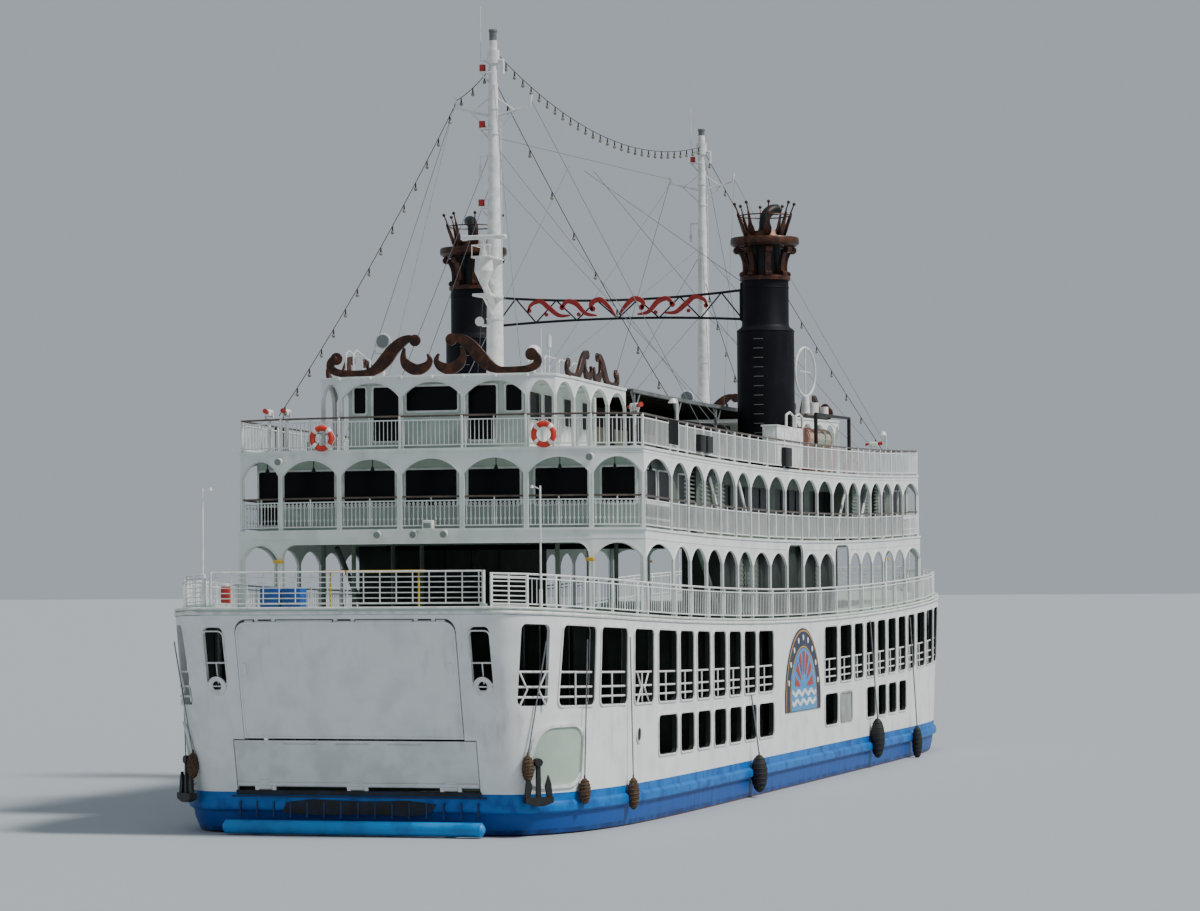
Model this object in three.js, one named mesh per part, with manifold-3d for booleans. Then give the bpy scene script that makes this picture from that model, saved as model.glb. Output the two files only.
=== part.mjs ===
// Double-ended car ferry with two arcaded passenger decks and crowned twin funnels, a 1:2 scale model.
// Sizes below are metres of the full-size ship; the finished meshes are millimetres of the model.
// +X is the bow, +Y port, +Z up, and the origin is on the centreline amidships at the waterline.
import * as THREE from 'three';
import Module from 'manifold-3d';

const wasm = await Module();
wasm.setup();

const MODEL_MM_PER_SHIP_METRE = 500;
const GAP = 0.0008;
const WELD_TOLERANCE = 2e-5;
const WELD_CELL = 1e-4;
const CLEAR = 0.024;

// Deck heights amidships, and how far each rises at 25 m from amidships.
const MAIN_DECK = 1.2;
const UPPER_DECK = 5.77;
const PROMENADE_DECK = 8.43;
const TOP_DECK = 10.88;
const SHEER_REACH = 25;
const SHEER = [[MAIN_DECK, 0], [UPPER_DECK, 0.58], [PROMENADE_DECK, 0.47], [TOP_DECK, 0.43]];
// The sheer curve is straight between these stations, the upper ones being columns of the arcades.
const STATIONS = [0, 4.7, 8.97, 12.81, 16.65, 20.6, 24.4, 28.4];
const DECK_THICKNESS = 0.2;

// Hull plan: straight sides that round into a flat raked face at each end.
const HALF_BEAM = 6.7;
const FACE_HALF_WIDTH = 4.3;
const PLAN_POWER = 8;
const FACE_X_AT_MAIN_DECK = 26.6;
const FACE_RAKE = 0.2626;
const WALL = 0.15;
const SHELL_SPLIT_X = 26.1;

// Superstructure plan: the line of columns round the two passenger decks.
const SIDE_Y = 6.52;
const WIDE_BAY = 2.35;
const NARROW_BAY = 1.92;
const FRONT_BAY = 1.99;
const FRONT_X = 20.39;
const CORNER_X = 19.66;

const WHITE = { color: 0xe4e6e6, roughness: 0.5, metalness: 0.1 };
const DECK_GREEN = { color: 0xb9cdbf, roughness: 0.7, metalness: 0.05 };
const BLUE = { color: 0x2a6fb8, roughness: 0.45, metalness: 0.1 };
const FUNNEL_NAVY = { color: 0x1c1e2c, roughness: 0.5, metalness: 0.3 };
const BRONZE = { color: 0x6b3a1e, roughness: 0.5, metalness: 0.5 };
const STEEL = { color: 0x54585c, roughness: 0.5, metalness: 0.6 };
const PROP_BRASS = { color: 0xa8803a, roughness: 0.35, metalness: 0.8 };

const ferry = new THREE.Group();

// Closed solids and booleans.

// Points nearer than the tolerance become one, found through a grid of cells and their neighbours.
function welded(geometry) {
  const source = geometry.index ? geometry.toNonIndexed() : geometry;
  const position = source.attributes.position;
  const cells = new Map();
  const points = [];
  const index = [];
  for (let i = 0; i < position.count; i += 1) {
    const point = [position.getX(i), position.getY(i), position.getZ(i)];
    let found = nearbyPoint(cells, points, point);
    if (found === undefined) {
      found = points.push(point) - 1;
      cells.set(cellKey(point), [...(cells.get(cellKey(point)) ?? []), found]);
    }
    index.push(found);
  }
  const closed = new THREE.BufferGeometry();
  closed.setAttribute('position', new THREE.Float32BufferAttribute(points.flat(), 3));
  closed.setIndex(withoutSlivers(index));
  return closed;
}

function withoutSlivers(index) {
  const kept = [];
  for (let i = 0; i < index.length; i += 3) {
    const [a, b, c] = index.slice(i, i + 3);
    if (a !== b && b !== c && c !== a) kept.push(a, b, c);
  }
  return kept;
}

function cellKey(point, offset = [0, 0, 0]) {
  return point.map((value, k) => Math.floor(value / WELD_CELL) + offset[k]).join();
}

function nearbyPoint(cells, points, point) {
  for (const dx of [-1, 0, 1]) {
    for (const dy of [-1, 0, 1]) {
      for (const dz of [-1, 0, 1]) {
        for (const candidate of cells.get(cellKey(point, [dx, dy, dz])) ?? []) {
          const isNear = points[candidate].every((value, k) => Math.abs(value - point[k]) < WELD_TOLERANCE);
          if (isNear) return candidate;
        }
      }
    }
  }
  return undefined;
}

function solid(geometry) {
  const closed = welded(geometry);
  return new wasm.Manifold(new wasm.Mesh({
    numProp: 3,
    vertProperties: Float32Array.from(closed.attributes.position.array),
    triVerts: Uint32Array.from(closed.index.array),
  }));
}

function geometryOf(manifold) {
  const mesh = manifold.getMesh();
  const geometry = new THREE.BufferGeometry();
  geometry.setAttribute('position', new THREE.BufferAttribute(new Float32Array(mesh.vertProperties), 3));
  geometry.setIndex(new THREE.BufferAttribute(new Uint32Array(mesh.triVerts), 1));
  return geometry;
}

function join(...geometries) {
  return geometryOf(geometries.map(solid).reduce((whole, next) => whole.add(next)));
}

function cut(geometry, ...tools) {
  return geometryOf(tools.map(solid).reduce((whole, tool) => whole.subtract(tool), solid(geometry)));
}

function common(geometry, other) {
  return geometryOf(solid(geometry).intersect(solid(other)));
}

// Basic shapes, each placed where it is used.

function box(x0, x1, y0, y1, z0, z1) {
  const geometry = new THREE.BoxGeometry(x1 - x0, y1 - y0, z1 - z0);
  return geometry.translate((x0 + x1) / 2, (y0 + y1) / 2, (z0 + z1) / 2);
}

function rod(from, to, radius, sides = 8, endRadius = radius) {
  const start = new THREE.Vector3(...from);
  const along = new THREE.Vector3(...to).sub(start);
  const geometry = new THREE.CylinderGeometry(endRadius, radius, along.length(), sides);
  geometry.translate(0, along.length() / 2, 0);
  const turn = new THREE.Quaternion().setFromUnitVectors(new THREE.Vector3(0, 1, 0), along.normalize());
  return geometry.applyQuaternion(turn).translate(start.x, start.y, start.z);
}

function turned(profile, sides) {
  const points = profile.map(([radius, z]) => new THREE.Vector2(radius, z));
  return new THREE.LatheGeometry(points, sides).rotateX(Math.PI / 2);
}

function polygon(points, holes = []) {
  const vectors = (outline) => withoutStraightPoints(outline).map(([x, y]) => new THREE.Vector2(x, y));
  const shape = new THREE.Shape(vectors(points));
  shape.holes = holes.map((hole) => new THREE.Path(vectors(hole)));
  return shape;
}

function withoutStraightPoints(points) {
  return points.filter(([x, y], k) => {
    const [x0, y0] = points[(k + points.length - 1) % points.length];
    const [x1, y1] = points[(k + 1) % points.length];
    return Math.abs((x - x0) * (y1 - y) - (y - y0) * (x1 - x)) > 1e-7;
  });
}

function plate(shape, depth) {
  return new THREE.ExtrudeGeometry(shape, { depth, bevelEnabled: false, steps: 1, curveSegments: 6 });
}

// A rectangle with cut corners, for windows and door openings.
function softRectangle(x0, x1, y0, y1, corner) {
  return [
    [x0 + corner, y0], [x1 - corner, y0], [x1, y0 + corner], [x1, y1 - corner],
    [x1 - corner, y1], [x0 + corner, y1], [x0, y1 - corner], [x0, y0 + corner],
  ];
}

// A plate drawn in Y and Z and pushed through along X, or drawn in X and Z and pushed along Y.
function prismAlongX(points, x0, x1) {
  const geometry = plate(polygon(points), x1 - x0);
  geometry.applyMatrix4(new THREE.Matrix4().makeBasis(
    new THREE.Vector3(0, 1, 0), new THREE.Vector3(0, 0, 1), new THREE.Vector3(1, 0, 0)));
  return geometry.translate(x0, 0, 0);
}

function prismAlongY(points, y0, y1) {
  const geometry = plate(polygon(points), y1 - y0);
  geometry.applyMatrix4(new THREE.Matrix4().makeBasis(
    new THREE.Vector3(1, 0, 0), new THREE.Vector3(0, 0, 1), new THREE.Vector3(0, -1, 0)));
  return geometry.translate(0, y1, 0);
}

// Sheer: every piece is drawn level, divided at stations along the ship, and lifted towards the ends.

function divideAt(geometry, axis, cuts) {
  let triangles = [];
  const flat = geometry.index ? geometry.toNonIndexed() : geometry;
  const source = flat.attributes.position;
  for (let i = 0; i < source.count; i += 3) {
    triangles.push([0, 1, 2].map((k) => [source.getX(i + k), source.getY(i + k), source.getZ(i + k)]));
  }
  for (const value of cuts) {
    triangles = triangles.flatMap((triangle) => divideTriangle(triangle, axis, value));
  }
  const divided = new THREE.BufferGeometry();
  divided.setAttribute('position', new THREE.Float32BufferAttribute(triangles.flat(2), 3));
  return divided;
}

function divideTriangle(triangle, axis, value) {
  const tolerance = 1e-5;
  const side = triangle.map((point) => {
    const distance = point[axis] - value;
    return Math.abs(distance) < tolerance ? 0 : Math.sign(distance);
  });
  if (Math.min(...side) >= 0 || Math.max(...side) <= 0) return [triangle];
  const halves = { 1: [], [-1]: [] };
  for (let k = 0; k < 3; k += 1) {
    const next = (k + 1) % 3;
    if (side[k] >= 0) halves[1].push(triangle[k]);
    if (side[k] <= 0) halves[-1].push(triangle[k]);
    if (side[k] * side[next] < 0) {
      const crossing = pointOnEdge(triangle[k], triangle[next], axis, value);
      halves[1].push(crossing);
      halves[-1].push(crossing);
    }
  }
  return [...fan(halves[1]), ...fan(halves[-1])];
}

function pointOnEdge(a, b, axis, value) {
  const [low, high] = a[axis] < b[axis] ? [a, b] : [b, a];
  const share = (value - low[axis]) / (high[axis] - low[axis]);
  const point = low.map((coordinate, k) => coordinate + share * (high[k] - coordinate));
  point[axis] = value;
  return point;
}

function fan(points) {
  return points.slice(2).map((point, k) => [points[0], points[k + 1], point]);
}

function stationsBetween(low, high) {
  const both = [...STATIONS.slice(1).map((x) => -x), ...STATIONS];
  return both.filter((x) => x > low && x < high);
}

function sheerShape(x) {
  const k = STATIONS.findLastIndex((station) => station <= Math.abs(x));
  const [here, next] = [STATIONS[k], STATIONS[k + 1]];
  const [low, high] = [here, next].map((station) => (station / SHEER_REACH) ** 2);
  return low + (high - low) * (Math.abs(x) - here) / (next - here);
}

function sheerAt(z) {
  if (z <= SHEER[0][0]) return 0;
  for (let k = 1; k < SHEER.length; k += 1) {
    const [[z0, s0], [z1, s1]] = [SHEER[k - 1], SHEER[k]];
    if (z <= z1) return s0 + (s1 - s0) * (z - z0) / (z1 - z0);
  }
  return SHEER[SHEER.length - 1][1];
}

function rise(x, z) {
  return sheerShape(x) * sheerAt(z);
}

function sheered(geometry) {
  geometry.computeBoundingBox();
  const { min, max } = geometry.boundingBox;
  return lifted(divideAt(geometry, 0, stationsBetween(min.x + 0.01, max.x - 0.01)));
}

// For panels whose own lines already fall on the stations.
function lifted(geometry) {
  const position = geometry.attributes.position;
  for (let i = 0; i < position.count; i += 1) {
    position.setZ(i, position.getZ(i) + rise(position.getX(i), position.getZ(i)));
  }
  return geometry;
}

// What is level or round is lifted whole, by the sheer at one place.
function liftedAt(geometry, x, z) {
  return geometry.translate(0, 0, rise(x, z));
}

// A round piece is lifted whole too, but its foot follows the slope of the deck it stands on.
function standing(geometry, x, foot) {
  const position = geometry.attributes.position;
  for (let i = 0; i < position.count; i += 1) {
    const z = position.getZ(i);
    position.setZ(i, z + (z < foot + 0.001 ? rise(position.getX(i), foot) : rise(x, foot)));
  }
  return geometry;
}

function signedVolume(geometry) {
  const [a, b, c] = [new THREE.Vector3(), new THREE.Vector3(), new THREE.Vector3()];
  const position = geometry.attributes.position;
  let volume = 0;
  for (let i = 0; i < position.count; i += 3) {
    a.fromBufferAttribute(position, i);
    b.fromBufferAttribute(position, i + 1);
    c.fromBufferAttribute(position, i + 2);
    volume += a.dot(b.cross(c)) / 6;
  }
  return volume;
}

function flipped(geometry) {
  const position = geometry.attributes.position;
  for (let i = 0; i < position.count; i += 3) {
    const [x, y, z] = [position.getX(i), position.getY(i), position.getZ(i)];
    position.setXYZ(i, position.getX(i + 1), position.getY(i + 1), position.getZ(i + 1));
    position.setXYZ(i + 1, x, y, z);
  }
  return geometry;
}

function addPiece(name, geometry, finish) {
  const flat = geometry.index ? geometry.toNonIndexed() : geometry;
  const outward = signedVolume(flat) < 0 ? flipped(flat) : flat;
  const shape = welded(outward);
  shape.scale(MODEL_MM_PER_SHIP_METRE, MODEL_MM_PER_SHIP_METRE, MODEL_MM_PER_SHIP_METRE);
  const mesh = new THREE.Mesh(shape, new THREE.MeshStandardMaterial(finish));
  mesh.name = name;
  ferry.add(mesh);
}

function mirroredY(geometry) {
  return geometry.clone().scale(1, -1, 1);
}

function mirroredX(geometry) {
  return geometry.clone().scale(-1, 1, 1);
}

// A ship that is the same at both ends gets each end piece twice.
const ENDS = [['bow', (geometry) => geometry], ['stern', mirroredX]];
const SIDES = [['port', (geometry) => geometry], ['starboard', mirroredY]];

function addBothEnds(name, geometry, finish) {
  for (const [end, place] of ENDS) addPiece(name.replace('END', end), place(geometry), finish);
}

function addBothSides(name, geometry, finish) {
  for (const [side, place] of SIDES) addPiece(name.replace('SIDE', side), place(geometry), finish);
}

// A panel is drawn as flat cells in s and z; it gets a wall wherever a cell edge has no neighbour,
// and place(s, z, face) puts each corner of its two faces.
function cellPanel(cells, place) {
  const points = [];
  const corner = ([s, z], face) => points.push(...place(s, z, face));
  const name = ([s, z]) => `${Math.round(s * 1e4)},${Math.round(z * 1e4)}`;
  const edges = new Map();
  for (const cell of cells) {
    cell.forEach((point, k) => {
      const next = cell[(k + 1) % cell.length];
      edges.set(`${name(point)}>${name(next)}`, [point, next]);
    });
    const outline = cell.map(([s, z]) => new THREE.Vector2(s, z));
    for (const face of THREE.ShapeUtils.triangulateShape(outline, [])) {
      const [a, b, c] = face.map((k) => cell[k]);
      [a, b, c].forEach((point) => corner(point, 1));
      [a, c, b].forEach((point) => corner(point, 0));
    }
  }
  for (const [a, b] of edges.values()) {
    if (edges.has(`${name(b)}>${name(a)}`)) continue;
    [[a, 1], [a, 0], [b, 0], [a, 1], [b, 0], [b, 1]].forEach(([point, face]) => corner(point, face));
  }
  const geometry = new THREE.BufferGeometry();
  geometry.setAttribute('position', new THREE.Float32BufferAttribute(points, 3));
  return asOutward(geometry);
}

function gridCells(sLines, zLines, isOpen) {
  const cells = [];
  for (let i = 0; i + 1 < sLines.length; i += 1) {
    for (let j = 0; j + 1 < zLines.length; j += 1) {
      const [s0, s1, z0, z1] = [sLines[i], sLines[i + 1], zLines[j], zLines[j + 1]];
      if (!isOpen((s0 + s1) / 2, (z0 + z1) / 2)) cells.push([[s0, z0], [s1, z0], [s1, z1], [s0, z1]]);
    }
  }
  return cells;
}

function ascending(values) {
  return [...new Set(values)].sort((a, b) => a - b);
}

function asOutward(geometry) {
  const flat = geometry.index ? geometry.toNonIndexed() : geometry;
  return signedVolume(flat) < 0 ? flipped(flat) : flat;
}

// Hull plan at one height, as a loop of points with the same count at every height.

const PLAN_SHARES = [0, 0.5, 0.72, 0.84, 0.91, 0.955, 0.985, 1];

function planLoop({ length, beam, face, power }) {
  const quarter = PLAN_SHARES.map((share) => [
    length * share, face + (beam - face) * Math.sqrt(Math.max(0, 1 - share ** power))]);
  const port = [...quarter.slice(1).reverse().map(([x, y]) => [-x, y]), ...quarter];
  return [...port, ...port.map(([x, y]) => [x, -y]).reverse()];
}

function stackedLoops(levels) {
  const loops = levels.map((level) => planLoop(level).map(([x, y]) => new THREE.Vector3(x, y, level.z)));
  const count = loops[0].length;
  const points = [];
  const triangle = (...corners) => corners.forEach((corner) => points.push(corner.x, corner.y, corner.z));
  for (let level = 0; level + 1 < loops.length; level += 1) {
    for (let k = 0; k < count; k += 1) {
      const next = (k + 1) % count;
      triangle(loops[level][k], loops[level + 1][k], loops[level + 1][next]);
      triangle(loops[level][k], loops[level + 1][next], loops[level][next]);
    }
  }
  for (const [loop, turn] of [[loops[0], false], [loops[loops.length - 1], true]]) {
    for (let k = 0; k < count / 2 - 1; k += 1) {
      const across = count - 1 - k;
      const quad = [loop[k], loop[k + 1], loop[across - 1], loop[across]];
      const [a, b, c, d] = turn ? [quad[0], quad[3], quad[2], quad[1]] : quad;
      triangle(a, b, c);
      triangle(a, c, d);
    }
  }
  const geometry = new THREE.BufferGeometry();
  geometry.setAttribute('position', new THREE.Float32BufferAttribute(points, 3));
  return signedVolume(geometry) < 0 ? flipped(geometry) : geometry;
}

function faceX(z) {
  return FACE_X_AT_MAIN_DECK + FACE_RAKE * (z - MAIN_DECK);
}

// The white side plating, as a level section inset by a distance from its outer face.
function shellLevel(z, inset) {
  return {
    z, length: faceX(z) - inset, beam: HALF_BEAM - inset, face: FACE_HALF_WIDTH - inset, power: PLAN_POWER,
  };
}

// Lower hull: full sections above the water, cut up towards the propellers below it.

const HULL_LEVELS = [
  { z: -2.6, length: 13.4, beam: 5.2, face: 0.2, power: 3 },
  { z: -2.3, length: 15.4, beam: 5.9, face: 0.3, power: 3 },
  { z: -1.6, length: 18.8, beam: 6.3, face: 0.5, power: 3.5 },
  { z: -0.8, length: 22.4, beam: 6.5, face: 1.6, power: 4 },
  { z: -0.35, length: 25.2, beam: 6.6, face: 3.0, power: 5 },
  { z: 0.05, length: 26.3, beam: 6.65, face: 4.0, power: PLAN_POWER },
  { z: 0.62, length: 26.45, beam: 6.7, face: 4.25, power: PLAN_POWER },
  { z: 0.7, length: 26.6, beam: 6.84, face: 4.3, power: PLAN_POWER },
  { z: 0.9, length: 26.6, beam: 6.84, face: 4.3, power: PLAN_POWER },
  { z: 0.98, length: 26.6, beam: 6.7, face: 4.3, power: PLAN_POWER },
  { z: MAIN_DECK, length: 26.6, beam: 6.7, face: 4.3, power: PLAN_POWER },
];
const KEEL_Z = -2.6;
const SHAFT_Z = -1.72;
const SKEG = { from: 11, to: 22.3, halfWidth: 0.2, top: -0.5 };
const SHAFT_BOSS_RADIUS = 0.26;
const RUDDER_X = 24.55;
const RUDDER_TOP = -0.72;
const RUDDER_BOSS_Z = -0.6;

function lowerHull() {
  const skegs = ENDS.map(([, place]) => place(join(
    box(SKEG.from, SKEG.to, -SKEG.halfWidth, SKEG.halfWidth, KEEL_Z + 0.02, SKEG.top),
    rod([SKEG.from + 4, 0, SHAFT_Z], [SKEG.to, 0, SHAFT_Z], SHAFT_BOSS_RADIUS, 10),
    rod([RUDDER_X, 0, RUDDER_BOSS_Z], [RUDDER_X, 0, 0], 0.2, 10))));
  return join(stackedLoops(HULL_LEVELS), ...skegs.map(asOutward));
}

// Propellers turn on the shaft ends, and a spade rudder hangs outboard of each.

const PROPELLER = { radius: 0.8, hub: 0.17, blades: 4, bladeChord: 0.42, bladeThickness: 0.05, pitch: 0.5 };

function propeller() {
  const start = SKEG.to + GAP;
  const hubLength = 0.5;
  const hub = rod([start, 0, SHAFT_Z], [start + hubLength, 0, SHAFT_Z], PROPELLER.hub, 12);
  const cone = rod([start + hubLength - 0.01, 0, SHAFT_Z], [start + hubLength + 0.25, 0, SHAFT_Z],
    PROPELLER.hub * 0.98, 12, 0.04);
  const blades = Array.from({ length: PROPELLER.blades }, (_, k) => {
    const blade = bladeShape().rotateZ(PROPELLER.pitch).rotateY(Math.PI / 2);
    blade.rotateX(2 * Math.PI * k / PROPELLER.blades);
    return blade.translate(start + hubLength / 2, 0, SHAFT_Z);
  });
  return join(hub, cone, ...blades);
}

function bladeShape() {
  const { radius, bladeChord, bladeThickness } = PROPELLER;
  const outline = [[0.06, -0.1], [0.35, -0.24], [0.6, -0.27], [0.78, -0.15], [0.8, 0], [0.72, 0.17],
    [0.5, 0.24], [0.3, 0.19], [0.06, 0.1]].map(([r, c]) => [r * radius / 0.8, c * bladeChord / 0.5]);
  return plate(polygon(outline), bladeThickness).translate(0, 0, -bladeThickness / 2)
    .applyMatrix4(new THREE.Matrix4().makeBasis(
      new THREE.Vector3(1, 0, 0), new THREE.Vector3(0, 1, 0), new THREE.Vector3(0, 0, 1)));
}

const RUDDER = { forward: 0.45, aft: 1.15, halfThickness: 0.13, bottom: -2.5 };

function rudder() {
  const { forward, aft, halfThickness, bottom } = RUDDER;
  const foil = [[-forward, 0], [-forward * 0.7, halfThickness * 0.8], [0, halfThickness],
    [aft * 0.5, halfThickness * 0.6], [aft, 0.015], [aft, -0.015], [aft * 0.5, -halfThickness * 0.6],
    [0, -halfThickness], [-forward * 0.7, -halfThickness * 0.8]];
  const blade = plate(polygon(foil), RUDDER_TOP - bottom).translate(RUDDER_X, 0, bottom);
  const stock = rod([RUDDER_X, 0, RUDDER_TOP - 0.05], [RUDDER_X, 0, RUDDER_BOSS_Z - GAP], 0.1, 10);
  return join(blade, stock);
}

// White plating between the main and upper decks, with its tall and low windows.

const UPPER_ROW = { sill: 3.37, head: 5.36 };
const LOWER_ROW = { sill: 1.88, head: 2.98 };
const WINDOW_CORNER = 0.16;
// Each column of windows: x, width, whether a low window lies under the tall one.
const WINDOW_COLUMNS = [
  [24.9, 1.8, false], [22.65, 1.95, false], [20.2, 1.75, false], [17.9, 1.9, true], [15.85, 1.5, true],
  [13.95, 1.5, true], [12.05, 1.45, true], [10.15, 1.5, true], [8.25, 1.5, true], [6.15, 2, true],
  [-3.2, 1.95, true], [-5.55, 1.85, false], [-7.65, 1.45, false], [-9.6, 1.45, true], [-11.5, 1.4, true],
  [-13.35, 1.4, true], [-15.2, 1.35, true], [-17, 1.3, false], [-19, 1.7, false], [-21.1, 1.75, false],
  [-23.1, 1.6, false], [-24.95, 1.5, false],
];
const WINDOW_SNAP = 0.2;
const CORNER_WINDOW = { x: 26.72, y: 5.33, width: 1.0, turn: 0.86 };
const WALL_BOTTOM = MAIN_DECK + GAP;
const WALL_TOP = UPPER_DECK - DECK_THICKNESS - GAP;

const DOOR = { halfWidth: 3.3, sill: 2.56, head: 5.38, corner: 0.42, thickness: 0.08 };
const RAMP = { halfWidth: 3.65, sill: 1.25, head: 2.5, thickness: 0.1 };
const SLOT = { y: 4.0, halfWidth: 0.3, sill: 3.75, head: 5.28 };

function plating() {
  const outer = stackedLoops([shellLevel(WALL_BOTTOM, 0), shellLevel(WALL_TOP, 0)]);
  const inner = stackedLoops([shellLevel(WALL_BOTTOM - 0.1, WALL), shellLevel(WALL_TOP + 0.1, WALL)]);
  return cut(outer, inner);
}

// One side of the plating, drawn in cells that have lines at the window edges and the stations.
function hullSide() {
  const edge = SHELL_SPLIT_X - GAP / 2;
  const stations = stationsBetween(-edge, edge);
  const snapped = (x) => stations.find((station) => Math.abs(station - x) < WINDOW_SNAP) ?? x;
  const windows = WINDOW_COLUMNS.map(([x, width, low]) => (
    { from: snapped(x - width / 2), to: snapped(x + width / 2), low }));
  const lines = [-edge, ...stations, ...windows.flatMap(({ from, to }) => [from, to]), edge];
  const heights = [WALL_BOTTOM, LOWER_ROW.sill, LOWER_ROW.head, UPPER_ROW.sill, UPPER_ROW.head, WALL_TOP];
  const inRow = (z, row) => z > row.sill && z < row.head;
  const isOpen = (s, z) => windows.some(({ from, to, low }) => s > from && s < to
    && (inRow(z, UPPER_ROW) || (low && inRow(z, LOWER_ROW))));
  return cellPanel(gridCells(ascending(lines), heights, isOpen), (x, z, face) => {
    const { length, beam, face: flat } = shellLevel(z, face ? 0 : WALL);
    return [x, flat + (beam - flat) * Math.sqrt(Math.max(0, 1 - (Math.abs(x) / length) ** PLAN_POWER)), z];
  });
}

function cornerWindowTool() {
  const { x, y, width, turn } = CORNER_WINDOW;
  const outline = softRectangle(-width / 2, width / 2, UPPER_ROW.sill, UPPER_ROW.head, WINDOW_CORNER);
  return prismAlongY(outline, -0.7, 0.7).rotateZ(-turn).translate(x, y, 0);
}

function endWall() {
  const end = common(plating(), box(SHELL_SPLIT_X + GAP / 2, 30, -8, 8, 0, 8));
  const doorway = prismAlongX(softRectangle(-DOOR.halfWidth - CLEAR, DOOR.halfWidth + CLEAR,
    RAMP.sill, DOOR.head + KNUCKLE_RADIUS + CLEAR, DOOR.corner), 24, 30);
  const rampway = box(24, 30, -RAMP.halfWidth - CLEAR, RAMP.halfWidth + CLEAR,
    RAMP.sill, RAMP.head + CLEAR);
  const slots = SIDES.map(([, place]) => asOutward(place(prismAlongX(softRectangle(
    SLOT.y - SLOT.halfWidth, SLOT.y + SLOT.halfWidth, SLOT.sill, SLOT.head, 0.2), 24, 30))));
  const corners = SIDES.map(([, place]) => asOutward(place(cornerWindowTool())));
  const wall = cut(end, doorway, rampway, ...slots, ...corners);
  return sheered(join(wall, ...doorEars(), ...rampEars()));
}

// Bow and stern doors hang from knuckles at their head and swing inward and up.

const KNUCKLE_RADIUS = 0.055;
const KNUCKLE_LENGTH = 0.4;
const EAR_WIDTH = 0.12;
const DOOR_KNUCKLES_Y = [-2.4, 0, 2.4];
const RAMP_KNUCKLES_Y = [-2.8, 0, 2.8];
const LEAF_MARGIN = 0.085;

// The raked face carries the doors, so they are drawn upright and leaned back with it.
function leaned(geometry) {
  const lean = new THREE.Matrix4().makeShear(0, 0, 0, 0, FACE_RAKE, 0);
  return geometry.applyMatrix4(lean).translate(FACE_X_AT_MAIN_DECK - FACE_RAKE * MAIN_DECK, 0, 0);
}

function knuckle(axisX, axisZ, y) {
  const [y0, y1] = [y - KNUCKLE_LENGTH / 2, y + KNUCKLE_LENGTH / 2];
  return rod([axisX, y0, axisZ], [axisX, y1, axisZ], KNUCKLE_RADIUS, 12);
}

const DOOR_AXIS = { x: -DOOR.thickness, z: DOOR.head };
const RAMP_AXIS = { x: 0, z: RAMP.sill + 0.07 };

function bowDoor() {
  const top = DOOR_AXIS.z - LEAF_MARGIN;
  const bottom = RAMP.head + CLEAR * 2;
  const outline = [
    [-DOOR.halfWidth, bottom], [DOOR.halfWidth, bottom], [DOOR.halfWidth, top - DOOR.corner],
    [DOOR.halfWidth - DOOR.corner, top], [-DOOR.halfWidth + DOOR.corner, top],
    [-DOOR.halfWidth, top - DOOR.corner],
  ];
  const panel = prismAlongX(outline, -DOOR.thickness, 0);
  const parts = [panel];
  for (const y of DOOR_KNUCKLES_Y) {
    parts.push(knuckle(DOOR_AXIS.x, DOOR_AXIS.z, y));
    parts.push(box(-DOOR.thickness, -0.02, y - KNUCKLE_LENGTH / 2, y + KNUCKLE_LENGTH / 2,
      top - 0.2, DOOR_AXIS.z));
  }
  return leaned(join(...parts));
}

function ears(axis, knuckles, z0, z1) {
  const pieces = [];
  for (const y of knuckles) {
    for (const edge of [-1, 1]) {
      const inner = y + edge * (KNUCKLE_LENGTH / 2 + GAP * 2);
      const [y0, y1] = [inner, inner + edge * EAR_WIDTH].sort((a, b) => a - b);
      pieces.push(leaned(box(axis.x - 0.05, axis.x + 0.03, y0, y1, z0, z1)));
    }
  }
  return pieces;
}

function doorEars() {
  return ears(DOOR_AXIS, DOOR_KNUCKLES_Y, DOOR_AXIS.z - 0.05, DOOR.head + 0.13);
}

function rampEars() {
  return ears(RAMP_AXIS, RAMP_KNUCKLES_Y, RAMP.sill - 0.03, RAMP_AXIS.z + 0.05);
}

// The ramp is the low flap under the door; it lies on knuckles at its foot and swings out and down.
function bowRamp() {
  const bottom = RAMP_AXIS.z + LEAF_MARGIN;
  const panel = box(-RAMP.thickness, 0, -RAMP.halfWidth, RAMP.halfWidth, bottom, RAMP.head);
  const parts = [panel];
  for (const y of RAMP_KNUCKLES_Y) {
    parts.push(knuckle(RAMP_AXIS.x, RAMP_AXIS.z, y));
    parts.push(box(-0.05, 0, y - KNUCKLE_LENGTH / 2, y + KNUCKLE_LENGTH / 2, RAMP_AXIS.z, bottom + 0.1));
  }
  return leaned(join(...parts));
}

// A round rubbing tube across each end, on brackets from the hull.

const FENDER = { x: 27.05, z: 0.24, radius: 0.2, halfLength: 3.95 };

function endFender() {
  const tube = rod([FENDER.x, -FENDER.halfLength, FENDER.z], [FENDER.x, FENDER.halfLength, FENDER.z],
    FENDER.radius, 14);
  const [low, high] = [FENDER.z - 0.13, FENDER.z + 0.13];
  const outline = [[hullFaceX(low) + GAP, low], [FENDER.x, low], [FENDER.x, high],
    [hullFaceX(high) + GAP, high]];
  const brackets = [-3, -1, 1, 3].map((y) => prismAlongY(outline, y - 0.08, y + 0.08));
  return join(tube, ...brackets);
}

function hullFaceX(z) {
  const k = HULL_LEVELS.findLastIndex((level) => level.z <= z);
  const [low, high] = [HULL_LEVELS[k], HULL_LEVELS[k + 1]];
  return low.length + (high.length - low.length) * (z - low.z) / (high.z - low.z);
}

// A stockless anchor hangs at each corner, its shank drawn up into the plating.

const ANCHOR = { x: 26.45, y: 5.32, top: 2.1, crown: 1.12, turn: 0.72, fluke: 0.62, halfWidth: 0.42 };

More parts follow.
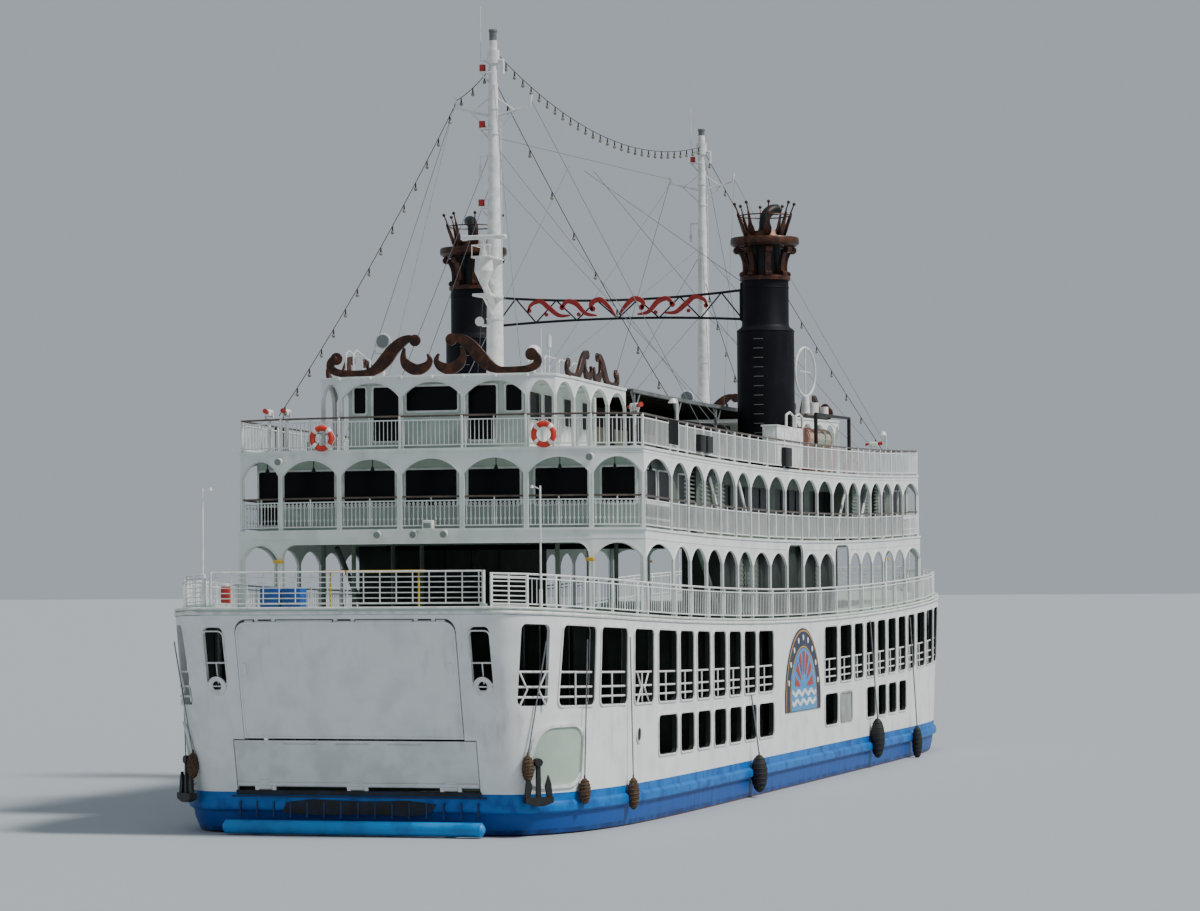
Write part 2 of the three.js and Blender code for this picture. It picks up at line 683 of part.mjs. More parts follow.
function anchor(wall) {
  const { x, y, top, crown, turn, fluke, halfWidth } = ANCHOR;
  const shank = prismAlongX([[-0.07, crown - 0.05], [0.07, crown - 0.05], [0.05, top], [-0.05, top]],
    -0.05, 0.05);
  const head = prismAlongX([[-halfWidth, crown - 0.14], [-0.12, crown - 0.24], [0.12, crown - 0.24],
    [halfWidth, crown - 0.14], [halfWidth, crown + 0.02], [-halfWidth, crown + 0.02]], -0.12, 0.12);
  const arm = [[halfWidth - 0.15, crown - 0.02], [halfWidth, crown - 0.02],
    [halfWidth - 0.04, crown + fluke * 0.6], [halfWidth - 0.12, crown + fluke],
    [halfWidth - 0.22, crown + fluke * 0.5]];
  const flukes = SIDES.map(([, place]) => asOutward(place(prismAlongX(arm, -0.04, 0.05))));
  const pipe = rod([-0.25, 0, top], [0.08, 0, top], 0.12, 8);
  const whole = join(shank, head, pipe, ...flukes).rotateZ(turn).translate(x, y, 0);
  return cut(whole, asOutward(wall.clone()).translate(GAP * Math.cos(turn), GAP * Math.sin(turn), 0));
}

// Decks: plates drawn to the plan inside the walls that edge them.

function upperDeck() {
  const [low, high] = [UPPER_DECK - DECK_THICKNESS, UPPER_DECK];
  const slab = stackedLoops([shellLevel(low, 0), shellLevel(high, 0)]);
  const cleared = cut(slab, ...SIDES.map(([, place]) => asOutward(place(casingBox(GAP)))));
  const stools = ENDS.flatMap(([, placeEnd]) => SIDES.map(([, placeSide]) => (
    asOutward(placeEnd(placeSide(gateStool()))))));
  return join(sheered(cleared), ...stools);
}

const CASING = { x0: -2.2, x1: 5.2, y0: 4.9, y1: 6.3 };

function casingBox(margin) {
  return box(CASING.x0 - margin, CASING.x1 + margin, CASING.y0 - margin, CASING.y1 + margin,
    MAIN_DECK + GAP, PROMENADE_DECK - DECK_THICKNESS - GAP);
}

// The line of columns, from the middle of the bow round the port side to the middle of the stern.
function columnLine() {
  const front = [[0, 0], [0, FRONT_BAY / 2], [0.1, FRONT_BAY * 1.5], [0.28, FRONT_BAY * 2.5]];
  const bow = front.map(([back, y]) => [FRONT_X - back, y]);
  const side = [];
  const wideEnd = 3 * WIDE_BAY;
  for (let k = 5; k > 0; k -= 1) side.push([wideEnd + k * NARROW_BAY, SIDE_Y]);
  for (let k = 3; k >= 0; k -= 1) side.push([k * WIDE_BAY, SIDE_Y]);
  const half = [...bow, [CORNER_X, SIDE_Y], ...side];
  return [...half, ...half.slice(0, -1).reverse().map(([x, y]) => [-x, y])];
}

// A run is a plan line that a flat panel is bent along: s is the distance along it, n the distance in.
class Run {
  constructor(points) {
    this.points = points.map(([x, y]) => new THREE.Vector2(x, y));
    this.marks = [0];
    for (let k = 1; k < points.length; k += 1) {
      this.marks.push(this.marks[k - 1] + this.points[k].distanceTo(this.points[k - 1]));
    }
    this.mitres = this.points.map((point, k) => this.mitreAt(k));
  }

  normalOf(k) {
    const along = this.points[k + 1].clone().sub(this.points[k]).normalize();
    return new THREE.Vector2(-along.y, along.x);
  }

  mitreAt(k) {
    const last = this.points.length - 1;
    const before = this.normalOf(Math.max(0, k - 1));
    const after = this.normalOf(Math.min(last - 1, k));
    const middle = before.clone().add(after).normalize();
    return middle.multiplyScalar(1 / middle.dot(after));
  }

  place(s, n) {
    let k = 0;
    while (k < this.marks.length - 2 && s > this.marks[k + 1] + 1e-6) k += 1;
    const share = (s - this.marks[k]) / (this.marks[k + 1] - this.marks[k]);
    const start = this.points[k].clone().addScaledVector(this.mitres[k], n);
    const end = this.points[k + 1].clone().addScaledVector(this.mitres[k + 1], n);
    return start.lerp(end, share);
  }

  // Bends a panel of cells, drawn with s along the run, from n0 to n1 across it.
  bend(cells, n0, n1) {
    return cellPanel(cells, (s, z, face) => {
      const spot = this.place(s, face ? n0 : n1);
      return [spot.x, spot.y, z];
    });
  }
}

// The line runs bow to stern round the port side.
const COLUMN_RUN = new Run(columnLine());
const CORNER_MARK = 4;
const LINE_MARKS = COLUMN_RUN.marks;
const LAST_MARK = LINE_MARKS.length - 1;

// Arcade bays from column centre to column centre: a fascia cut by an arch, with a rail bar across
// where there is one. The bays named left, middle and right make one wide opening with a flat head.
function arcadeCells(marks, { bottom, top, crown, spring, column, arcSteps, rail }, kinds = []) {
  return marks.slice(1).flatMap((end, k) => {
    const start = marks[k];
    const [from, to] = [start + column / 2, end - column / 2];
    if (kinds[k] === 'middle') return [[[start, crown], [end, crown], [end, top], [start, top]]];
    if (kinds[k] === 'left') {
      return [[[start, bottom], [from, bottom], [from, spring], [from + 0.4, crown - 0.08], [end, crown],
        [end, top], [start, top]]];
    }
    if (kinds[k] === 'right') {
      return [[[start, crown], [to - 0.4, crown - 0.08], [to, spring], [to, bottom], [end, bottom],
        [end, top], [start, top]]];
    }
    const arch = Array.from({ length: arcSteps + 1 }, (_, step) => {
      const angle = Math.PI * (1 - step / arcSteps);
      const s = (from + to) / 2 + (to - from) / 2 * Math.cos(angle);
      return [s, spring + (crown - spring) * Math.sin(angle)];
    });
    if (!rail) {
      return [[[start, bottom], [from, bottom], ...arch, [to, bottom], [end, bottom],
        [end, top], [start, top]]];
    }
    const columns = gridCells([start, from, to, end], [bottom, ...rail, spring],
      (s, z) => s > from && s < to && (z < rail[0] || z > rail[1]));
    return [[[start, spring], ...arch, [end, spring], [end, top], [start, top]], ...columns];
  });
}

const RAIL = { height: 0.96, bar: 0.08, post: 0.08 };

const ARCADES = {
  upper: {
    bottom: UPPER_DECK + GAP, top: PROMENADE_DECK - GAP, crown: 7.97, spring: 7.62, column: 0.17,
    arcSteps: 5, outer: 0, inner: 0.12,
  },
  promenade: {
    bottom: PROMENADE_DECK + GAP, top: TOP_DECK - GAP, crown: 10.57, spring: 10.2, column: 0.15,
    arcSteps: 5, outer: 0.05, inner: 0.12,
    rail: [PROMENADE_DECK + RAIL.height - RAIL.bar, PROMENADE_DECK + RAIL.height],
  },
};

function sideArcade(spec) {
  return COLUMN_RUN.bend(arcadeCells(LINE_MARKS.slice(CORNER_MARK, LAST_MARK - CORNER_MARK + 1), spec),
    spec.outer, spec.inner);
}

// The end arcade runs from corner to corner across the bow; a wide bay leaves room for the cars.
function endArcade(spec, kinds) {
  const port = columnLine().slice(1, CORNER_MARK + 2);
  const across = new Run([...port.map(([x, y]) => [x, -y]).reverse(), ...port]);
  const marks = across.marks.slice(1, -1);
  marks[0] += GAP * 2;
  marks[marks.length - 1] -= GAP * 2;
  return across.bend(arcadeCells(marks, spec, kinds), spec.outer, spec.inner);
}

const WIDE_OPENING = ['arch', 'left', 'middle', 'middle', 'middle', 'right', 'arch'];

function addArcades() {
  addBothSides('upper_arcade_SIDE', lifted(sideArcade(ARCADES.upper)), WHITE);
  addBothEnds('upper_arcade_END', lifted(endArcade(ARCADES.upper, WIDE_OPENING)), WHITE);
  addBothSides('promenade_arcade_SIDE', lifted(sideArcade(ARCADES.promenade)), WHITE);
  addBothEnds('promenade_arcade_END', lifted(endArcade(ARCADES.promenade)), WHITE);
}

// The promenade and top decks fill the plan inside their fascias, in strips from side to side.
function houseDeck(top, first = 1, last = LAST_MARK - 1) {
  const port = insetPoints(COLUMN_RUN, 0.12 + GAP).slice(first, last + 1);
  if (first > 1) port[0].x -= GAP / 2;
  if (last < LAST_MARK - 1) port[port.length - 1].x += GAP / 2;
  return lifted(stripPlate(port, top - DECK_THICKNESS, top));
}

// The promenade deck is in three plates, a middle one between the ninth column of each end.
const PLATE_MARK = 9;

function insetPoints(run, inset) {
  return run.points.map((point, k) => point.clone().addScaledVector(run.mitres[k], inset));
}

function stripPlate(port, low, high) {
  const points = [];
  const quad = (a, b, c, d) => [a, b, c, a, c, d].forEach(([x, y, z]) => points.push(x, y, z));
  const corners = port.map(({ x, y }) => [[x, y, low], [x, -y, low], [x, -y, high], [x, y, high]]);
  for (let k = 0; k + 1 < corners.length; k += 1) {
    for (let side = 0; side < 4; side += 1) {
      const next = (side + 1) % 4;
      quad(corners[k][side], corners[k][next], corners[k + 1][next], corners[k + 1][side]);
    }
  }
  const last = corners[corners.length - 1];
  quad(corners[0][3], corners[0][2], corners[0][1], corners[0][0]);
  quad(last[0], last[1], last[2], last[3]);
  const geometry = new THREE.BufferGeometry();
  geometry.setAttribute('position', new THREE.Float32BufferAttribute(points, 3));
  return asOutward(geometry);
}

// Saloon on the promenade deck, set in from the columns to leave a walkway all round.

const SALOON = { x: 18.9, y: 5.4, wall: 0.1, sill: 9.35, head: 10.25 };

const SALOON_PILLAR_WIDTH = 0.9;

function saloonSide() {
  const { x, y, wall, sill, head } = SALOON;
  const w = SALOON_PILLAR_WIDTH;
  const outer = STATIONS.filter((station) => station > 0 && station < x).flatMap((station) => [
    [station, station + w], [-station - w, -station]]);
  const pillars = [[-w / 2, 0], [0, w / 2], ...outer, [x - w, x], [-x, w - x]];
  const heights = [PROMENADE_DECK + GAP, sill, head, TOP_DECK - DECK_THICKNESS - GAP];
  const isOpen = (s, z) => z > sill && z < head && pillars.every(([from, to]) => s < from || s > to);
  return cellPanel(gridCells(ascending(pillars.flat()), heights, isOpen),
    (s, z, face) => [s, face ? y : y - wall, z]);
}

function saloonEnd() {
  const { x, y, wall, sill, head } = SALOON;
  const reach = y - wall - GAP;
  const windows = [-2, -1, 0, 1, 2].map((k) => [k * FRONT_BAY - 0.78, k * FRONT_BAY + 0.78]);
  const heights = [PROMENADE_DECK + GAP, sill - 0.1, head, TOP_DECK - DECK_THICKNESS - GAP];
  const isOpen = (s, z) => z > sill - 0.1 && z < head && windows.some(([from, to]) => s > from && s < to);
  return cellPanel(gridCells([-reach, ...windows.flat(), reach], heights, isOpen),
    (s, z, face) => [face ? x : x - wall, s, z]);
}

// Rails: a top bar on posts, bent round each deck edge.

// Rail cells along s: each post starts at its own mark, and each bend gets a line.
function railCells(from, to, bottom, posts, bends = []) {
  const feet = [from, ...posts, to - RAIL.post];
  const lines = ascending([...feet.flatMap((s) => [s, s + RAIL.post]), ...bends]);
  const heights = [bottom, bottom + RAIL.height - RAIL.bar, bottom + RAIL.height];
  const inPost = (s) => feet.some((foot) => s > foot && s < foot + RAIL.post);
  return gridCells(lines, heights, (s, z) => z < heights[1] && !inPost(s));
}

// Half of the rail round the top deck, from the bow centreline round to port and the stern centreline.
const HOUSE_POST_MARKS = [2, 3, 5, 7, 9, 11];
const HOUSE_BEND_MARKS = [1, 2, 3, 4, 5];

function topRail() {
  const bothEnds = (picks) => [...picks, ...picks.map((k) => LAST_MARK - k)];
  const posts = [...bothEnds(HOUSE_POST_MARKS), 13].map((k) => LINE_MARKS[k]);
  const bends = bothEnds(HOUSE_BEND_MARKS).map((k) => LINE_MARKS[k]);
  const cells = railCells(GAP, LINE_MARKS[LAST_MARK] - GAP, TOP_DECK + GAP, posts, bends);
  return COLUMN_RUN.bend(cells, 0.065, 0.105);
}

// The upper deck rail follows the hull edge and leaves the ends to the gates.

const GATE = {
  x: 27.5, hingeY: 4.1, height: 1.02, foot: 0.08, thickness: 0.05, post: 0.1, bars: 5, bar: 0.06,
};

// The rail stands just outside the arcade amidships and then follows the rounding of the plan.
const HULL_RAIL_POINTS = [...STATIONS.slice(0, 5).map((x) => [x, 6.6]), [19.66, 6.58], [20.6, 6.54],
  [22.6, 6.38], [24.4, 6.1], [25.8, 5.68], [26.8, 5.16], [27.5, 4.3]];

function hullEdgeRun() {
  const [middle, ...ahead] = HULL_RAIL_POINTS;
  return new Run([...[...ahead].reverse(), middle, ...ahead.map(([x, y]) => [-x, y])]);
}

function upperRail() {
  const run = hullEdgeRun();
  const last = run.marks.length - 1;
  const cells = railCells(0, run.marks[last], UPPER_DECK + GAP, run.marks.slice(1, -1));
  return run.bend(cells, 0, 0.04);
}

// Each gate leaf is a frame of level bars on a hinge post at its outer end.
function gateLeaf() {
  const { x, hingeY, height, foot, thickness, post, bars, bar } = GATE;
  const [low, high] = [UPPER_DECK + foot, UPPER_DECK + height];
  const pitch = (high - low - bar) / (bars - 1);
  const heights = Array.from({ length: bars }, (_, k) => [low + k * pitch, low + k * pitch + bar]).flat();
  const lines = [CLEAR / 2, CLEAR / 2 + bar, hingeY / 2, hingeY / 2 + bar, hingeY - bar, hingeY];
  const isOpen = (s, z) => (s - lines[1]) * (s - lines[2]) < 0 || (s - lines[3]) * (s - lines[4]) < 0
    ? heights.every((base, k) => k % 2 || z < base || z > base + bar) : false;
  const frame = cellPanel(gridCells(lines, heights, isOpen),
    (s, z, face) => [x + (face ? thickness : -thickness) / 2, s, z]);
  const hingePost = rod([x, hingeY, low], [x, hingeY, high], post / 2, 8);
  return liftedAt(join(frame, hingePost), x, UPPER_DECK);
}

// A pivot stool on the deck under each gate's hinge post.
function gateStool() {
  const { x, hingeY, foot } = GATE;
  const top = UPPER_DECK + rise(x, UPPER_DECK) + foot - GAP;
  return box(x - 0.09, x + 0.09, hingeY - 0.09, hingeY + 0.09, UPPER_DECK + 0.5, top);
}

// A wheelhouse towards each end of the top deck, with an arched canopy round its front and sides.
// Both are drawn for the bow; the stern's stands further in from its end, by STERN_HOUSE_INSET.

const STERN_HOUSE_INSET = 2.3;

function atStern(geometry) {
  return sheered(mirroredX(geometry).translate(STERN_HOUSE_INSET, 0, 0));
}

const WHEELHOUSE = { aft: 12.6, front: 19.75, halfWidth: 2.85, wall: 0.1, sill: 11.75, head: 12.6 };
const CANOPY = { front: FRONT_X - 0.2, y: 3.9, roofTop: 13.1, crown: 12.9, spring: 12.5, thickness: 0.08 };

function wheelhouse() {
  const { aft, front, halfWidth, wall, sill, head } = WHEELHOUSE;
  const [low, high] = [TOP_DECK + GAP, CANOPY.roofTop - DECK_THICKNESS - GAP];
  const block = box(aft, front, -halfWidth, halfWidth, low, high);
  const inside = box(aft + wall, front - wall, -halfWidth + wall, halfWidth - wall, low - 1, high + 1);
  const tools = [inside];
  for (const [y0, y1] of [[-2.65, -1.75], [-1.5, 0.05], [0.3, 1.4], [1.6, 2.6]]) {
    tools.push(box(front - 0.5, front + 0.5, y0, y1, sill, head));
  }
  for (const x of [13.6, 15.5, 17.5, 18.9]) {
    tools.push(box(x - 0.55, x + 0.55, -4, 4, sill, head));
  }
  return cut(block, ...tools);
}

const CANOPY_POSTS_X = [18.3, 16.65, 14.73, 12.81];
const STERN_CANOPY_POSTS_X = [...CANOPY_POSTS_X, 10.9];

function canopyRun(postsX) {
  const { front, y } = CANOPY;
  const port = [[front, FRONT_BAY / 2], [front - 0.1, FRONT_BAY * 1.5], [19.7, y - 0.15],
    ...postsX.map((x) => [x, y])];
  return new Run([...port.map(([x, side]) => [x, -side]).reverse(), ...port]);
}

// The arches, with the scrolls that stand on their sides.
function canopyArcade(postsX, ...sideScrolls) {
  const run = canopyRun(postsX);
  const spec = {
    bottom: TOP_DECK + GAP, top: CANOPY.roofTop - GAP, crown: CANOPY.crown, spring: CANOPY.spring,
    column: 0.12, arcSteps: 5,
  };
  return join(run.bend(arcadeCells(run.marks, spec), 0, CANOPY.thickness), ...sideScrolls);
}

function canopyRoof(postsX, inset) {
  const run = canopyRun(postsX);
  const port = insetPoints(run, inset).slice(run.points.length / 2);
  return stripPlate(port, CANOPY.roofTop - DECK_THICKNESS, CANOPY.roofTop);
}

// Scroll ornaments: a hooked arm at the outer end, a trough, a tall curl and a small hook.
// Each is drawn from its outer end inwards, and up from its foot.
const SCROLL_OUTLINE = [
  [0, 0], [1.57, 0], [1.86, 0.15], [2.06, 0.38], [2.3, 0], [2.8, 0], [3.0, 0.3], [3.02, 0.56],
  [2.86, 0.6], [2.84, 0.34], [2.6, 0.24], [2.36, 0.36], [2.32, 0.68], [2.62, 0.8], [2.76, 1.0],
  [2.66, 1.2], [2.44, 1.25], [2.14, 1.12], [1.9, 0.7], [1.5, 0.34], [1.15, 0.16], [0.7, 0.14],
  [0.4, 0.28], [0.5, 0.52], [0.42, 0.72], [0.2, 0.76], [0.03, 0.6],
];
const SCROLL = { x: 20.1, outerY: 3.3, sideScale: 0.88, sunk: 0.05 };
const SIDE_SCROLLS_X = { bow: 16.22, stern: 14.5 };

function frontScroll(foot) {
  const { x, outerY } = SCROLL;
  return prismAlongX(SCROLL_OUTLINE.map(([inward, z]) => [outerY - inward, foot + z]),
    x - CANOPY.thickness, x);
}

// A pair of scrolls on the canopy's port side, their small hooks towards each other at x.
function sideScrolls(x) {
  const { sideScale, sunk } = SCROLL;
  const reach = SCROLL_OUTLINE[7][0] * sideScale + 0.08;
  return [1, -1].flatMap((end) => {
    const outline = SCROLL_OUTLINE.map(([inward, z]) => [
      x + end * (reach - inward * sideScale), CANOPY.roofTop - sunk + z * sideScale]);
    const port = asOutward(prismAlongY(outline, CANOPY.y - CANOPY.thickness, CANOPY.y));
    return [port, asOutward(mirroredY(port))];
  });
}

// At the stern the arches, the roof and all the scrolls are one piece.
function sternCanopy() {
  const scrolls = SIDES.map(([, place]) => asOutward(place(frontScroll(CANOPY.roofTop - SCROLL.sunk))));
  return join(canopyArcade(STERN_CANOPY_POSTS_X, ...sideScrolls(SIDE_SCROLLS_X.stern)),
    canopyRoof(STERN_CANOPY_POSTS_X, CANOPY.thickness / 2), ...scrolls);
}

// Flat awning abaft the wheelhouse, on two rows of thin posts.

const AWNING = {
  aft: -8.4, front: 12.3, halfWidth: 4, underside: 13.02, thickness: 0.12, postX: [-8.2, -3.2, 1.9, 7, 11.9],
};

function awning() {
  const { aft, front, halfWidth, underside, thickness, postX } = AWNING;
  const parts = [box(aft, front, -halfWidth, halfWidth, underside, underside + thickness)];
  for (const x of postX) {
    for (const y of [-halfWidth + 0.1, halfWidth - 0.1]) {
      parts.push(box(x - 0.05, x + 0.05, y - 0.05, y + 0.05, TOP_DECK + GAP, underside + 0.02));
    }
  }
  return join(...parts);
}

// Masts: tapered white tubes with yards, and the radar platform on the fore one.

const FOREMAST = { x: 14.2, top: 24.2, radius: 0.29, topRadius: 0.13, yardZ: 22.0 };
const AFT_MAST = { x: -10.8, top: 24.05, radius: 0.25, topRadius: 0.13, yardZ: 22.15 };
const RADAR = { x: 15.25, z: 17.75, halfLength: 0.75 };

function mast({ x, top, radius, topRadius, yardZ }, foot) {
  const parts = [rod([x, 0, foot], [x, 0, top], radius, 10, topRadius)];
  for (const side of [-1, 1]) {
    parts.push(rod([x, 0, yardZ - 0.25], [x, side * 1.3, yardZ + 0.1], 0.05, 4));
    parts.push(rod([x, 0, yardZ - 0.8], [x, side * 0.75, yardZ - 0.1], 0.035, 4));
    parts.push(rod([x, side * 1.28, yardZ], [x, side * 1.28, yardZ + 0.4], 0.035, 4));
  }
  return parts;
}

function foremast() {
  const foot = CANOPY.roofTop + GAP;
  const parts = mast(FOREMAST, foot);
  const { x, z } = RADAR;
  parts.push(box(FOREMAST.x, x + 0.35, -0.32, 0.32, z - 0.62, z - 0.52));
  parts.push(rod([x, 0, z - 0.55], [x, 0, z - 0.12], 0.13, 8));
  parts.push(rod([FOREMAST.x, 0, z - 1.5], [x + 0.25, 0, z - 0.57], 0.07, 4));
  parts.push(box(FOREMAST.x, x + 0.3, -0.3, 0.3, 15.95, 16.05));
  parts.push(rod([FOREMAST.x, 0, FOREMAST.top - 0.05], [FOREMAST.x, 0, FOREMAST.top + 0.3], 0.16, 8));
  return standing(join(...parts), FOREMAST.x, foot);
}

function radarScanner() {
  const { x, z, halfLength } = RADAR;
  const hub = rod([x, 0, z - 0.12 + GAP], [x, 0, z + 0.02], 0.09, 10);
  const bar = box(x - 0.09, x + 0.09, -halfLength, halfLength, z, z + 0.14);
  return liftedAt(join(hub, bar), FOREMAST.x, CANOPY.roofTop);
}

function aftMast() {
  const foot = CANOPY.roofTop + GAP;
  return standing(join(...mast(AFT_MAST, foot)), AFT_MAST.x, foot);
}

// Funnels: a stepped cylinder, and a crown of brackets, a collar and eight spikes.

const FUNNEL = { x: 0.6, y: 5.38, lower: 1.0, upper: 0.82, shoulder: 15.75, blackTop: 17.5 };
const CROWN = { collarZ: 18.7, collarTop: 19.0, collar: 1.2, drum: 0.55, tip: 20.25, spikes: 8 };
const TRUSS_PAD_Y = 4.56;

function funnel() {
  const { x, y, lower, upper, shoulder, blackTop } = FUNNEL;
  const body = turned([[0, TOP_DECK + GAP], [lower, TOP_DECK + GAP], [lower, shoulder],
    [upper + 0.04, shoulder + 0.25], [upper, shoulder + 0.3], [upper, blackTop], [upper + 0.06, blackTop],
    [upper + 0.06, blackTop + 0.12], [CROWN.drum, blackTop + 0.12], [CROWN.drum, CROWN.collarZ],
    [CROWN.collar - 0.1, CROWN.collarZ], [CROWN.collar, CROWN.collarZ + 0.08],
    [CROWN.collar, CROWN.collarTop], [0.7, CROWN.collarTop],
    [0.62, CROWN.collarTop + 0.22], [0, CROWN.collarTop + 0.22]], 14);
  const parts = [body];
  for (let k = 0; k < CROWN.spikes; k += 1) {
    const angle = 2 * Math.PI * (k + 0.5) / CROWN.spikes;
    parts.push(crownBracket().rotateZ(angle));
    const [c, s] = [Math.cos(angle), Math.sin(angle)];
    const foot = [0.62 * c, 0.62 * s, CROWN.collarTop + 0.05];
    parts.push(rod(foot, [1.05 * c, 1.05 * s, CROWN.tip], 0.08, 4, 0.03));
  }
  parts.push(exhaustElbow());
  const pad = box(-0.35, 0.35, -(y - TRUSS_PAD_Y), -0.4, shoulder + 0.35, blackTop - 0.05);
  return standing(join(...parts, pad).translate(x, y, 0), x, TOP_DECK + GAP);
}

// A scroll bracket that flares from the funnel's top ring to the underside of the collar.
function crownBracket() {
  const z = FUNNEL.blackTop + 0.1;
  const outline = [[0.5, z], [0.84, z], [0.8, z + 0.3], [0.82, z + 0.62], [0.92, z + 0.9], [1.12, z + 1.0],
    [1.12, CROWN.collarZ + 0.05], [0.5, CROWN.collarZ + 0.05]];
  return prismAlongY(outline, -0.11, 0.11);
}

function exhaustElbow() {
  const bend = new THREE.CatmullRomCurve3([[0, 0, 19.1], [0, 0, 19.7], [-0.08, 0.05, 19.98],
    [-0.42, 0.18, 20.02], [-0.6, 0.26, 19.9]].map((point) => new THREE.Vector3(...point)));
  const ring = new THREE.Shape(Array.from({ length: 6 }, (_, k) => new THREE.Vector2(
    0.22 * Math.cos(k * Math.PI / 3), 0.22 * Math.sin(k * Math.PI / 3))));
  return new THREE.ExtrudeGeometry(ring, { steps: 5, extrudePath: bend });
}

// A locker with a life raft drum on it stands near each edge of the top deck, abaft the funnels.

const RAFT = { x0: -8.9, x1: -4.8, y0: 4.75, y1: 5.65, lockerTop: 11.85, drum: 0.36 };

function raftLocker() {
  const { x0, x1, y0, y1, lockerTop, drum } = RAFT;
  const centre = [(y0 + y1) / 2, lockerTop + drum - 0.04];
  return lifted(join(box(x0, x1, y0, y1, TOP_DECK + GAP, lockerTop),
    rod([x0 + 0.15, ...centre], [x1 - 0.15, ...centre], drum, 12)));
}

// Lattice truss between the funnels: two slightly bowed chords and a zigzag of braces.

const TRUSS = {
  endTop: 17.25, endBottom: 16.15, midTop: 17.03, midBottom: 16.3, panels: 12, bar: 0.11, foot: 0.1,
};

function truss() {
  const { endTop, endBottom, midTop, midBottom, panels, bar, foot } = TRUSS;
  const reach = TRUSS_PAD_Y - GAP;
  const chord = (mid, end) => (k) => {
    const share = 2 * k / panels - 1;
    return [share * reach, mid + (end - mid) * share ** 2];
  };
  const [top, innerTop] = [chord(midTop, endTop), chord(midTop - bar, endTop - bar)];
  const [bottom, innerBottom] = [chord(midBottom, endBottom), chord(midBottom + bar, endBottom + bar)];
  const towards = ([y0, z0], [y1, z1]) => {
    const share = foot / Math.abs(y1 - y0);
    return [y0 + share * (y1 - y0), z0 + share * (z1 - z0)];
  };
  const cells = Array.from({ length: panels }, (_, k) => {
    const [low, high] = [[innerBottom(k), innerBottom(k + 1)], [innerTop(k), innerTop(k + 1)]];
    const lowFeet = [towards(low[0], low[1]), towards(low[1], low[0])];
    const highFeet = [towards(high[0], high[1]), towards(high[1], high[0])];
    return k % 2 ? [
      [bottom(k), bottom(k + 1), low[1], lowFeet[1], low[0]],
      [high[0], highFeet[0], high[1], top(k + 1), top(k)],
      [lowFeet[1], low[1], highFeet[0], high[0]],
    ] : [
      [bottom(k), bottom(k + 1), low[1], lowFeet[0], low[0]],
      [high[0], highFeet[1], high[1], top(k + 1), top(k)],
      [low[0], lowFeet[0], high[1], highFeet[1]],
    ];
  }).flat();
  return cellPanel(cells, (y, z, face) => [FUNNEL.x + (face ? bar : -bar) / 2, y, z]);
}

// Assembly.

addPiece('lower_hull', lowerHull(), BLUE);
addBothSides('hull_side_SIDE', lifted(hullSide()), WHITE);
const bowWall = endWall();
addBothEnds('END_wall', bowWall, WHITE);
addBothEnds('END_door', sheered(bowDoor()), WHITE);
addBothEnds('END_ramp', sheered(bowRamp()), WHITE);
addBothEnds('END_fender', endFender(), BLUE);
addBothSides('anchor_SIDE', anchor(bowWall), STEEL);
addPiece('upper_car_deck', upperDeck(), DECK_GREEN);
addBothSides('casing_SIDE', sheered(casingBox(0)), WHITE);
addArcades();
addPiece('promenade_deck', houseDeck(PROMENADE_DECK, PLATE_MARK, LAST_MARK - PLATE_MARK), DECK_GREEN);
addBothEnds('promenade_deck_END', houseDeck(PROMENADE_DECK, 1, PLATE_MARK), DECK_GREEN);
addPiece('top_deck', houseDeck(TOP_DECK), DECK_GREEN);
addBothSides('saloon_side_SIDE', lifted(saloonSide()), WHITE);
addBothEnds('saloon_END', lifted(saloonEnd()), WHITE);
addBothSides('top_rail_SIDE', lifted(topRail()), WHITE);
addBothSides('upper_rail_SIDE', lifted(upperRail()), WHITE);
for (const [end, placeEnd] of ENDS) {
  for (const [side, placeSide] of SIDES) {
    addPiece(`${end}_gate_${side}`, placeEnd(placeSide(gateLeaf())), WHITE);
  }
}
addPiece('wheelhouse', sheered(wheelhouse()), WHITE);
addPiece('stern_wheelhouse', atStern(wheelhouse()), WHITE);
addPiece('canopy_arcade', sheered(canopyArcade(CANOPY_POSTS_X, ...sideScrolls(SIDE_SCROLLS_X.bow))), WHITE);
addPiece('canopy_roof', lifted(canopyRoof(CANOPY_POSTS_X, CANOPY.thickness + GAP)), WHITE);
addPiece('stern_canopy', atStern(sternCanopy()), WHITE);
addPiece('awning', sheered(awning()), STEEL);
addPiece('foremast', foremast(), WHITE);
addPiece('radar_scanner', radarScanner(), WHITE);
addPiece('aft_mast', aftMast(), WHITE);
addBothSides('funnel_SIDE', funnel(), FUNNEL_NAVY);
addPiece('funnel_truss', truss(), STEEL);
addBothSides('raft_locker_SIDE', raftLocker(), WHITE);
addBothSides('scroll_ornament_SIDE',
  liftedAt(frontScroll(CANOPY.roofTop + GAP), SCROLL.x, CANOPY.roofTop), BRONZE);
addBothEnds('propeller_END', propeller(), PROP_BRASS);
addBothEnds('rudder_END', rudder(), BLUE);

export default ferry;
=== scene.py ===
"""Looks of a double-ended car ferry, a half-size model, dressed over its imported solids.

Sizes are metres of the full-size ship until a piece is finished, which brings it to model metres.
+X is the bow, +Y port, +Z up, and z = 0 is the waterline.
"""
from __future__ import annotations

import logging
import math
from contextlib import contextmanager
from dataclasses import dataclass, field
from enum import Enum
from typing import Callable, Iterable, Iterator, Sequence

import bmesh
import bpy
from mathutils import Matrix, Vector

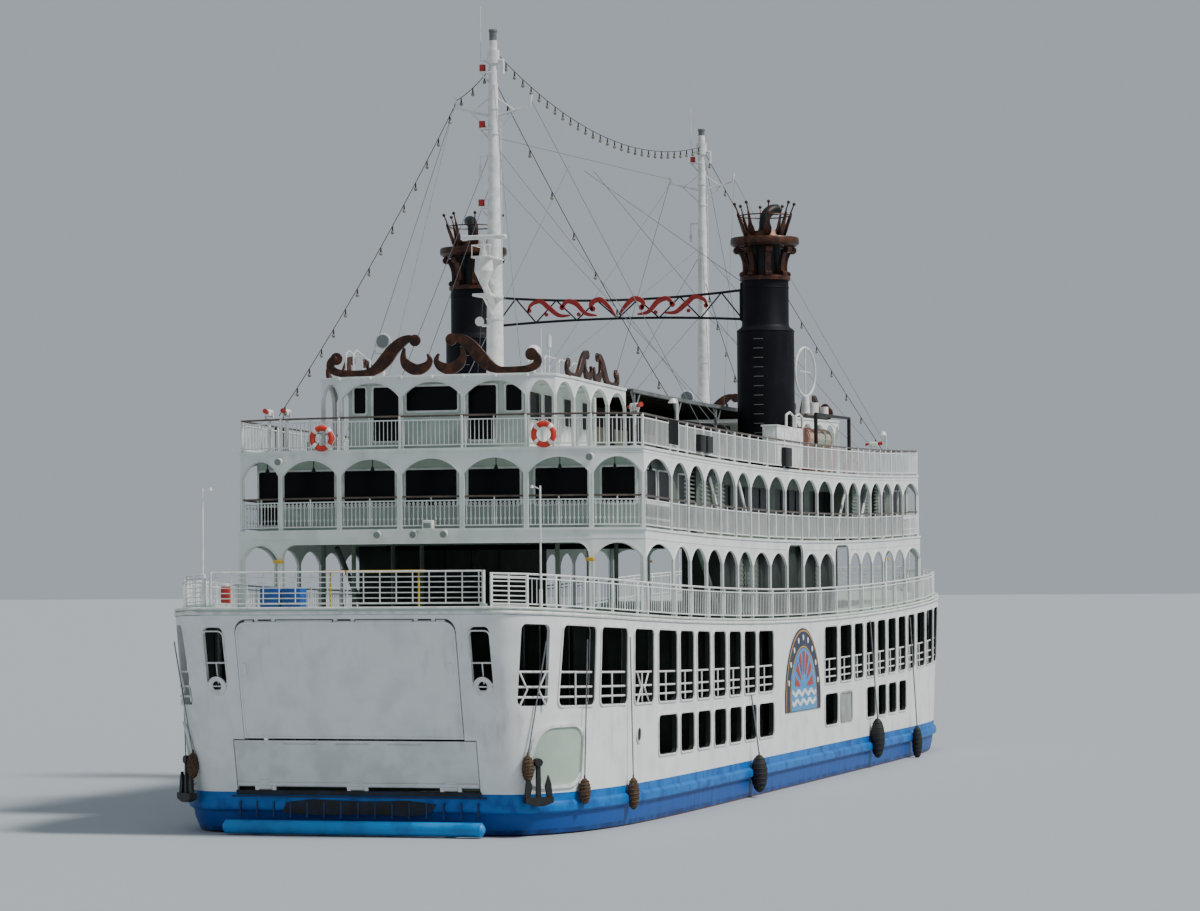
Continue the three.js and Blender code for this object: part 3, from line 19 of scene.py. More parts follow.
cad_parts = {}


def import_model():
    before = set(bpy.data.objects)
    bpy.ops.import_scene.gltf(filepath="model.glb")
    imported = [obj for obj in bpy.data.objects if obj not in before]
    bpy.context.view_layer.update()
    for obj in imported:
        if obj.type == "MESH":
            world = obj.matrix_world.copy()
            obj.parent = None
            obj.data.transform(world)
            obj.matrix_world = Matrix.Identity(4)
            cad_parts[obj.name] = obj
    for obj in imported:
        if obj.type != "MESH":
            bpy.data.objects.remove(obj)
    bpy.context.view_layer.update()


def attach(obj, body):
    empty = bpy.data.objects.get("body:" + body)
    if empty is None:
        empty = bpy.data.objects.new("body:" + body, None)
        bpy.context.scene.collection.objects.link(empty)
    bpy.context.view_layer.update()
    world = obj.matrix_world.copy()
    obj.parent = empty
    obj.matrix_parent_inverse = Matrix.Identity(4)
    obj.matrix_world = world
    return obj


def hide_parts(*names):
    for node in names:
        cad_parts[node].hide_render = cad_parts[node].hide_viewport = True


LOG = logging.getLogger("ferry")
SHIP_TO_MODEL = 0.5
SHIP_BODY = "ship"
ENDS = (("bow", 1.0), ("stern", -1.0))
SIDES = (("port", 1.0), ("starboard", -1.0))

Obj = bpy.types.Object
Tree = bpy.types.NodeTree
Node = bpy.types.Node
Socket = bpy.types.NodeSocket
Point2 = tuple[float, float]
Point3 = tuple[float, float, float]
Point4 = tuple[float, float, float, float]


class Slot(Enum):
    """The record's material slots."""

    WHITE = "white_paint"
    BLUE = "blue_paint"
    GREEN = "green_deck_paint"
    NAVY = "navy_paint"
    GREY = "grey_steel_paint"
    BRONZE = "bronze_paint"
    BRASS = "propeller_brass"


# Ship form, shared by every sub-assembly.

STATIONS = (0.0, 4.7, 8.97, 12.81, 16.65, 20.6, 24.4, 28.4)
SHEER_REACH = 25.0
SHEER = ((1.2, 0.0), (5.77, 0.58), (8.43, 0.47), (10.88, 0.43))
MAIN_DECK, UPPER_DECK, PROMENADE_DECK, TOP_DECK = 1.2, 5.77, 8.43, 10.88
DECK_THICKNESS = 0.2
SEAT = 0.002
FACE_X, FACE_RAKE = 26.6, 0.2626
HALF_BEAM, FACE_HALF_WIDTH, PLAN_POWER = 6.7, 4.3, 8.0
WALL = 0.15
DOOR_HALF, RAMP_HALF = 3.3, 3.65


def sheer_shape(x: float) -> float:
    """The share of the sheer at x, straight between the stations."""
    reach = min(abs(x), STATIONS[-1] - 1e-6)
    k = max(i for i, station in enumerate(STATIONS) if station <= reach)
    low, high = ((STATIONS[i] / SHEER_REACH) ** 2 for i in (k, k + 1))
    return low + (high - low) * (reach - STATIONS[k]) / (STATIONS[k + 1] - STATIONS[k])


def rise(x: float, z: float) -> float:
    """How far the sheer lifts a level point at x and z.

    Args:
        x: its place along the ship.
        z: its level height.

    Returns:
        The lift, in ship metres.
    """
    if z <= SHEER[0][0]:
        return 0.0
    for (z0, s0), (z1, s1) in zip(SHEER, SHEER[1:]):
        if z <= z1:
            return sheer_shape(x) * (s0 + (s1 - s0) * (z - z0) / (z1 - z0))
    return sheer_shape(x) * SHEER[-1][1]


def aloft(x: float, y: float, z: float) -> Point3:
    """A level point lifted by the sheer."""
    return (x, y, z + rise(x, z))


def face_x(z: float) -> float:
    """X of the raked end face at height z."""
    return FACE_X + FACE_RAKE * (z - MAIN_DECK)


def hull_y(x: float, z: float, inset: float = 0.0) -> float:
    """Half breadth of the white plating at x and z.

    Args:
        x: place along the ship.
        z: height.
        inset: how far in from the outer face.

    Returns:
        Half the breadth there.
    """
    share = min(1.0, abs(x) / (face_x(z) - inset))
    return FACE_HALF_WIDTH - inset + (HALF_BEAM - FACE_HALF_WIDTH) * math.sqrt(1.0 - share ** PLAN_POWER)


class Run:
    """A plan line that straight panels are bent along: s is the distance along it, n the distance in."""

    def __init__(self, points: Sequence[Point2]) -> None:
        """Measures the line and its mitres.

        Args:
            points: the corners of the line, counterclockwise seen from above.
        """
        self.points = [Vector(point) for point in points]
        self.marks = [0.0]
        normals = []
        for before, after in zip(self.points, self.points[1:]):
            self.marks.append(self.marks[-1] + (after - before).length)
            way = (after - before).normalized()
            normals.append(Vector((-way.y, way.x)))
        self.mitres = []
        for k in range(len(points)):
            first, second = normals[max(0, k - 1)], normals[min(len(normals) - 1, k)]
            middle = (first + second).normalized()
            self.mitres.append(middle / middle.dot(second))

    def place(self, s: float, n: float) -> Vector:
        """The plan point at distance s along the line and n in from it."""
        k = 0
        while k < len(self.marks) - 2 and s > self.marks[k + 1]:
            k += 1
        share = (s - self.marks[k]) / (self.marks[k + 1] - self.marks[k])
        start = self.points[k] + self.mitres[k] * n
        return start.lerp(self.points[k + 1] + self.mitres[k + 1] * n, share)


SIDE_Y, WIDE_BAY, NARROW_BAY, FRONT_BAY, FRONT_X, CORNER_X = 6.52, 2.35, 1.92, 1.99, 20.39, 19.66
FRONT_BACK = (0.1, 0.28)


def column_line() -> list[Point2]:
    """Columns from the middle of the bow round the port side to the middle of the stern."""
    bow = [(FRONT_X - back, y) for back, y in (
        (0.0, 0.0), (0.0, FRONT_BAY / 2), (FRONT_BACK[0], FRONT_BAY * 1.5), (FRONT_BACK[1], FRONT_BAY * 2.5))]
    side = [(3 * WIDE_BAY + k * NARROW_BAY, SIDE_Y) for k in range(5, 0, -1)]
    side += [(k * WIDE_BAY, SIDE_Y) for k in range(3, -1, -1)]
    half = [*bow, (CORNER_X, SIDE_Y), *side]
    return half + [(-x, y) for x, y in reversed(half[:-1])]


COLUMN_LINE = column_line()
CORNER_MARK = 4


def across(port: Sequence[Point2]) -> Run:
    """A run across the bow, from the starboard twins of the port side's points to these."""
    return Run([(x, -y) for x, y in reversed(port)] + list(port))


# Modelling.


def deselect() -> None:
    """Leaves object mode with nothing selected."""
    if bpy.context.object and bpy.context.object.mode != "OBJECT":
        bpy.ops.object.mode_set(mode="OBJECT")
    bpy.ops.object.select_all(action="DESELECT")


def activate(*objects: Obj) -> Obj:
    """Selects only these objects, the first one active.

    Returns:
        The active object.
    """
    deselect()
    for obj in objects:
        obj.select_set(True)
    bpy.context.view_layer.objects.active = objects[0]
    return objects[0]


@contextmanager
def editing(obj: Obj) -> Iterator[None]:
    """Edit mode on one piece, with all of it selected, and back again."""
    activate(obj)
    bpy.ops.object.mode_set(mode="EDIT")
    bpy.ops.mesh.select_all(action="SELECT")
    yield
    bpy.ops.object.mode_set(mode="OBJECT")


def merged(obj: Obj) -> Obj:
    """Merges a mesh's doubled corners and turns its faces out."""
    with editing(obj):
        bpy.ops.mesh.remove_doubles(threshold=1e-5)
        bpy.ops.mesh.normals_make_consistent(inside=False)
    return obj


def modified(obj: Obj, kind: str, **settings: object) -> Obj:
    """Adds a modifier with its settings and applies it."""
    activate(obj)
    modifier = obj.modifiers.new(kind.lower(), kind)
    for name, value in settings.items():
        setattr(modifier, name, value)
    bpy.ops.object.modifier_apply(modifier=modifier.name)
    return obj


def bevelled(obj: Obj, width: float, segments: int = 2, angle: float = 0.6) -> Obj:
    """Rounds the edges of an object that are sharper than an angle."""
    return modified(obj, "BEVEL", width=width, segments=segments, limit_method="ANGLE", angle_limit=angle)


def box(low: Sequence[float], high: Sequence[float], bevel: float = 0.0) -> Obj:
    """A box from its lowest to its highest corner.

    Args:
        low: lowest corner.
        high: highest corner.
        bevel: width of its rounded edges, 0 for sharp ones.

    Returns:
        The new object.
    """
    deselect()
    bpy.ops.mesh.primitive_cube_add(size=1, location=[(a + b) / 2 for a, b in zip(low, high)])
    obj = bpy.context.object
    obj.scale = [b - a for a, b in zip(low, high)]
    obj.data.transform(obj.matrix_basis)
    obj.matrix_basis = Matrix.Identity(4)
    return bevelled(obj, bevel) if bevel else obj


def block(centre: Sequence[float], half: Sequence[float], bevel: float = 0.0) -> Obj:
    """A box about its centre, from its half sizes."""
    return box([c - h for c, h in zip(centre, half)], [c + h for c, h in zip(centre, half)], bevel)


def seated(middle: Vector, axis: Vector | Sequence[float]) -> Obj:
    """Turns the new primitive's own Z to an axis and moves it to its middle."""
    obj = bpy.context.object
    turn = Vector(axis).to_track_quat("Z", "Y").to_matrix().to_4x4()
    obj.data.transform(Matrix.Translation(middle) @ turn)
    return obj


def rod(start: Sequence[float], end: Sequence[float], radius: float, sides: int = 10,
        end_radius: float | None = None) -> Obj:
    """A round bar or cone between two points.

    Args:
        start: the middle of its first end.
        end: the middle of its other end.
        radius: its radius, at the first end if it is a cone.
        sides: how many flat sides it has.
        end_radius: a cone's radius at the other end.

    Returns:
        The bar.
    """
    deselect()
    first, last = Vector(start), Vector(end)
    bpy.ops.mesh.primitive_cone_add(vertices=sides, radius1=radius, depth=(last - first).length,
                                    radius2=radius if end_radius is None else end_radius)
    return seated((first + last) / 2, last - first)


def post(x: float, y: float, foot: float, head: float, radius: float, sides: int = 10,
         head_radius: float | None = None) -> Obj:
    """An upright round bar or cone."""
    return rod((x, y, foot), (x, y, head), radius, sides, head_radius)


def ball(centre: Sequence[float], radius: float, segments: int = 12) -> Obj:
    """A sphere at a centre."""
    deselect()
    bpy.ops.mesh.primitive_uv_sphere_add(segments=segments, ring_count=segments // 2, radius=radius)
    obj = bpy.context.object
    obj.data.transform(Matrix.Translation(Vector(centre)))
    return obj


def ring(centre: Sequence[float], axis: Sequence[float], major: float, minor: float,
         steps: int = 28, sides: int = 8) -> Obj:
    """A torus about an axis through its centre.

    Args:
        centre: its middle.
        axis: the way it faces.
        major: radius of its middle line.
        minor: radius of its section.
        steps: divisions round the ring.
        sides: divisions round the section.

    Returns:
        The ring.
    """
    deselect()
    bpy.ops.mesh.primitive_torus_add(major_radius=major, minor_radius=minor,
                                     major_segments=steps, minor_segments=sides)
    return seated(Vector(centre), axis)


def outline(points: Sequence[Point2], filled: bool = True) -> Obj:
    """A flat shape in X and Y, from a circle whose corners are moved."""
    deselect()
    bpy.ops.mesh.primitive_circle_add(vertices=len(points), fill_type="NGON" if filled else "NOTHING")
    obj = bpy.context.object
    for vertex, (x, y) in zip(obj.data.vertices, points):
        vertex.co = (x, y, 0.0)
    obj.data.update()
    return obj


def extruded(obj: Obj, depth: float) -> Obj:
    """Thickens a flat shape along +Z in edit mode and turns its faces out."""
    with editing(obj):
        bpy.ops.mesh.extrude_region_move(TRANSFORM_OT_translate={"value": (0, 0, depth)})
    return merged(obj)


class Plane(Enum):
    """Where a flat plate's own X, Y and depth point in the ship."""

    SIDE = ((1, 0, 0), (0, 0, 1), (0, -1, 0))
    END = ((0, 1, 0), (0, 0, 1), (1, 0, 0))
    DECK = ((1, 0, 0), (0, 1, 0), (0, 0, 1))


def turned_to(obj: Obj, plane: Plane, place: Sequence[float] = (0, 0, 0)) -> Obj:
    """Stands a flat piece in a plane of the ship, at a place."""
    basis = Matrix(plane.value).transposed().to_4x4()
    obj.data.transform(Matrix.Translation(Vector(place)) @ basis)
    return obj


def plate(points: Sequence[Point2], depth: float, plane: Plane, place: Sequence[float] = (0, 0, 0)) -> Obj:
    """A flat plate of a shape, with depth, standing in a plane at a place.

    Args:
        points: its outline.
        depth: its thickness.
        plane: the plane that it stands in.
        place: where the outline's origin goes.

    Returns:
        The plate.
    """
    return turned_to(extruded(outline(points), depth), plane, place)


def lathe(profile: Sequence[Point2], steps: int = 32) -> Obj:
    """A form turned about Z from a profile of radius and height that starts and ends on the axis."""
    obj = turned_to(outline(profile, filled=False), Plane.SIDE)
    with editing(obj):
        bpy.ops.mesh.spin(steps=steps, angle=math.tau, center=(0, 0, 0), axis=(0, 0, 1))
        bpy.ops.mesh.select_all(action="SELECT")
        bpy.ops.mesh.remove_doubles(threshold=1e-5)
        bpy.ops.mesh.delete_loose(use_verts=True, use_edges=True, use_faces=False)
    return merged(obj)


def tube(points: Iterable[Sequence[float]], radius: float, sides: int = 8, smooth: bool = False,
         closed: bool = False) -> Obj:
    """A round tube along points, sharp at its corners or smooth through them.

    Args:
        points: the line that it follows.
        radius: its radius.
        sides: how many flat sides it has.
        smooth: whether it curves through the points.
        closed: whether its end meets its start.

    Returns:
        The tube.
    """
    deselect()
    curve = bpy.data.curves.new("tube", "CURVE")
    curve.dimensions = "3D"
    path = [Vector(point) for point in points]
    spline = curve.splines.new("BEZIER" if smooth else "POLY")
    places = spline.bezier_points if smooth else spline.points
    places.add(len(path) - 1)
    for spot, point in zip(places, path):
        spot.co = point if smooth else (*point, 1.0)
        if smooth:
            spot.handle_left_type = spot.handle_right_type = "AUTO"
    spline.use_cyclic_u = closed
    curve.resolution_u = 5
    curve.bevel_depth = radius
    curve.bevel_resolution = max(0, sides // 2 - 2)
    curve.use_fill_caps = not closed
    obj = bpy.data.objects.new("tube", curve)
    bpy.context.scene.collection.objects.link(obj)
    activate(obj)
    bpy.ops.object.convert(target="MESH")
    return merged(bpy.context.object)


def joined(parts: Sequence[Obj]) -> Obj:
    """Joins objects into the first of them."""
    if len(parts) > 1:
        activate(*parts)
        bpy.ops.object.join()
    return parts[0]


def shift(x: float = 0.0, y: float = 0.0, z: float = 0.0) -> Matrix:
    """A move by a distance."""
    return Matrix.Translation((x, y, z))


BOTH_SIDES = (Matrix.Identity(4), Matrix.Scale(-1, 4, (0, 1, 0)))
BOTH_ENDS = (Matrix.Identity(4), Matrix.Scale(-1, 4, (1, 0, 0)))


def copies(obj: Obj, moves: Iterable[Matrix] = BOTH_SIDES) -> Obj:
    """Copies a piece once for each move, each with its own mesh, and joins them; the model is used up."""
    gathered = bmesh.new()
    for move in moves:
        mesh = obj.data.copy()
        mesh.transform(move)
        if move.determinant() < 0:
            mesh.flip_normals()
        gathered.from_mesh(mesh)
        bpy.data.meshes.remove(mesh)
    gathered.to_mesh(obj.data)
    gathered.free()
    return obj


def at_end(obj: Obj, sign: float) -> Obj:
    """Leaves a bow piece at the bow, or mirrors it to the stern."""
    return copies(obj, (Matrix.Scale(sign, 4, (1, 0, 0)),))


def reshaped(obj: Obj, move: Callable[[Vector], Sequence[float]]) -> Obj:
    """Moves every corner of a piece by a rule."""
    for vertex in obj.data.vertices:
        vertex.co = move(vertex.co)
    obj.data.update()
    return obj


def lifted(obj: Obj) -> Obj:
    """Bends a level piece to the sheer."""
    return reshaped(obj, lambda p: aloft(*p))


def raised(obj: Obj, x: float, z: float) -> Obj:
    """Lifts a piece whole, by the sheer at one place."""
    obj.data.transform(shift(z=rise(x, z)))
    return obj


def bent_along(obj: Obj, run: Run) -> Obj:
    """Bends a level piece drawn in s, n and z along a run."""
    return reshaped(obj, lambda p: (*run.place(p.x, p.y), p.z))


def along(obj: Obj, run: Run) -> Obj:
    """Bends a piece drawn in s, n and z along a run, and to the sheer."""
    return lifted(bent_along(obj, run))


def divided(obj: Obj, cuts: Iterable[float]) -> Obj:
    """Cuts a piece's faces where they cross planes along X, and keeps both sides."""
    values = [vertex.co.x for vertex in obj.data.vertices]
    low, high = min(values), max(values)
    with editing(obj):
        for value in cuts:
            if low + 1e-4 < value < high - 1e-4:
                bpy.ops.mesh.select_all(action="SELECT")
                bpy.ops.mesh.bisect(plane_co=(value, 0, 0), plane_no=(1, 0, 0))
    return obj


SHEER_CUTS = [-x for x in STATIONS[:0:-1]] + list(STATIONS)


def sheered(obj: Obj) -> Obj:
    """Cuts a level piece at the stations and bends it to the sheer."""
    return lifted(divided(obj, SHEER_CUTS))


def finished(obj: Obj, name: str, finish: "Finish", body: str = SHIP_BODY, replaces: Sequence[str] = (),
             smooth: float = 0.6) -> Obj:
    """Brings a piece to model metres, smooths, paints and seats it on its body.

    Args:
        obj: the piece, in ship metres.
        name: its name.
        finish: what it is painted with.
        body: the body that it moves with.
        replaces: the solids that it stands for.
        smooth: the sharpest angle that is shaded smooth.

    Returns:
        The finished piece.
    """
    obj.data.transform(Matrix.Scale(SHIP_TO_MODEL, 4))
    obj.name = obj.data.name = name
    activate(obj)
    bpy.ops.object.shade_smooth_by_angle(angle=smooth)
    obj.data.materials.clear()
    obj.data.materials.append(finish.material())
    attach(obj, body)
    if replaces:
        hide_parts(*replaces)
    LOG.info("%s: %d faces", name, len(obj.data.polygons))
    return obj


# Finishes.


def linear(hex_colour: str) -> Point4:
    """Turns an sRGB hex colour to linear red, green, blue and alpha."""
    values = (int(hex_colour[k:k + 2], 16) / 255 for k in (1, 3, 5))
    return (*(v / 12.92 if v <= 0.04045 else ((v + 0.055) / 1.055) ** 2.4 for v in values), 1.0)


def feed(tree: Tree, node: Node, inputs: dict[str | int, object]) -> None:
    """Links sockets to a node's inputs, and sets the others to plain values."""
    for key, value in inputs.items():
        if isinstance(value, Socket):
            tree.links.new(value, node.inputs[key])
        else:
            node.inputs[key].default_value = value


def add_node(tree: Tree, kind: str, inputs: dict[str | int, object] | None = None, output: str | int = 0,
             **settings: object) -> Socket:
    """Adds a shader node with its settings and links.

    Args:
        tree: the material's node tree.
        kind: the node's type, without ShaderNode.
        inputs: values, or sockets to link from, by input.
        output: the output that is linked on.
        settings: the node's own settings.

    Returns:
        The output to link on from.
    """
    node = tree.nodes.new("ShaderNode" + kind)
    for name, value in settings.items():
        setattr(node, name, value)
    feed(tree, node, inputs or {})
    return node.outputs[output]


def patches(tree: Tree, place: Socket, size_mm: float, detail: float, stretch: Point3 = (1, 1, 1)) -> Socket:
    """A mottled pattern whose patches are about size_mm of the model across, stretched along the axes."""
    mapped = add_node(tree, "Mapping", {"Vector": place, "Scale": stretch})
    return add_node(tree, "TexNoise", {"Vector": mapped, "Scale": 1000 / size_mm, "Detail": detail})


def coated(tree: Tree, under: object, over: object, amount: float, *masks: tuple[Socket, float, float]) -> Socket:
    """Lays one colour over another.

    Args:
        tree: the material's node tree.
        under: the colour under it.
        over: the colour on top.
        amount: how thick the top colour is, 1 hiding the other.
        masks: patterns, each with where the top colour starts and where it is whole.

    Returns:
        The coated colour.
    """
    share: object = amount
    for pattern, start, whole in masks:
        level = add_node(tree, "MapRange", {0: pattern, 1: start, 2: whole}, interpolation_type="SMOOTHSTEP")
        share = add_node(tree, "Math", {0: level, 1: share}, operation="MULTIPLY")
    return add_node(tree, "Mix", {0: share, 6: under, 7: over}, 2, data_type="RGBA")


@dataclass(frozen=True)
class Finish:
    """A plain finish: its slot, colour and gloss, with slight mottling and a fine bump."""

    name: str
    slot: Slot
    colour: str
    worn: str
    roughness: float = 0.5
    metallic: float = 0.0
    mottle_mm: float = 400.0
    bump_mm: float = 1.0
    gloss: float = 0.5

    def material(self) -> bpy.types.Material:
        """The material, made once and shared."""
        found = bpy.data.materials.get(self.name)
        if found:
            return found
        material = bpy.data.materials.new(self.name)
        material.use_nodes = True
        tree = material.node_tree
        inputs = {"Metallic": self.metallic, "Specular IOR Level": self.gloss}
        place = add_node(tree, "TexCoord", output="Object")
        feed(tree, tree.nodes["Principled BSDF"], inputs | self.dress(tree, place))
        return material

    def dress(self, tree: Tree, place: Socket) -> dict[str, object]:
        """The colour, gloss and bump that go to the shader."""
        mottle = patches(tree, place, self.mottle_mm, 4.0)
        return {"Base Color": coated(tree, linear(self.colour), linear(self.worn), 1.0, (mottle, 0.38, 0.66)),
                "Roughness": self.sheen(tree, mottle, 0.07, 0.1),
                "Normal": self.relief(tree, patches(tree, place, self.mottle_mm / 6, 3.0))}

    def sheen(self, tree: Tree, pattern: Socket, less: float, more: float) -> Socket:
        """Roughness that follows a pattern about the finish's own."""
        return add_node(tree, "MapRange", {0: pattern, 3: self.roughness - less, 4: self.roughness + more})

    def relief(self, tree: Tree, height: Socket) -> Socket:
        """The finish's bump, from a pattern."""
        return add_node(tree, "Bump", {"Height": height, "Distance": self.bump_mm / 1000, "Strength": 0.6})


@dataclass(frozen=True)
class ShipPaint(Finish):
    """Alkyd marine paint rolled on steel plate: dished between frames, streaked with grime and rust."""

    grime: float = 0.25
    rust: float = 0.3
    grime_colour: str = "#9A9A92"
    rust_colour: str = "#7A4A2C"

    def dress(self, tree: Tree, place: Socket) -> dict[str, object]:
        """Mottling, streaks that run down, rust in the worst of them, and dished plates."""
        mottle = patches(tree, place, self.mottle_mm, 4.0)
        streak = patches(tree, place, 120, 5.0, (1, 1, 0.09))
        fine = patches(tree, place, 55, 6.0, (1, 1, 0.06))
        patch = patches(tree, place, 1800, 2.0)
        colour = coated(tree, *self.sound_and_faded(tree, place), 1.0, (mottle, 0.4, 0.7))
        colour = coated(tree, colour, linear(self.grime_colour), self.grime, (streak, 0.52, 0.72), (patch, 0.42, 0.62))
        colour = coated(tree, colour, linear(self.rust_colour), self.rust, (fine, 0.64, 0.78), (patch, 0.52, 0.7))
        return {"Base Color": colour, "Roughness": self.sheen(tree, streak, 0.1, 0.15),
                "Normal": self.relief(tree, patches(tree, place, 700, 2.0))}

    def sound_and_faded(self, tree: Tree, place: Socket) -> tuple[object, object]:
        """The colour under the dirt, and the one where the weather has dulled it."""
        return linear(self.colour), linear(self.worn)


@dataclass(frozen=True)
class BandedPaint(ShipPaint):
    """Marine paint in level bands: red-brown under water, boot-topping, a darker and a lighter blue above it."""

    bands: tuple[tuple[float, str], ...] = ()
    faded_bottom: str = "#4C2C27"

    def sound_and_faded(self, tree: Tree, place: Socket) -> tuple[object, object]:
        """The bands, each from its lowest height up, and the faded colours under and over the first of them."""
        sound: object = linear(self.colour)
        for start, shade in self.bands:
            sound = coated(tree, sound, linear(shade), 1.0, self.over(tree, place, start))
        above = self.over(tree, place, self.bands[0][0])
        faded = coated(tree, linear(self.faded_bottom), linear(self.worn), 1.0, above)
        return sound, faded

    @staticmethod
    def over(tree: Tree, place: Socket, start: float) -> tuple[Socket, float, float]:
        """A mask of all that is above a height, along a slightly wavering line."""
        height = add_node(tree, "SeparateXYZ", {0: place}, 2)
        waver = patches(tree, place, 300, 3.0)
        level = add_node(tree, "Math", {0: waver, 1: 0.02, 2: height}, operation="MULTIPLY_ADD")
        return level, start * SHIP_TO_MODEL - 0.004, start * SHIP_TO_MODEL + 0.004


@dataclass(frozen=True)
class Pane(Finish):
    """Toughened glass: it shows a plain inside and a clear, faintly wavy reflection."""

    def dress(self, tree: Tree, place: Socket) -> dict[str, object]:
        """One colour and gloss, with the glass's faint waviness."""
        return {"Base Color": linear(self.colour), "Roughness": self.roughness,
                "Normal": self.relief(tree, patches(tree, place, 500, 1.0))}


# A warm-grey white that dulls in broad patches, with grey runs and a little rust.
WHITE = ShipPaint("white alkyd marine paint", Slot.WHITE, "#E6E8E8", "#D9DCDC", 0.42, bump_mm=2.0)
# The same paint, rubbed and rusted where cars and chains go over it.
RAMP_WHITE = ShipPaint("white paint worn by the ramp", Slot.WHITE, "#DCDFDF", "#C9CCCA", 0.45, grime=0.4, rust=0.8,
                       bump_mm=2.0)
# A smoother, brighter white, so that thin rails stand out from the plating.
TRIM_WHITE = Finish("white enamel on rails and trim", Slot.WHITE, "#E4E5E3", "#CDCFCB", 0.38, mottle_mm=150)
# Cleaner than the hull's white, because it is high above the water.
UPPER_WHITE = ShipPaint("white paint of the upper works", Slot.WHITE, "#E4E6E5", "#D6D9D8", 0.45,
                        grime=0.2, rust=0.15, bump_mm=1.2)
# Red-brown under water and three blues above it, with dark scuffs and rust.
HULL_BLUE = BandedPaint("blue marine paint with boot-topping", Slot.BLUE, "#5A322B", "#0B4C94", 0.45,
                        mottle_mm=250, grime=0.3, rust=0.55, grime_colour="#14263E", gloss=0.3,
                        bands=((0.06, "#06306A"), (0.2, "#084A98"), (0.66, "#0D6AB6")))
# A bright sky blue, blackened in streaks where it rubs the quay.
FENDER_BLUE = ShipPaint("light blue paint of the rubbing tube", Slot.BLUE, "#1C86CC", "#186FB0", 0.4,
                        grime=0.55, rust=0.3, grime_colour="#12283C", gloss=0.3)
# Blue that the ramp and the quay have rubbed nearly black, also laid as a strip of painted shadow under the ramp's
# flap.
SCUFF_AND_SHADOW = ShipPaint("blue paint rubbed black and painted shadow", Slot.BLUE, "#0A0E14", "#10233C", 0.6, mottle_mm=260, rust=0.5,
                  grime_colour="#05070A")
# A dull blue, painted shade of the end face.
SHADED_BLUE = Finish("blue paint darkened with painted shade", Slot.BLUE, "#123A6C", "#0E2A50", 0.45)
# A chalky grey-green, walked grey in patches.
DECK_GREEN = ShipPaint("pale green deck paint", Slot.GREEN, "#B4C6BA", "#A3B5A8", 0.6, grime=0.35, rust=0.12)
# A clean pale green that still reads as green beside the white columns.
WALL_GREEN = Finish("pale green cabin paint", Slot.GREEN, "#BECAC2", "#AEBBB2", 0.5)
# The same green darkened with painted shade, as it looks in the arches' shade.
SHADE_GREEN = Finish("green paint darkened with painted shade behind the arches", Slot.GREEN, "#616D63", "#545F56", 0.55)
# A mid green, ribbed by the slats' own shadows.
LOUVRE_GREEN = Finish("green enamel on louvres", Slot.GREEN, "#6F8074", "#5F6F64", 0.5, mottle_mm=200)
# Near black-green, painted shade that makes the car deck read as deep and unlit.
CAR_DECK_SHADE = Finish("green paint darkened with painted shade of the car deck", Slot.GREEN, "#2C342F", "#232A26", 0.6,
                      gloss=0.2)
# Pale green with heavy rust from the anchor.
POCKET_GREEN = ShipPaint("pale green paint in the anchor pockets", Slot.GREEN, "#A9BCAD", "#A4B4A6", 0.5, rust=0.6)
# Blue-black with a soft gloss and grey heat stains.
NAVY = ShipPaint("dark navy funnel paint", Slot.NAVY, "#0B0C12", "#12131B", 0.5, grime=0.25, rust=0.1,
                 grime_colour="#24262C", rust_colour="#3A281C", mottle_mm=300, gloss=0.14)
# Deep brown with a metal glint on its edges and darker hollows.
BRONZE = ShipPaint("bronze brown paint", Slot.BRONZE, "#331D16", "#5A331E", 0.38, metallic=0.45, grime=0.4,
                   rust=0.2, grime_colour="#2C1810", mottle_mm=120)
# A plain mid grey with faint weathering.
GREY = Finish("grey paint on steel", Slot.GREY, "#6C7072", "#595D5F", 0.5)
# Nearly black, with little shine.
DARK_STEEL = Finish("black painted steel", Slot.GREY, "#16181A", "#232424", 0.45, gloss=0.25)
# Near black, painted shade of the unlit inside, behind a soft, dim reflection.
GLASS = Pane("window glass over painted shade", Slot.NAVY, "#05070A", "#05070A", 0.3, bump_mm=0.4, gloss=0.12)
# A pale grey glass that catches the light.
LAMP_GLASS = Pane("reflector glass", Slot.GREY, "#7C8284", "#7C8284", 0.15, bump_mm=0.3)
# A glossy grey bead against the sky.
BULB = Finish("clear bulb glass", Slot.GREY, "#8C8C84", "#6E6E68", 0.15, mottle_mm=40)
# A full red with darker patches.
RED = Finish("red enamel", Slot.BRONZE, "#B02A24", "#98221C", 0.4, mottle_mm=100)
# Orange-red and waxy.
BUOY_RED = Finish("red polyethylene of the lifebuoys", Slot.BRONZE, "#CC3320", "#B82A1A", 0.42, mottle_mm=80)
# A dark line along the top of each rail.
HANDRAIL = Finish("dark brown enamel on handrails", Slot.BRONZE, "#4A3E38", "#5E514A", 0.4, mottle_mm=120)
# Matt grey, flatter than the paint round it.
WINDOW_BLANK = Finish("grey undercoat on the blanked window", Slot.GREY, "#9CA09E", "#84888A", 0.6)
# Rough, dark brown and uneven.
ROPE = Finish("tarred rope", Slot.BRONZE, "#5A4632", "#382C20", 0.9, mottle_mm=30, bump_mm=6.0)
# Matt black, slightly greyed.
RUBBER = Finish("black rubber", Slot.NAVY, "#0E0F10", "#18191A", 0.7, mottle_mm=60)
# Yellow metal with a polished shine.
BRASS = Finish("cast propeller bronze", Slot.BRASS, "#B08A44", "#8E6C30", 0.3, metallic=1.0, mottle_mm=90)
# Tarry black with a low shine.
ANCHOR_BLACK = Finish("black bitumen paint on the anchors", Slot.NAVY, "#0C0D0E", "#18191A", 0.5, mottle_mm=80)
# A warm yellow, dirtied in small patches.
SIGNAL_YELLOW = Finish("yellow paint", Slot.BRONZE, "#D2A62C", "#B88F24", 0.5, mottle_mm=90)
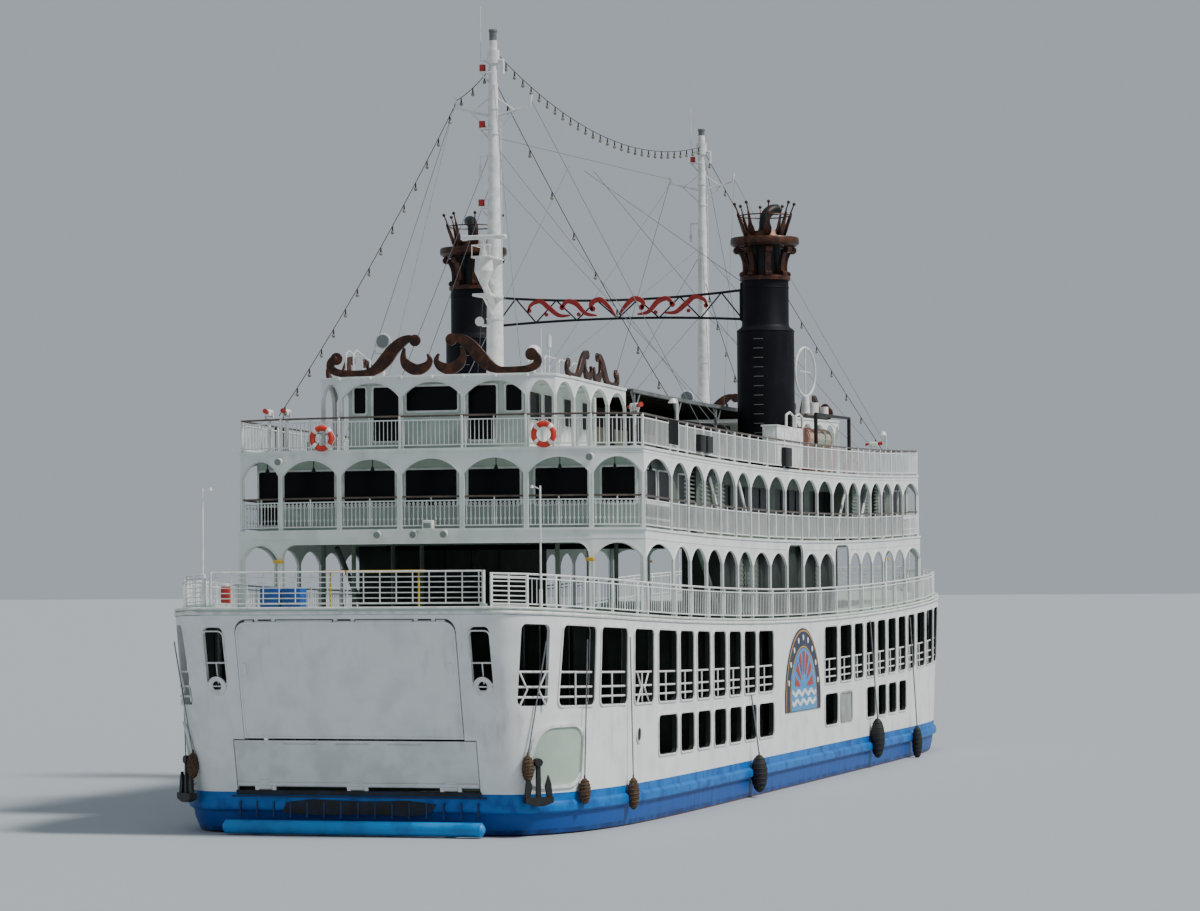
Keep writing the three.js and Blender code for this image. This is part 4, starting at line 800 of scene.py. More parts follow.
# An even, saturated blue.
BIN_BLUE = Finish("blue moulded plastic", Slot.BLUE, "#1C4E9C", "#17428A", 0.45, mottle_mm=120)
# Dull silver, so that the stays show thin and pale.
WIRE = Finish("galvanised wire", Slot.GREY, "#84888C", "#6E7276", 0.45, metallic=0.4, mottle_mm=60)
# Almost black brown, painted shade behind the awning's posts.
SHADE_BROWN = Finish("painted shade under the awning", Slot.BRONZE, "#1E1916", "#28211C", 0.6, gloss=0.2)
# A yellowed white.
CREAM = Finish("cream enamel on lockers", Slot.WHITE, "#B9B2A0", "#A8A18F", 0.5, mottle_mm=150)
# Pink that has bleached towards grey-green.
RAFT_PINK = Finish("faded glass fibre of the raft drums", Slot.WHITE, "#B58A7C", "#8FA394", 0.5, mottle_mm=500)
# Flat, even vinyl colours.
PANEL_NAVY = Finish("navy vinyl on the side panels", Slot.BLUE, "#1A2546", "#16203C", 0.4)
PANEL_SKY = Finish("sky blue vinyl on the side panels", Slot.BLUE, "#3E8FC4", "#3684B8", 0.4)
PANEL_GOLD = Finish("ochre vinyl lines on the side panels", Slot.BRONZE, "#C79A4A", "#B68A3E", 0.4)


# The hull.


@dataclass
class Level:
    """One level of a hull: its height, half length, half beam, flat end half width and plan power."""

    z: float
    length: float
    beam: float
    face: float
    power: float = PLAN_POWER

    def loop(self, shares: Sequence[float]) -> list[Point3]:
        """The level's plan, counterclockwise from the stern's port corner."""
        quarter = [(self.length * t, self.face + (self.beam - self.face) * math.sqrt(max(0.0, 1 - t ** self.power)))
                   for t in shares]
        port = [(-x, y) for x, y in reversed(quarter[1:])] + quarter
        return [(x, y, self.z) for x, y in port + [(x, -y) for x, y in reversed(port)]]


def plan_shares(count: int) -> list[float]:
    """Shares of the half length, closer together where the plan rounds off."""
    return [math.sin(math.pi / 2 * k / count) ** 0.55 if k else 0.0 for k in range(count + 1)]


def shell_loop(z: float, inset: float, count: int) -> list[Point3]:
    """The white plating's plan at a height, set in from its outer face."""
    return Level(z, face_x(z) - inset, HALF_BEAM - inset, FACE_HALF_WIDTH - inset).loop(plan_shares(count))


def thinned(loop: Sequence[Point3], least: float = 0.02) -> list[Point3]:
    """A loop without the points that all but meet the one before."""
    return [point for k, point in enumerate(loop) if (Vector(point) - Vector(loop[k - 1])).length > least]


def loft(rings: Sequence[Sequence[Point3]]) -> Obj:
    """A closed form through rings of the same number of points, from a cylinder cut at each level."""
    deselect()
    count, levels = len(rings[0]), len(rings) - 1
    bpy.ops.mesh.primitive_cylinder_add(vertices=count, radius=1, depth=levels, location=(0, 0, 0))
    obj = bpy.context.object
    obj.data.transform(shift(z=levels / 2))
    with editing(obj):
        for level in range(1, levels):
            bpy.ops.mesh.select_all(action="SELECT")
            bpy.ops.mesh.bisect(plane_co=(0, 0, level), plane_no=(0, 0, 1))

    def to_ring(p: Vector) -> Point3:
        """The ring's point for a corner of the cylinder."""
        turn = math.atan2(p.x, p.y) % math.tau
        return rings[round(p.z)][round(turn / math.tau * count) % count]
    return merged(reshaped(obj, to_ring))


def cut_out(obj: Obj, tool: Obj) -> Obj:
    """Takes the tool's form out of a piece and removes the tool."""
    modified(obj, "BOOLEAN", object=tool, operation="DIFFERENCE", solver="EXACT")
    bpy.data.objects.remove(tool)
    return obj


def rounded(x0: float, x1: float, y0: float, y1: float, radius: float, steps: int = 5) -> list[Point2]:
    """A rectangle with rounded corners, counterclockwise.

    Args:
        x0: its lowest x.
        x1: its highest x.
        y0: its lowest y.
        y1: its highest y.
        radius: of its corners.
        steps: divisions of a corner.

    Returns:
        Its outline.
    """
    points = []
    for cx, cy, start in ((x1 - radius, y0 + radius, -0.25), (x1 - radius, y1 - radius, 0.0),
                          (x0 + radius, y1 - radius, 0.25), (x0 + radius, y0 + radius, 0.5)):
        for k in range(steps + 1):
            angle = math.tau * (start + 0.25 * k / steps)
            points.append((cx + radius * math.cos(angle), cy + radius * math.sin(angle)))
    return points


def frame_between(outer: Sequence[Point2], inner: Sequence[Point2], depth: float) -> Obj:
    """A flat frame between two outlines with the same number of points, with depth."""
    obj = joined([outline(outer, filled=False), outline(inner, filled=False)])
    with editing(obj):
        bpy.ops.mesh.bridge_edge_loops()
    return extruded(obj, depth)


def rim(x0: float, x1: float, y0: float, y1: float, out: float, radii: Point2, depth: float) -> Obj:
    """A flat frame round an opening with rounded corners.

    Args:
        x0: the opening's lowest x.
        x1: the opening's highest x.
        y0: the opening's lowest y.
        y1: the opening's highest y.
        out: how wide the frame is.
        radii: the frame's outer and inner corner radius.
        depth: how deep the frame is.

    Returns:
        The frame, lying flat.
    """
    return frame_between(rounded(x0 - out, x1 + out, y0 - out, y1 + out, radii[0]),
                         rounded(x0, x1, y0, y1, radii[1]), depth)


BOW_CUTS = [24.6 + 0.25 * k for k in range(9)]


def on_hull(obj: Obj, proud: float, cuts: Sequence[float] = BOW_CUTS) -> Obj:
    """Lays a piece drawn in x, depth and z on the port side of the hull, cut across so that it can follow."""
    return reshaped(divided(obj, cuts), lambda p: (p.x, p.y + proud + hull_y(p.x, p.z), p.z))


@dataclass
class LowerHull:
    """The blue hull, full above the water and cut up towards the propellers, with its rubbing belt."""

    levels: tuple[tuple[float, ...], ...] = (
        (-2.6, 13.4, 5.2, 0.2, 3.0), (-2.3, 15.4, 5.9, 0.3, 3.0), (-1.6, 18.8, 6.3, 0.5, 3.5),
        (-0.8, 22.4, 6.5, 1.6, 4.0), (-0.35, 25.2, 6.6, 3.0, 5.0), (0.05, 26.3, 6.65, 4.0), (0.4, 26.42, 6.69, 4.2),
        (0.62, 26.45, 6.7, 4.25), (0.66, 26.5, 6.77, 4.28), (0.7, 26.57, 6.83, 4.3), (0.8, 26.6, 6.84, 4.3),
        (0.9, 26.58, 6.83, 4.3), (0.96, 26.58, 6.76, 4.3), (0.98, 26.59, 6.7, 4.3), (1.2, 26.6, 6.7, 4.3))
    plan_steps: int = 26
    skeg: Point3 = (11.0, 22.3, 0.2)
    skeg_z: Point2 = (-2.58, -0.5)
    shaft_z: float = -1.72
    rudder_x: float = 24.55

    def build(self) -> None:
        """Builds the hull with its skegs, shaft bosses and rudder bosses."""
        shares = plan_shares(self.plan_steps)
        parts = [loft([Level(*level).loop(shares) for level in self.levels])]
        (x0, x1, half), (z0, z1) = self.skeg, self.skeg_z
        for _, end in ENDS:
            parts += [box((min(end * x0, end * x1), -half, z0), (max(end * x0, end * x1), half, z1), 0.08),
                      rod((end * (x0 + 4), 0, self.shaft_z), (end * x1, 0, self.shaft_z), 0.26, 24),
                      post(end * self.rudder_x, 0, -0.6, 0, 0.2, 20)]
        finished(joined(parts), "hull_bottom", HULL_BLUE, replaces=("lower_hull",))


CORNER_WINDOW = Matrix.Translation((26.72, 5.33, 0)) @ Matrix.Rotation(-0.86, 4, "Z")
CORNER_HALF = 0.5


@dataclass
class Windows:
    """The unglazed windows of the side plating, each with a lip and inner rails.

    A column has its middle, its width, and whether a low window stands under the tall one.
    """

    columns: tuple[tuple[float, float, bool], ...] = (
        (24.9, 1.8, False), (22.65, 1.95, False), (20.2, 1.75, False), (17.9, 1.9, True), (15.85, 1.5, True),
        (13.95, 1.5, True), (12.05, 1.45, True), (10.15, 1.5, True), (8.25, 1.5, True), (6.15, 2.0, True),
        (-3.2, 1.95, True), (-5.55, 1.85, False), (-7.65, 1.45, False), (-9.6, 1.45, True), (-11.5, 1.4, True),
        (-13.35, 1.4, True), (-15.2, 1.35, True), (-17.0, 1.3, False), (-19.0, 1.7, False), (-21.1, 1.75, False),
        (-23.1, 1.6, False), (-24.95, 1.5, False))
    upper: Point2 = (3.37, 5.36)
    lower: Point2 = (1.88, 2.98)
    corner: float = 0.15
    lip: float = 0.05
    proud: float = 0.035
    bar: float = 0.028
    bar_heights: Point3 = (0.21, 0.46, 0.83)
    braced: int = 2
    blanked: int = 11

    def openings(self) -> list[Point4]:
        """Every window as its lowest and highest x and z."""
        found = [(x - w / 2, x + w / 2, *self.upper) for x, w, _ in self.columns]
        return found + [(x - w / 2, x + w / 2, *self.lower) for x, w, low in self.columns if low]

    def cutter(self) -> Obj:
        """One tool that cuts all the windows through both sides."""
        return joined([plate(rounded(*spot, self.corner), 16, Plane.SIDE, (0, 8, 0)) for spot in self.openings()])

    @staticmethod
    def laid(frames: Sequence[Obj], proud: float) -> Obj:
        """Stands flat frames on the plating, bent to the sheer, on both sides."""
        upright = turned_to(divided(joined(frames), SHEER_CUTS), Plane.SIDE)
        return copies(lifted(on_hull(upright, proud, ())))

    def lips(self) -> Obj:
        """A thin raised lip round every window."""
        radii = (self.corner + self.lip, self.corner)
        return self.laid([rim(*spot, self.lip, radii, self.proud + 0.02) for spot in self.openings()], self.proud)

    def reveals(self) -> Obj:
        """Linings in the thickness of the plating, dark with painted shade."""
        frames = [frame_between(*(rounded(x0 + e, x1 - e, z0 + e, z1 - e, self.corner - e) for e in (0.0, 0.012)),
                                WALL - 0.006) for x0, x1, z0, z1 in self.openings()]
        return self.laid(frames, -0.004)

    def rails(self) -> Obj:
        """Rails across the inside of every tall window, some of them bent into a diamond."""
        sill, parts = self.upper[0], []
        top = self.bar_heights[-1]
        for number, (x, width, _) in enumerate(self.columns):
            middle, *ends = ((spot, hull_y(spot, sill) - 0.06) for spot in (x, x - width / 2, x + width / 2))
            parts += [rod((*ends[0], sill + z), (*ends[1], sill + z), self.bar, 8) for z in self.bar_heights]
            parts.append(post(*middle, sill - 0.05, sill + top, self.bar, 8))
            if number == self.braced:
                parts += self.braces(x, middle[1] + 0.03)
        at_corner = [rod((-CORNER_HALF, 0, sill + z), (CORNER_HALF, 0, sill + z), self.bar, 8)
                     for z in self.bar_heights]
        corner = joined(at_corner + self.braces(0, 0.03, 0.4))
        corner.data.transform(CORNER_WINDOW @ shift(y=-0.18))
        return copies(sheered(joined(parts + [corner])))

    def braces(self, x: float, y: float, reach: float = 0.6) -> list[Obj]:
        """Two bars bent towards each other across one window."""
        sill, (_, bend, top) = self.upper[0], self.bar_heights
        return [tube([(x + side * reach, y, sill), (x + side * 0.17, y, sill + 0.4), (x + side * reach, y, sill + top)],
                     self.bar, 8) for side in (-1, 1)]

    def blank(self) -> Obj:
        """The plate over the second low window aft, with its rim."""
        x, width, _ = self.columns[self.blanked]
        x0, x1, (z0, z1), e = x - width / 2, x + width / 2, self.lower, 0.07
        sheet = plate(rounded(x0, x1, z0, z1, self.corner), 0.01, Plane.SIDE, (0, 0.006, 0))
        edge = rim(x0 + e, x1 - e, z0 + e, z1 - e, e, (self.corner, 0.09), 0.04)
        return copies(lifted(on_hull(joined([sheet, turned_to(edge, Plane.SIDE, (0, 0.035, 0))]), 0.0)))

    def lining(self) -> Obj:
        """The car deck and the web frames between the windows, dark with painted shade."""
        loop = [(x, y) for x, y, _ in thinned(shell_loop(MAIN_DECK, WALL + 0.02, 26))]
        deck = plate(loop, 0.02, Plane.DECK, (0, 0, MAIN_DECK + SEAT))
        frames = []
        for (x, width, _), (aft, aft_width, _) in zip(self.columns, self.columns[1:]):
            middle = (x - width / 2 + aft + aft_width / 2) / 2
            if x - aft <= 4.0 and abs(middle) <= 24.0:
                y = hull_y(middle, 3.0) - WALL - 0.01
                frames.append(box((middle - 0.05, y - 0.5, MAIN_DECK + 0.03), (middle + 0.05, y, UPPER_DECK - 0.26)))
        return sheered(joined([deck, copies(joined(frames))]))


DOOR_PIN, RAMP_PIN = (-0.08, 5.38), (0.0, 1.32)
DOOR_KNUCKLES, RAMP_KNUCKLES = (-2.4, 0.0, 2.4), (-2.8, 0.0, 2.8)


@dataclass
class Plating:
    """The white plating: both sides and both raked ends in one shell, with its windows and doorways."""

    windows: Windows = field(default_factory=Windows)
    plan_steps: int = 26
    bottom: float = MAIN_DECK + 0.0008
    top: float = UPPER_DECK - DECK_THICKNESS - 0.0008
    slot: Point4 = (4.0, 0.3, 3.75, 5.28)
    slot_corner: float = 0.14
    door: Point3 = (1.25, 5.475, 0.32)
    ramp: Point2 = (1.25, 2.524)
    play: float = 0.024
    lug_gap: float = 0.2016
    lug: float = 0.12

    def build(self) -> None:
        """Builds the shell, its lips, rails and end fittings."""
        shell = loft([shell_loop(z, 0, self.plan_steps) for z in (self.bottom, self.top)])
        cut_out(shell, loft([shell_loop(z, WALL, self.plan_steps) for z in (self.bottom - 0.1, self.top + 0.1)]))
        cut_out(shell, self.windows.cutter())
        for tool in self.end_cutters():
            cut_out(shell, copies(tool, BOTH_ENDS))
        finished(joined([sheered(shell), self.ears()]), "hull_plating", WHITE,
                 replaces=("hull_side_port", "hull_side_starboard", "bow_wall", "stern_wall"))
        for obj, name, paint in (
                (self.windows.lips(), "window_lips", TRIM_WHITE), (self.windows.rails(), "window_rails", TRIM_WHITE),
                (self.windows.lining(), "car_deck_lining", CAR_DECK_SHADE),
                (self.windows.reveals(), "window_reveals", CAR_DECK_SHADE),
                (self.windows.blank(), "blanked_window", WINDOW_BLANK),
                (self.deck_edge(), "deck_edge_moulding", TRIM_WHITE),
                (self.end_fittings(), "end_fairleads", TRIM_WHITE)):
            finished(obj, name, paint)

    def end_cutters(self) -> list[Obj]:
        """Tools for the doorway, the ramp's opening, the slots beside them and the corner windows."""
        low, high, corner = self.door
        half = DOOR_HALF + self.play
        door = plate(rounded(-half, half, low, high, corner), 6, Plane.END, (24, 0, 0))
        ramp = box((24, -RAMP_HALF - self.play, self.ramp[0]), (30, RAMP_HALF + self.play, self.ramp[1]))
        y, half, z0, z1 = self.slot
        slots = plate(rounded(y - half, y + half, z0, z1, self.slot_corner), 6, Plane.END, (24, 0, 0))
        window = rounded(-CORNER_HALF, CORNER_HALF, *self.windows.upper, self.windows.corner)
        corner_tool = plate(window, 1.4, Plane.SIDE, (0, 0.7, 0))
        corner_tool.data.transform(CORNER_WINDOW)
        return [door, ramp, copies(slots), copies(corner_tool)]

    def ears(self) -> Obj:
        """The lugs that carry the hinge pins of the doors and ramps."""
        lugs = []
        for (x, _), knuckles, low, high in ((DOOR_PIN, DOOR_KNUCKLES, 5.33, 5.51),
                                            (RAMP_PIN, RAMP_KNUCKLES, 1.22, 1.37)):
            for inner, edge in ((y + edge * self.lug_gap, edge) for y in knuckles for edge in (-1, 1)):
                y0, y1 = sorted((inner, inner + edge * self.lug))
                lugs.append(box((x - 0.05, y0, low), (x + 0.03, y1, high), 0.02))
        return copies(lifted(leaned(joined(lugs))), BOTH_ENDS)

    @staticmethod
    def deck_edge() -> Obj:
        """A half-round moulding round the edge of the upper deck, and the deck's own white edge."""
        return joined([sheered(tube(thinned(shell_loop(UPPER_DECK - down, 0.0, 30)), radius, 8, closed=True))
                       for down, radius in ((0.14, 0.045), (0.03, 0.03))])

    def end_fittings(self) -> Obj:
        """Round fairleads below the slots, a bar across each slot, and a raised rim round it."""
        parts = []
        y, half, z0, z1 = self.slot
        for middle in (-y, y):
            fairlead = frame_between(*(disc(middle, 3.74, radius, 28) for radius in (0.27, 0.14)), 0.07)
            parts += [turned_to(fairlead, Plane.END),
                      rod((-0.05, middle - 0.34, 4.4), (-0.05, middle + 0.34, 4.4), 0.025, 10),
                      post(-0.07, middle, 3.8, 4.4, 0.02, 8),
                      turned_to(rim(middle - half, middle + half, z0, z1, 0.04, (0.18, self.slot_corner), 0.02),
                                Plane.END)]
        return copies(raised(leaned(joined(parts)), 27.4, 4.5), BOTH_ENDS)


def leaned(obj: Obj) -> Obj:
    """Leans a piece drawn upright at x = 0 back onto the raked face."""
    return reshaped(obj, lambda p: (p.x + face_x(p.z), p.y, p.z))


@dataclass
class EndDoors:
    """The leaf and the low ramp of each end, on the pins they swing about."""

    thickness: float = 0.08
    leaf: Point2 = (2.548, 5.4)
    corner: float = 0.3
    ramp: Point2 = (1.345, 2.5)
    knuckle: Point2 = (0.055, 0.2)
    slots: tuple[Point2, ...] = ((-2.14, -1.14), (-0.56, 0.44), (1.01, 2.03))
    barrels: tuple[Point2, ...] = ((-3.0, -2.76), (-2.04, -0.36), (0.36, 2.04), (2.76, 3.0))

    def build(self) -> None:
        """Builds both doors, both ramps and their furniture."""
        for end, sign in ENDS:
            for obj, kind, paint in ((self.door(), "door", WHITE), (self.ramp_leaf(), "ramp", RAMP_WHITE)):
                body = f"{end}_{kind}"
                finished(at_end(lifted(leaned(obj)), sign), f"{body}_leaf", paint, body, replaces=(body,))

    def hinge(self, pin: Point2, places: Sequence[float], strap_x: float, strap_z: float) -> list[Obj]:
        """The round barrels that a leaf turns on, and the straps that join the leaf to them."""
        (x, z), (radius, half) = pin, self.knuckle
        z0, z1 = sorted((z, strap_z))
        return [rod((x, y - half, z), (x, y + half, z), radius, 20) for y in places] + [
            box((strap_x, y - 0.19, z0), (strap_x + 0.07, y + 0.19, z1), 0.01) for y in places]

    def door(self) -> Obj:
        """A flat leaf with rounded top corners, a rim, faint stiffeners and two small fittings."""
        low, high = self.leaf
        half, thick = DOOR_HALF, self.thickness
        shape = [(-half, low), (half, low)]
        shape += [p for p in rounded(-half, half, low, high, self.corner) if p[1] > low + self.corner + 0.01]
        inner = [(y * 0.985, low + 0.05 + (z - low) * 0.965) for y, z in shape]
        parts = [bevelled(plate(shape, thick, Plane.END, (-thick, 0, 0)), 0.015),
                 turned_to(frame_between(shape, inner, 0.03), Plane.END, (-0.012, 0, 0))]
        parts += [box((-0.1, -half + 0.2, z), (-0.075, half - 0.2, z + 0.06)) for z in (3.2, 3.9, 4.6)]
        parts += [box((-0.01, y - 0.05, 4.1), (0.05, y + 0.05, 4.4), 0.02) for y in (-3.1, 3.1)]
        parts += [rod((-thick, y0, DOOR_PIN[1]), (-thick, y1, DOOR_PIN[1]), 0.078, 20) for y0, y1 in self.barrels]
        return joined(parts + self.hinge(DOOR_PIN, DOOR_KNUCKLES, DOOR_PIN[0], 5.1))

    def ramp_leaf(self) -> Obj:
        """The low flap, with three slots along its head and a ledge at its foot."""
        (low, high), half = self.ramp, RAMP_HALF
        leaf = box((-0.1, -half, low), (0, half, high))
        for y0, y1 in self.slots:
            cut_out(leaf, box((-0.04, y0, high - 0.1), (0.3, y1, high - 0.06)))
        parts = [bevelled(leaf, 0.012)]
        parts += [box((-0.13, y - 0.04, low + 0.1), (-0.095, y + 0.04, high - 0.1))
                  for y in (-3, -1.8, -0.6, 0.6, 1.8, 3)]
        parts.append(box((-0.02, -half + 0.02, low + 0.02), (0.045, half - 0.02, low + 0.1), 0.012))
        return joined(parts + self.hinge(RAMP_PIN, RAMP_KNUCKLES, -0.05, 1.5))


@dataclass
class EndFender:
    """The round rubbing tube across each end, and the studded blue recess behind it."""

    x: float = 27.05
    z: float = 0.24
    radius: float = 0.2
    half: float = 3.95
    studs: int = 15
    studs_half: float = 3.6

    def build(self) -> None:
        """Builds the fender and the studs at both ends."""
        for end, sign in ENDS:
            finished(at_end(self.fender(), sign), f"{end}_fender_tube", FENDER_BLUE, replaces=(f"{end}_fender",))
            # The studs and their ledge take a blue darkened with painted shade.
            finished(at_end(self.recess(), sign), f"{end}_fender_studs", SHADED_BLUE)
            finished(at_end(self.scuffs_and_shadow(), sign), f"{end}_scuff_plates", SCUFF_AND_SHADOW)

    def fender(self) -> Obj:
        """A tube with domed ends on four brackets."""
        x, z, half = self.x, self.z, self.half
        caps = [ball((x, side * (half - 0.2), z), self.radius, 24) for side in (-1, 1)]
        brackets = [box((26.45, y - 0.08, z - 0.13), (x, y + 0.08, z + 0.13), 0.02) for y in (-3, -1, 1, 3)]
        return joined([rod((x, -half + 0.1, z), (x, half - 0.1, z), self.radius, 28), *caps, *brackets])

    def recess(self) -> Obj:
        """A row of upright studs under a ledge."""
        parts = []
        for k in range(self.studs):
            y = -self.studs_half + 2 * self.studs_half * k / (self.studs - 1)
            parts += [post(26.6, y, 0.56, 0.94, 0.03, 8), rod((26.58, y, 0.52), (26.64, y, 0.52), 0.045, 8)]
        return joined(parts + [box((26.42, -3.85, 1.06), (26.64, 3.85, 1.1), 0.01)])

    @staticmethod
    def scuffs_and_shadow() -> Obj:
        """A plate that the ramp and the quay have rubbed black, and a strip of painted shadow under the ramp's flap."""
        worn = plate([(-2.3, 0.62), (-1.2, 0.56), (0.4, 0.6), (1.6, 0.55), (2.2, 0.66), (2.35, 0.9), (1.5, 1.0),
                      (0.2, 0.96), (-1.4, 1.01), (-2.2, 0.92)], 0.02, Plane.END, (26.585, 0, 0))
        # The long box is painted shadow under the ramp's flap; the outline is a real scuff.
        return joined([box((26.5, -3.7, 1.13), (26.665, 3.7, 1.26), 0.02), worn])


# The arcaded decks.

HOUSE = Run(COLUMN_LINE)
SIDE_MARKS = HOUSE.marks[CORNER_MARK:len(COLUMN_LINE) - CORNER_MARK]


def strip(run: Run, n: Point2, z: Point2, ends: Point2 | None = None) -> Obj:
    """A flat bar along a run, still drawn in s, n and z.

    Args:
        run: the line it follows.
        n: its nearest and farthest distance in from the line.
        z: its lowest and highest height.
        ends: where along the line it starts and stops, or the whole line.

    Returns:
        The bar, cut where the line bends.
    """
    start, stop = ends or (run.marks[0], run.marks[-1])
    return divided(box((start, n[0], z[0]), (stop, n[1], z[1])), run.marks)


def spaced(start: float, stop: float, pitch: float) -> list[float]:
    """Even places strictly between two ends, about a pitch apart.

    Args:
        start: the first end.
        stop: the other end.
        pitch: the wanted distance.

    Returns:
        The places, without the ends.
    """
    count = max(1, round((stop - start) / pitch))
    return [start + (stop - start) * k / count for k in range(1, count)]


@dataclass
class Arcade:
    """One storey of columns and arches bent round the house, with a lip round each opening."""

    storey: str
    bottom: float
    top: float
    spring: float
    crown: float
    column: float
    outer: float = 0.0
    inner: float = 0.12
    wide: tuple[int, int] | None = None
    steps: int = 12
    corner: float = 0.4
    lip: float = 0.04
    side_depth: float = 0.055
    cusp: float = 0.66
    tall: tuple[int, ...] = ()
    taller: float = 0.3

    def build(self) -> None:
        """Builds both sides and both ends."""
        ends = across(COLUMN_LINE[1:CORNER_MARK + 2])
        for kind, run, marks, inner, wide, moves, twins in (
                ("sides", HOUSE, SIDE_MARKS, self.outer + self.side_depth, None, BOTH_SIDES, SIDES),
                ("ends", ends, ends.marks[1:-1], self.inner, self.wide, BOTH_ENDS, ENDS)):
            finished(copies(along(self.panel(run, marks, inner, wide), run), moves), f"{self.storey}_arcade_{kind}",
                     UPPER_WHITE, replaces=[f"{self.storey}_arcade_{twin}" for twin, _ in twins])

    def spans(self, marks: Sequence[float], wide: tuple[int, int] | None) -> list[tuple[float, float, float | None]]:
        """Each opening's two sides, and how much higher its head is where that is flat.

        Args:
            marks: where along the line the columns stand.
            wide: the first and last column of a wide flat opening.

        Returns:
            A row for each opening, its last value None where the head is arched.
        """
        found, k = [], 0
        while k < len(marks) - 1:
            last, flat = k + 1, None
            if wide and k == wide[0]:
                last, flat = wide[1], 0.0
            elif k in self.tall and len(marks) == len(SIDE_MARKS):
                flat = self.taller
            found.append((marks[k] + self.column / 2, marks[last] - self.column / 2, flat))
            k = last
        return found

    def opening(self, start: float, stop: float, flat: float | None, out: float = 0.0) -> list[Point2]:
        """An opening's edge from its lower left corner over its head, grown outwards by a distance.

        Args:
            start: its first side.
            stop: its other side.
            flat: how much higher a flat head is, or None for an arch.
            out: how far the edge is grown.

        Returns:
            The edge, open at its foot.
        """
        start, stop = start - out, stop + out
        crown = self.crown + out + (flat or 0.0)
        arched = flat is None
        spring, low = (self.cusp, self.spring) if arched else (0.0, crown - out - self.corner)
        half = ((stop - start) / 2 if arched else self.corner + out) / math.cos(spring)
        tall = (crown - low) / (1 - math.sin(spring))
        head = []
        for k in range(self.steps + 1):
            turn = math.pi - spring - (math.pi - 2 * spring) * k / self.steps
            centre = start + half * math.cos(spring) if k <= self.steps / 2 else stop - half * math.cos(spring)
            head.append((centre + half * math.cos(turn), crown - tall + tall * math.sin(turn)))
        if not arched:
            head.insert(self.steps // 2 + 1, (stop - half, crown))
        return [(start, self.bottom), *head, (stop, self.bottom)]

    def panel(self, run: Run, marks: Sequence[float], inner: float, wide: tuple[int, int] | None = None) -> Obj:
        """The storey's panel with its lips and mouldings, drawn flat in s, n and z.

        Args:
            run: the line it is bent along later.
            marks: where along the line its columns stand.
            inner: how far in its back face is.
            wide: the first and last column of a wide flat opening.

        Returns:
            The panel, cut where the line bends.
        """
        spans, outer, top = self.spans(marks, wide), self.outer, self.top
        edge = [point for span in spans for point in self.opening(*span)]
        shape = [(marks[0], self.bottom), *edge, (marks[-1], self.bottom), (marks[-1], top), (marks[0], top)]
        parts = [plate(shape, inner - outer, Plane.SIDE, (0, inner, 0))]
        for span in spans:
            band = self.opening(*span, self.lip) + self.opening(*span)[::-1]
            parts.append(plate(band, 0.03, Plane.SIDE, (0, outer + 0.008, 0)))
        parts.append(strip(run, (outer - 0.035, outer + 0.01), (top - 0.07, top), (marks[0], marks[-1])))
        breaks = [edge for start, stop, flat in spans if flat for edge in (start - 0.1, stop + 0.1)]
        edges = [marks[0], *breaks, marks[-1]]
        z = self.crown + 0.13
        parts += [strip(run, (outer - 0.012, outer + 0.01), (z, z + 0.025), ends)
                  for ends in zip(edges[::2], edges[1::2])]
        return divided(joined(parts), run.marks)


@dataclass
class Rail:
    """A rail on balusters along a run: a foot bar, a head bar, posts and a handrail."""

    name: str
    run: Run
    foot: float
    n: float
    height: float = 1.0
    pitch: float = 0.135
    replaced: tuple[str, ...] = ()
    handrail: Finish = HANDRAIL
    post_half: float = 0.035
    levels: int = 0
    curls: bool = False

    def build(self) -> None:
        """Builds the rail on the port side and mirrors it."""
        marks, foot, n, half = self.run.marks, self.foot, self.n, self.post_half
        head = foot + self.height
        spans = list(zip(marks, marks[1:]))
        plain = spans[1:-1] if self.levels else spans
        parts = [self.repeated(post(0, n, foot + 0.09, head - 0.15, 0.012, 6), self.between(plain))]
        for start, stop in (spans[0], spans[-1]) if self.levels else ():
            parts += [rod((start, n, foot + 0.05 + 0.14 * k), (stop, n, foot + 0.05 + 0.14 * k), 0.018, 8)
                      for k in range(self.levels)]
            parts += [post(s, n, foot, head - 0.03, 0.025, 10) for s in spaced(start, stop, 0.45)]
        thin = [(start + stop) / 2 for start, stop in spans[1:-1]] + ([] if self.levels else [marks[0], marks[-1]])
        parts.append(self.repeated(post(0, n, foot + 0.09, head - 0.03, 0.022, 8), thin))
        stout = [min(max(s, half), marks[-1] - half) for s in marks] if self.levels else marks[1:-1]
        parts.append(self.repeated(box((-half, n - half, foot), (half, n + half, head - 0.02), 0.008), stout))
        if self.curls:
            curl = joined([ring((0, n, head - 0.24), (0, 1, 0), 0.042, 0.011, 10, 5),
                           ring((0, n, foot + 0.3), (0, 1, 0), 0.03, 0.009, 8, 5)])
            ahead = self.between(spans[:5])
            parts.append(self.repeated(curl, ahead + [marks[-1] - s for s in ahead]))
        for z in (foot + 0.08, head - 0.165):
            parts.append(strip(self.run, (n - 0.025, n + 0.025), (z, z + 0.035)))
        hand = tube([(s, n, head - 0.025) for s in marks], 0.03, 10)
        finished(copies(along(joined(parts), self.run)), self.name, UPPER_WHITE, replaces=self.replaced)
        finished(copies(along(hand, self.run)), f"{self.name}_handrail", self.handrail)

    def between(self, spans: Sequence[Point2]) -> list[float]:
        """The balusters' places between posts."""
        return [s for start, stop in spans for s in spaced(start, stop, self.pitch)]

    @staticmethod
    def repeated(obj: Obj, places: Iterable[float]) -> Obj:
        """Copies a piece to each place along the run."""
        return copies(obj, [shift(s) for s in places])


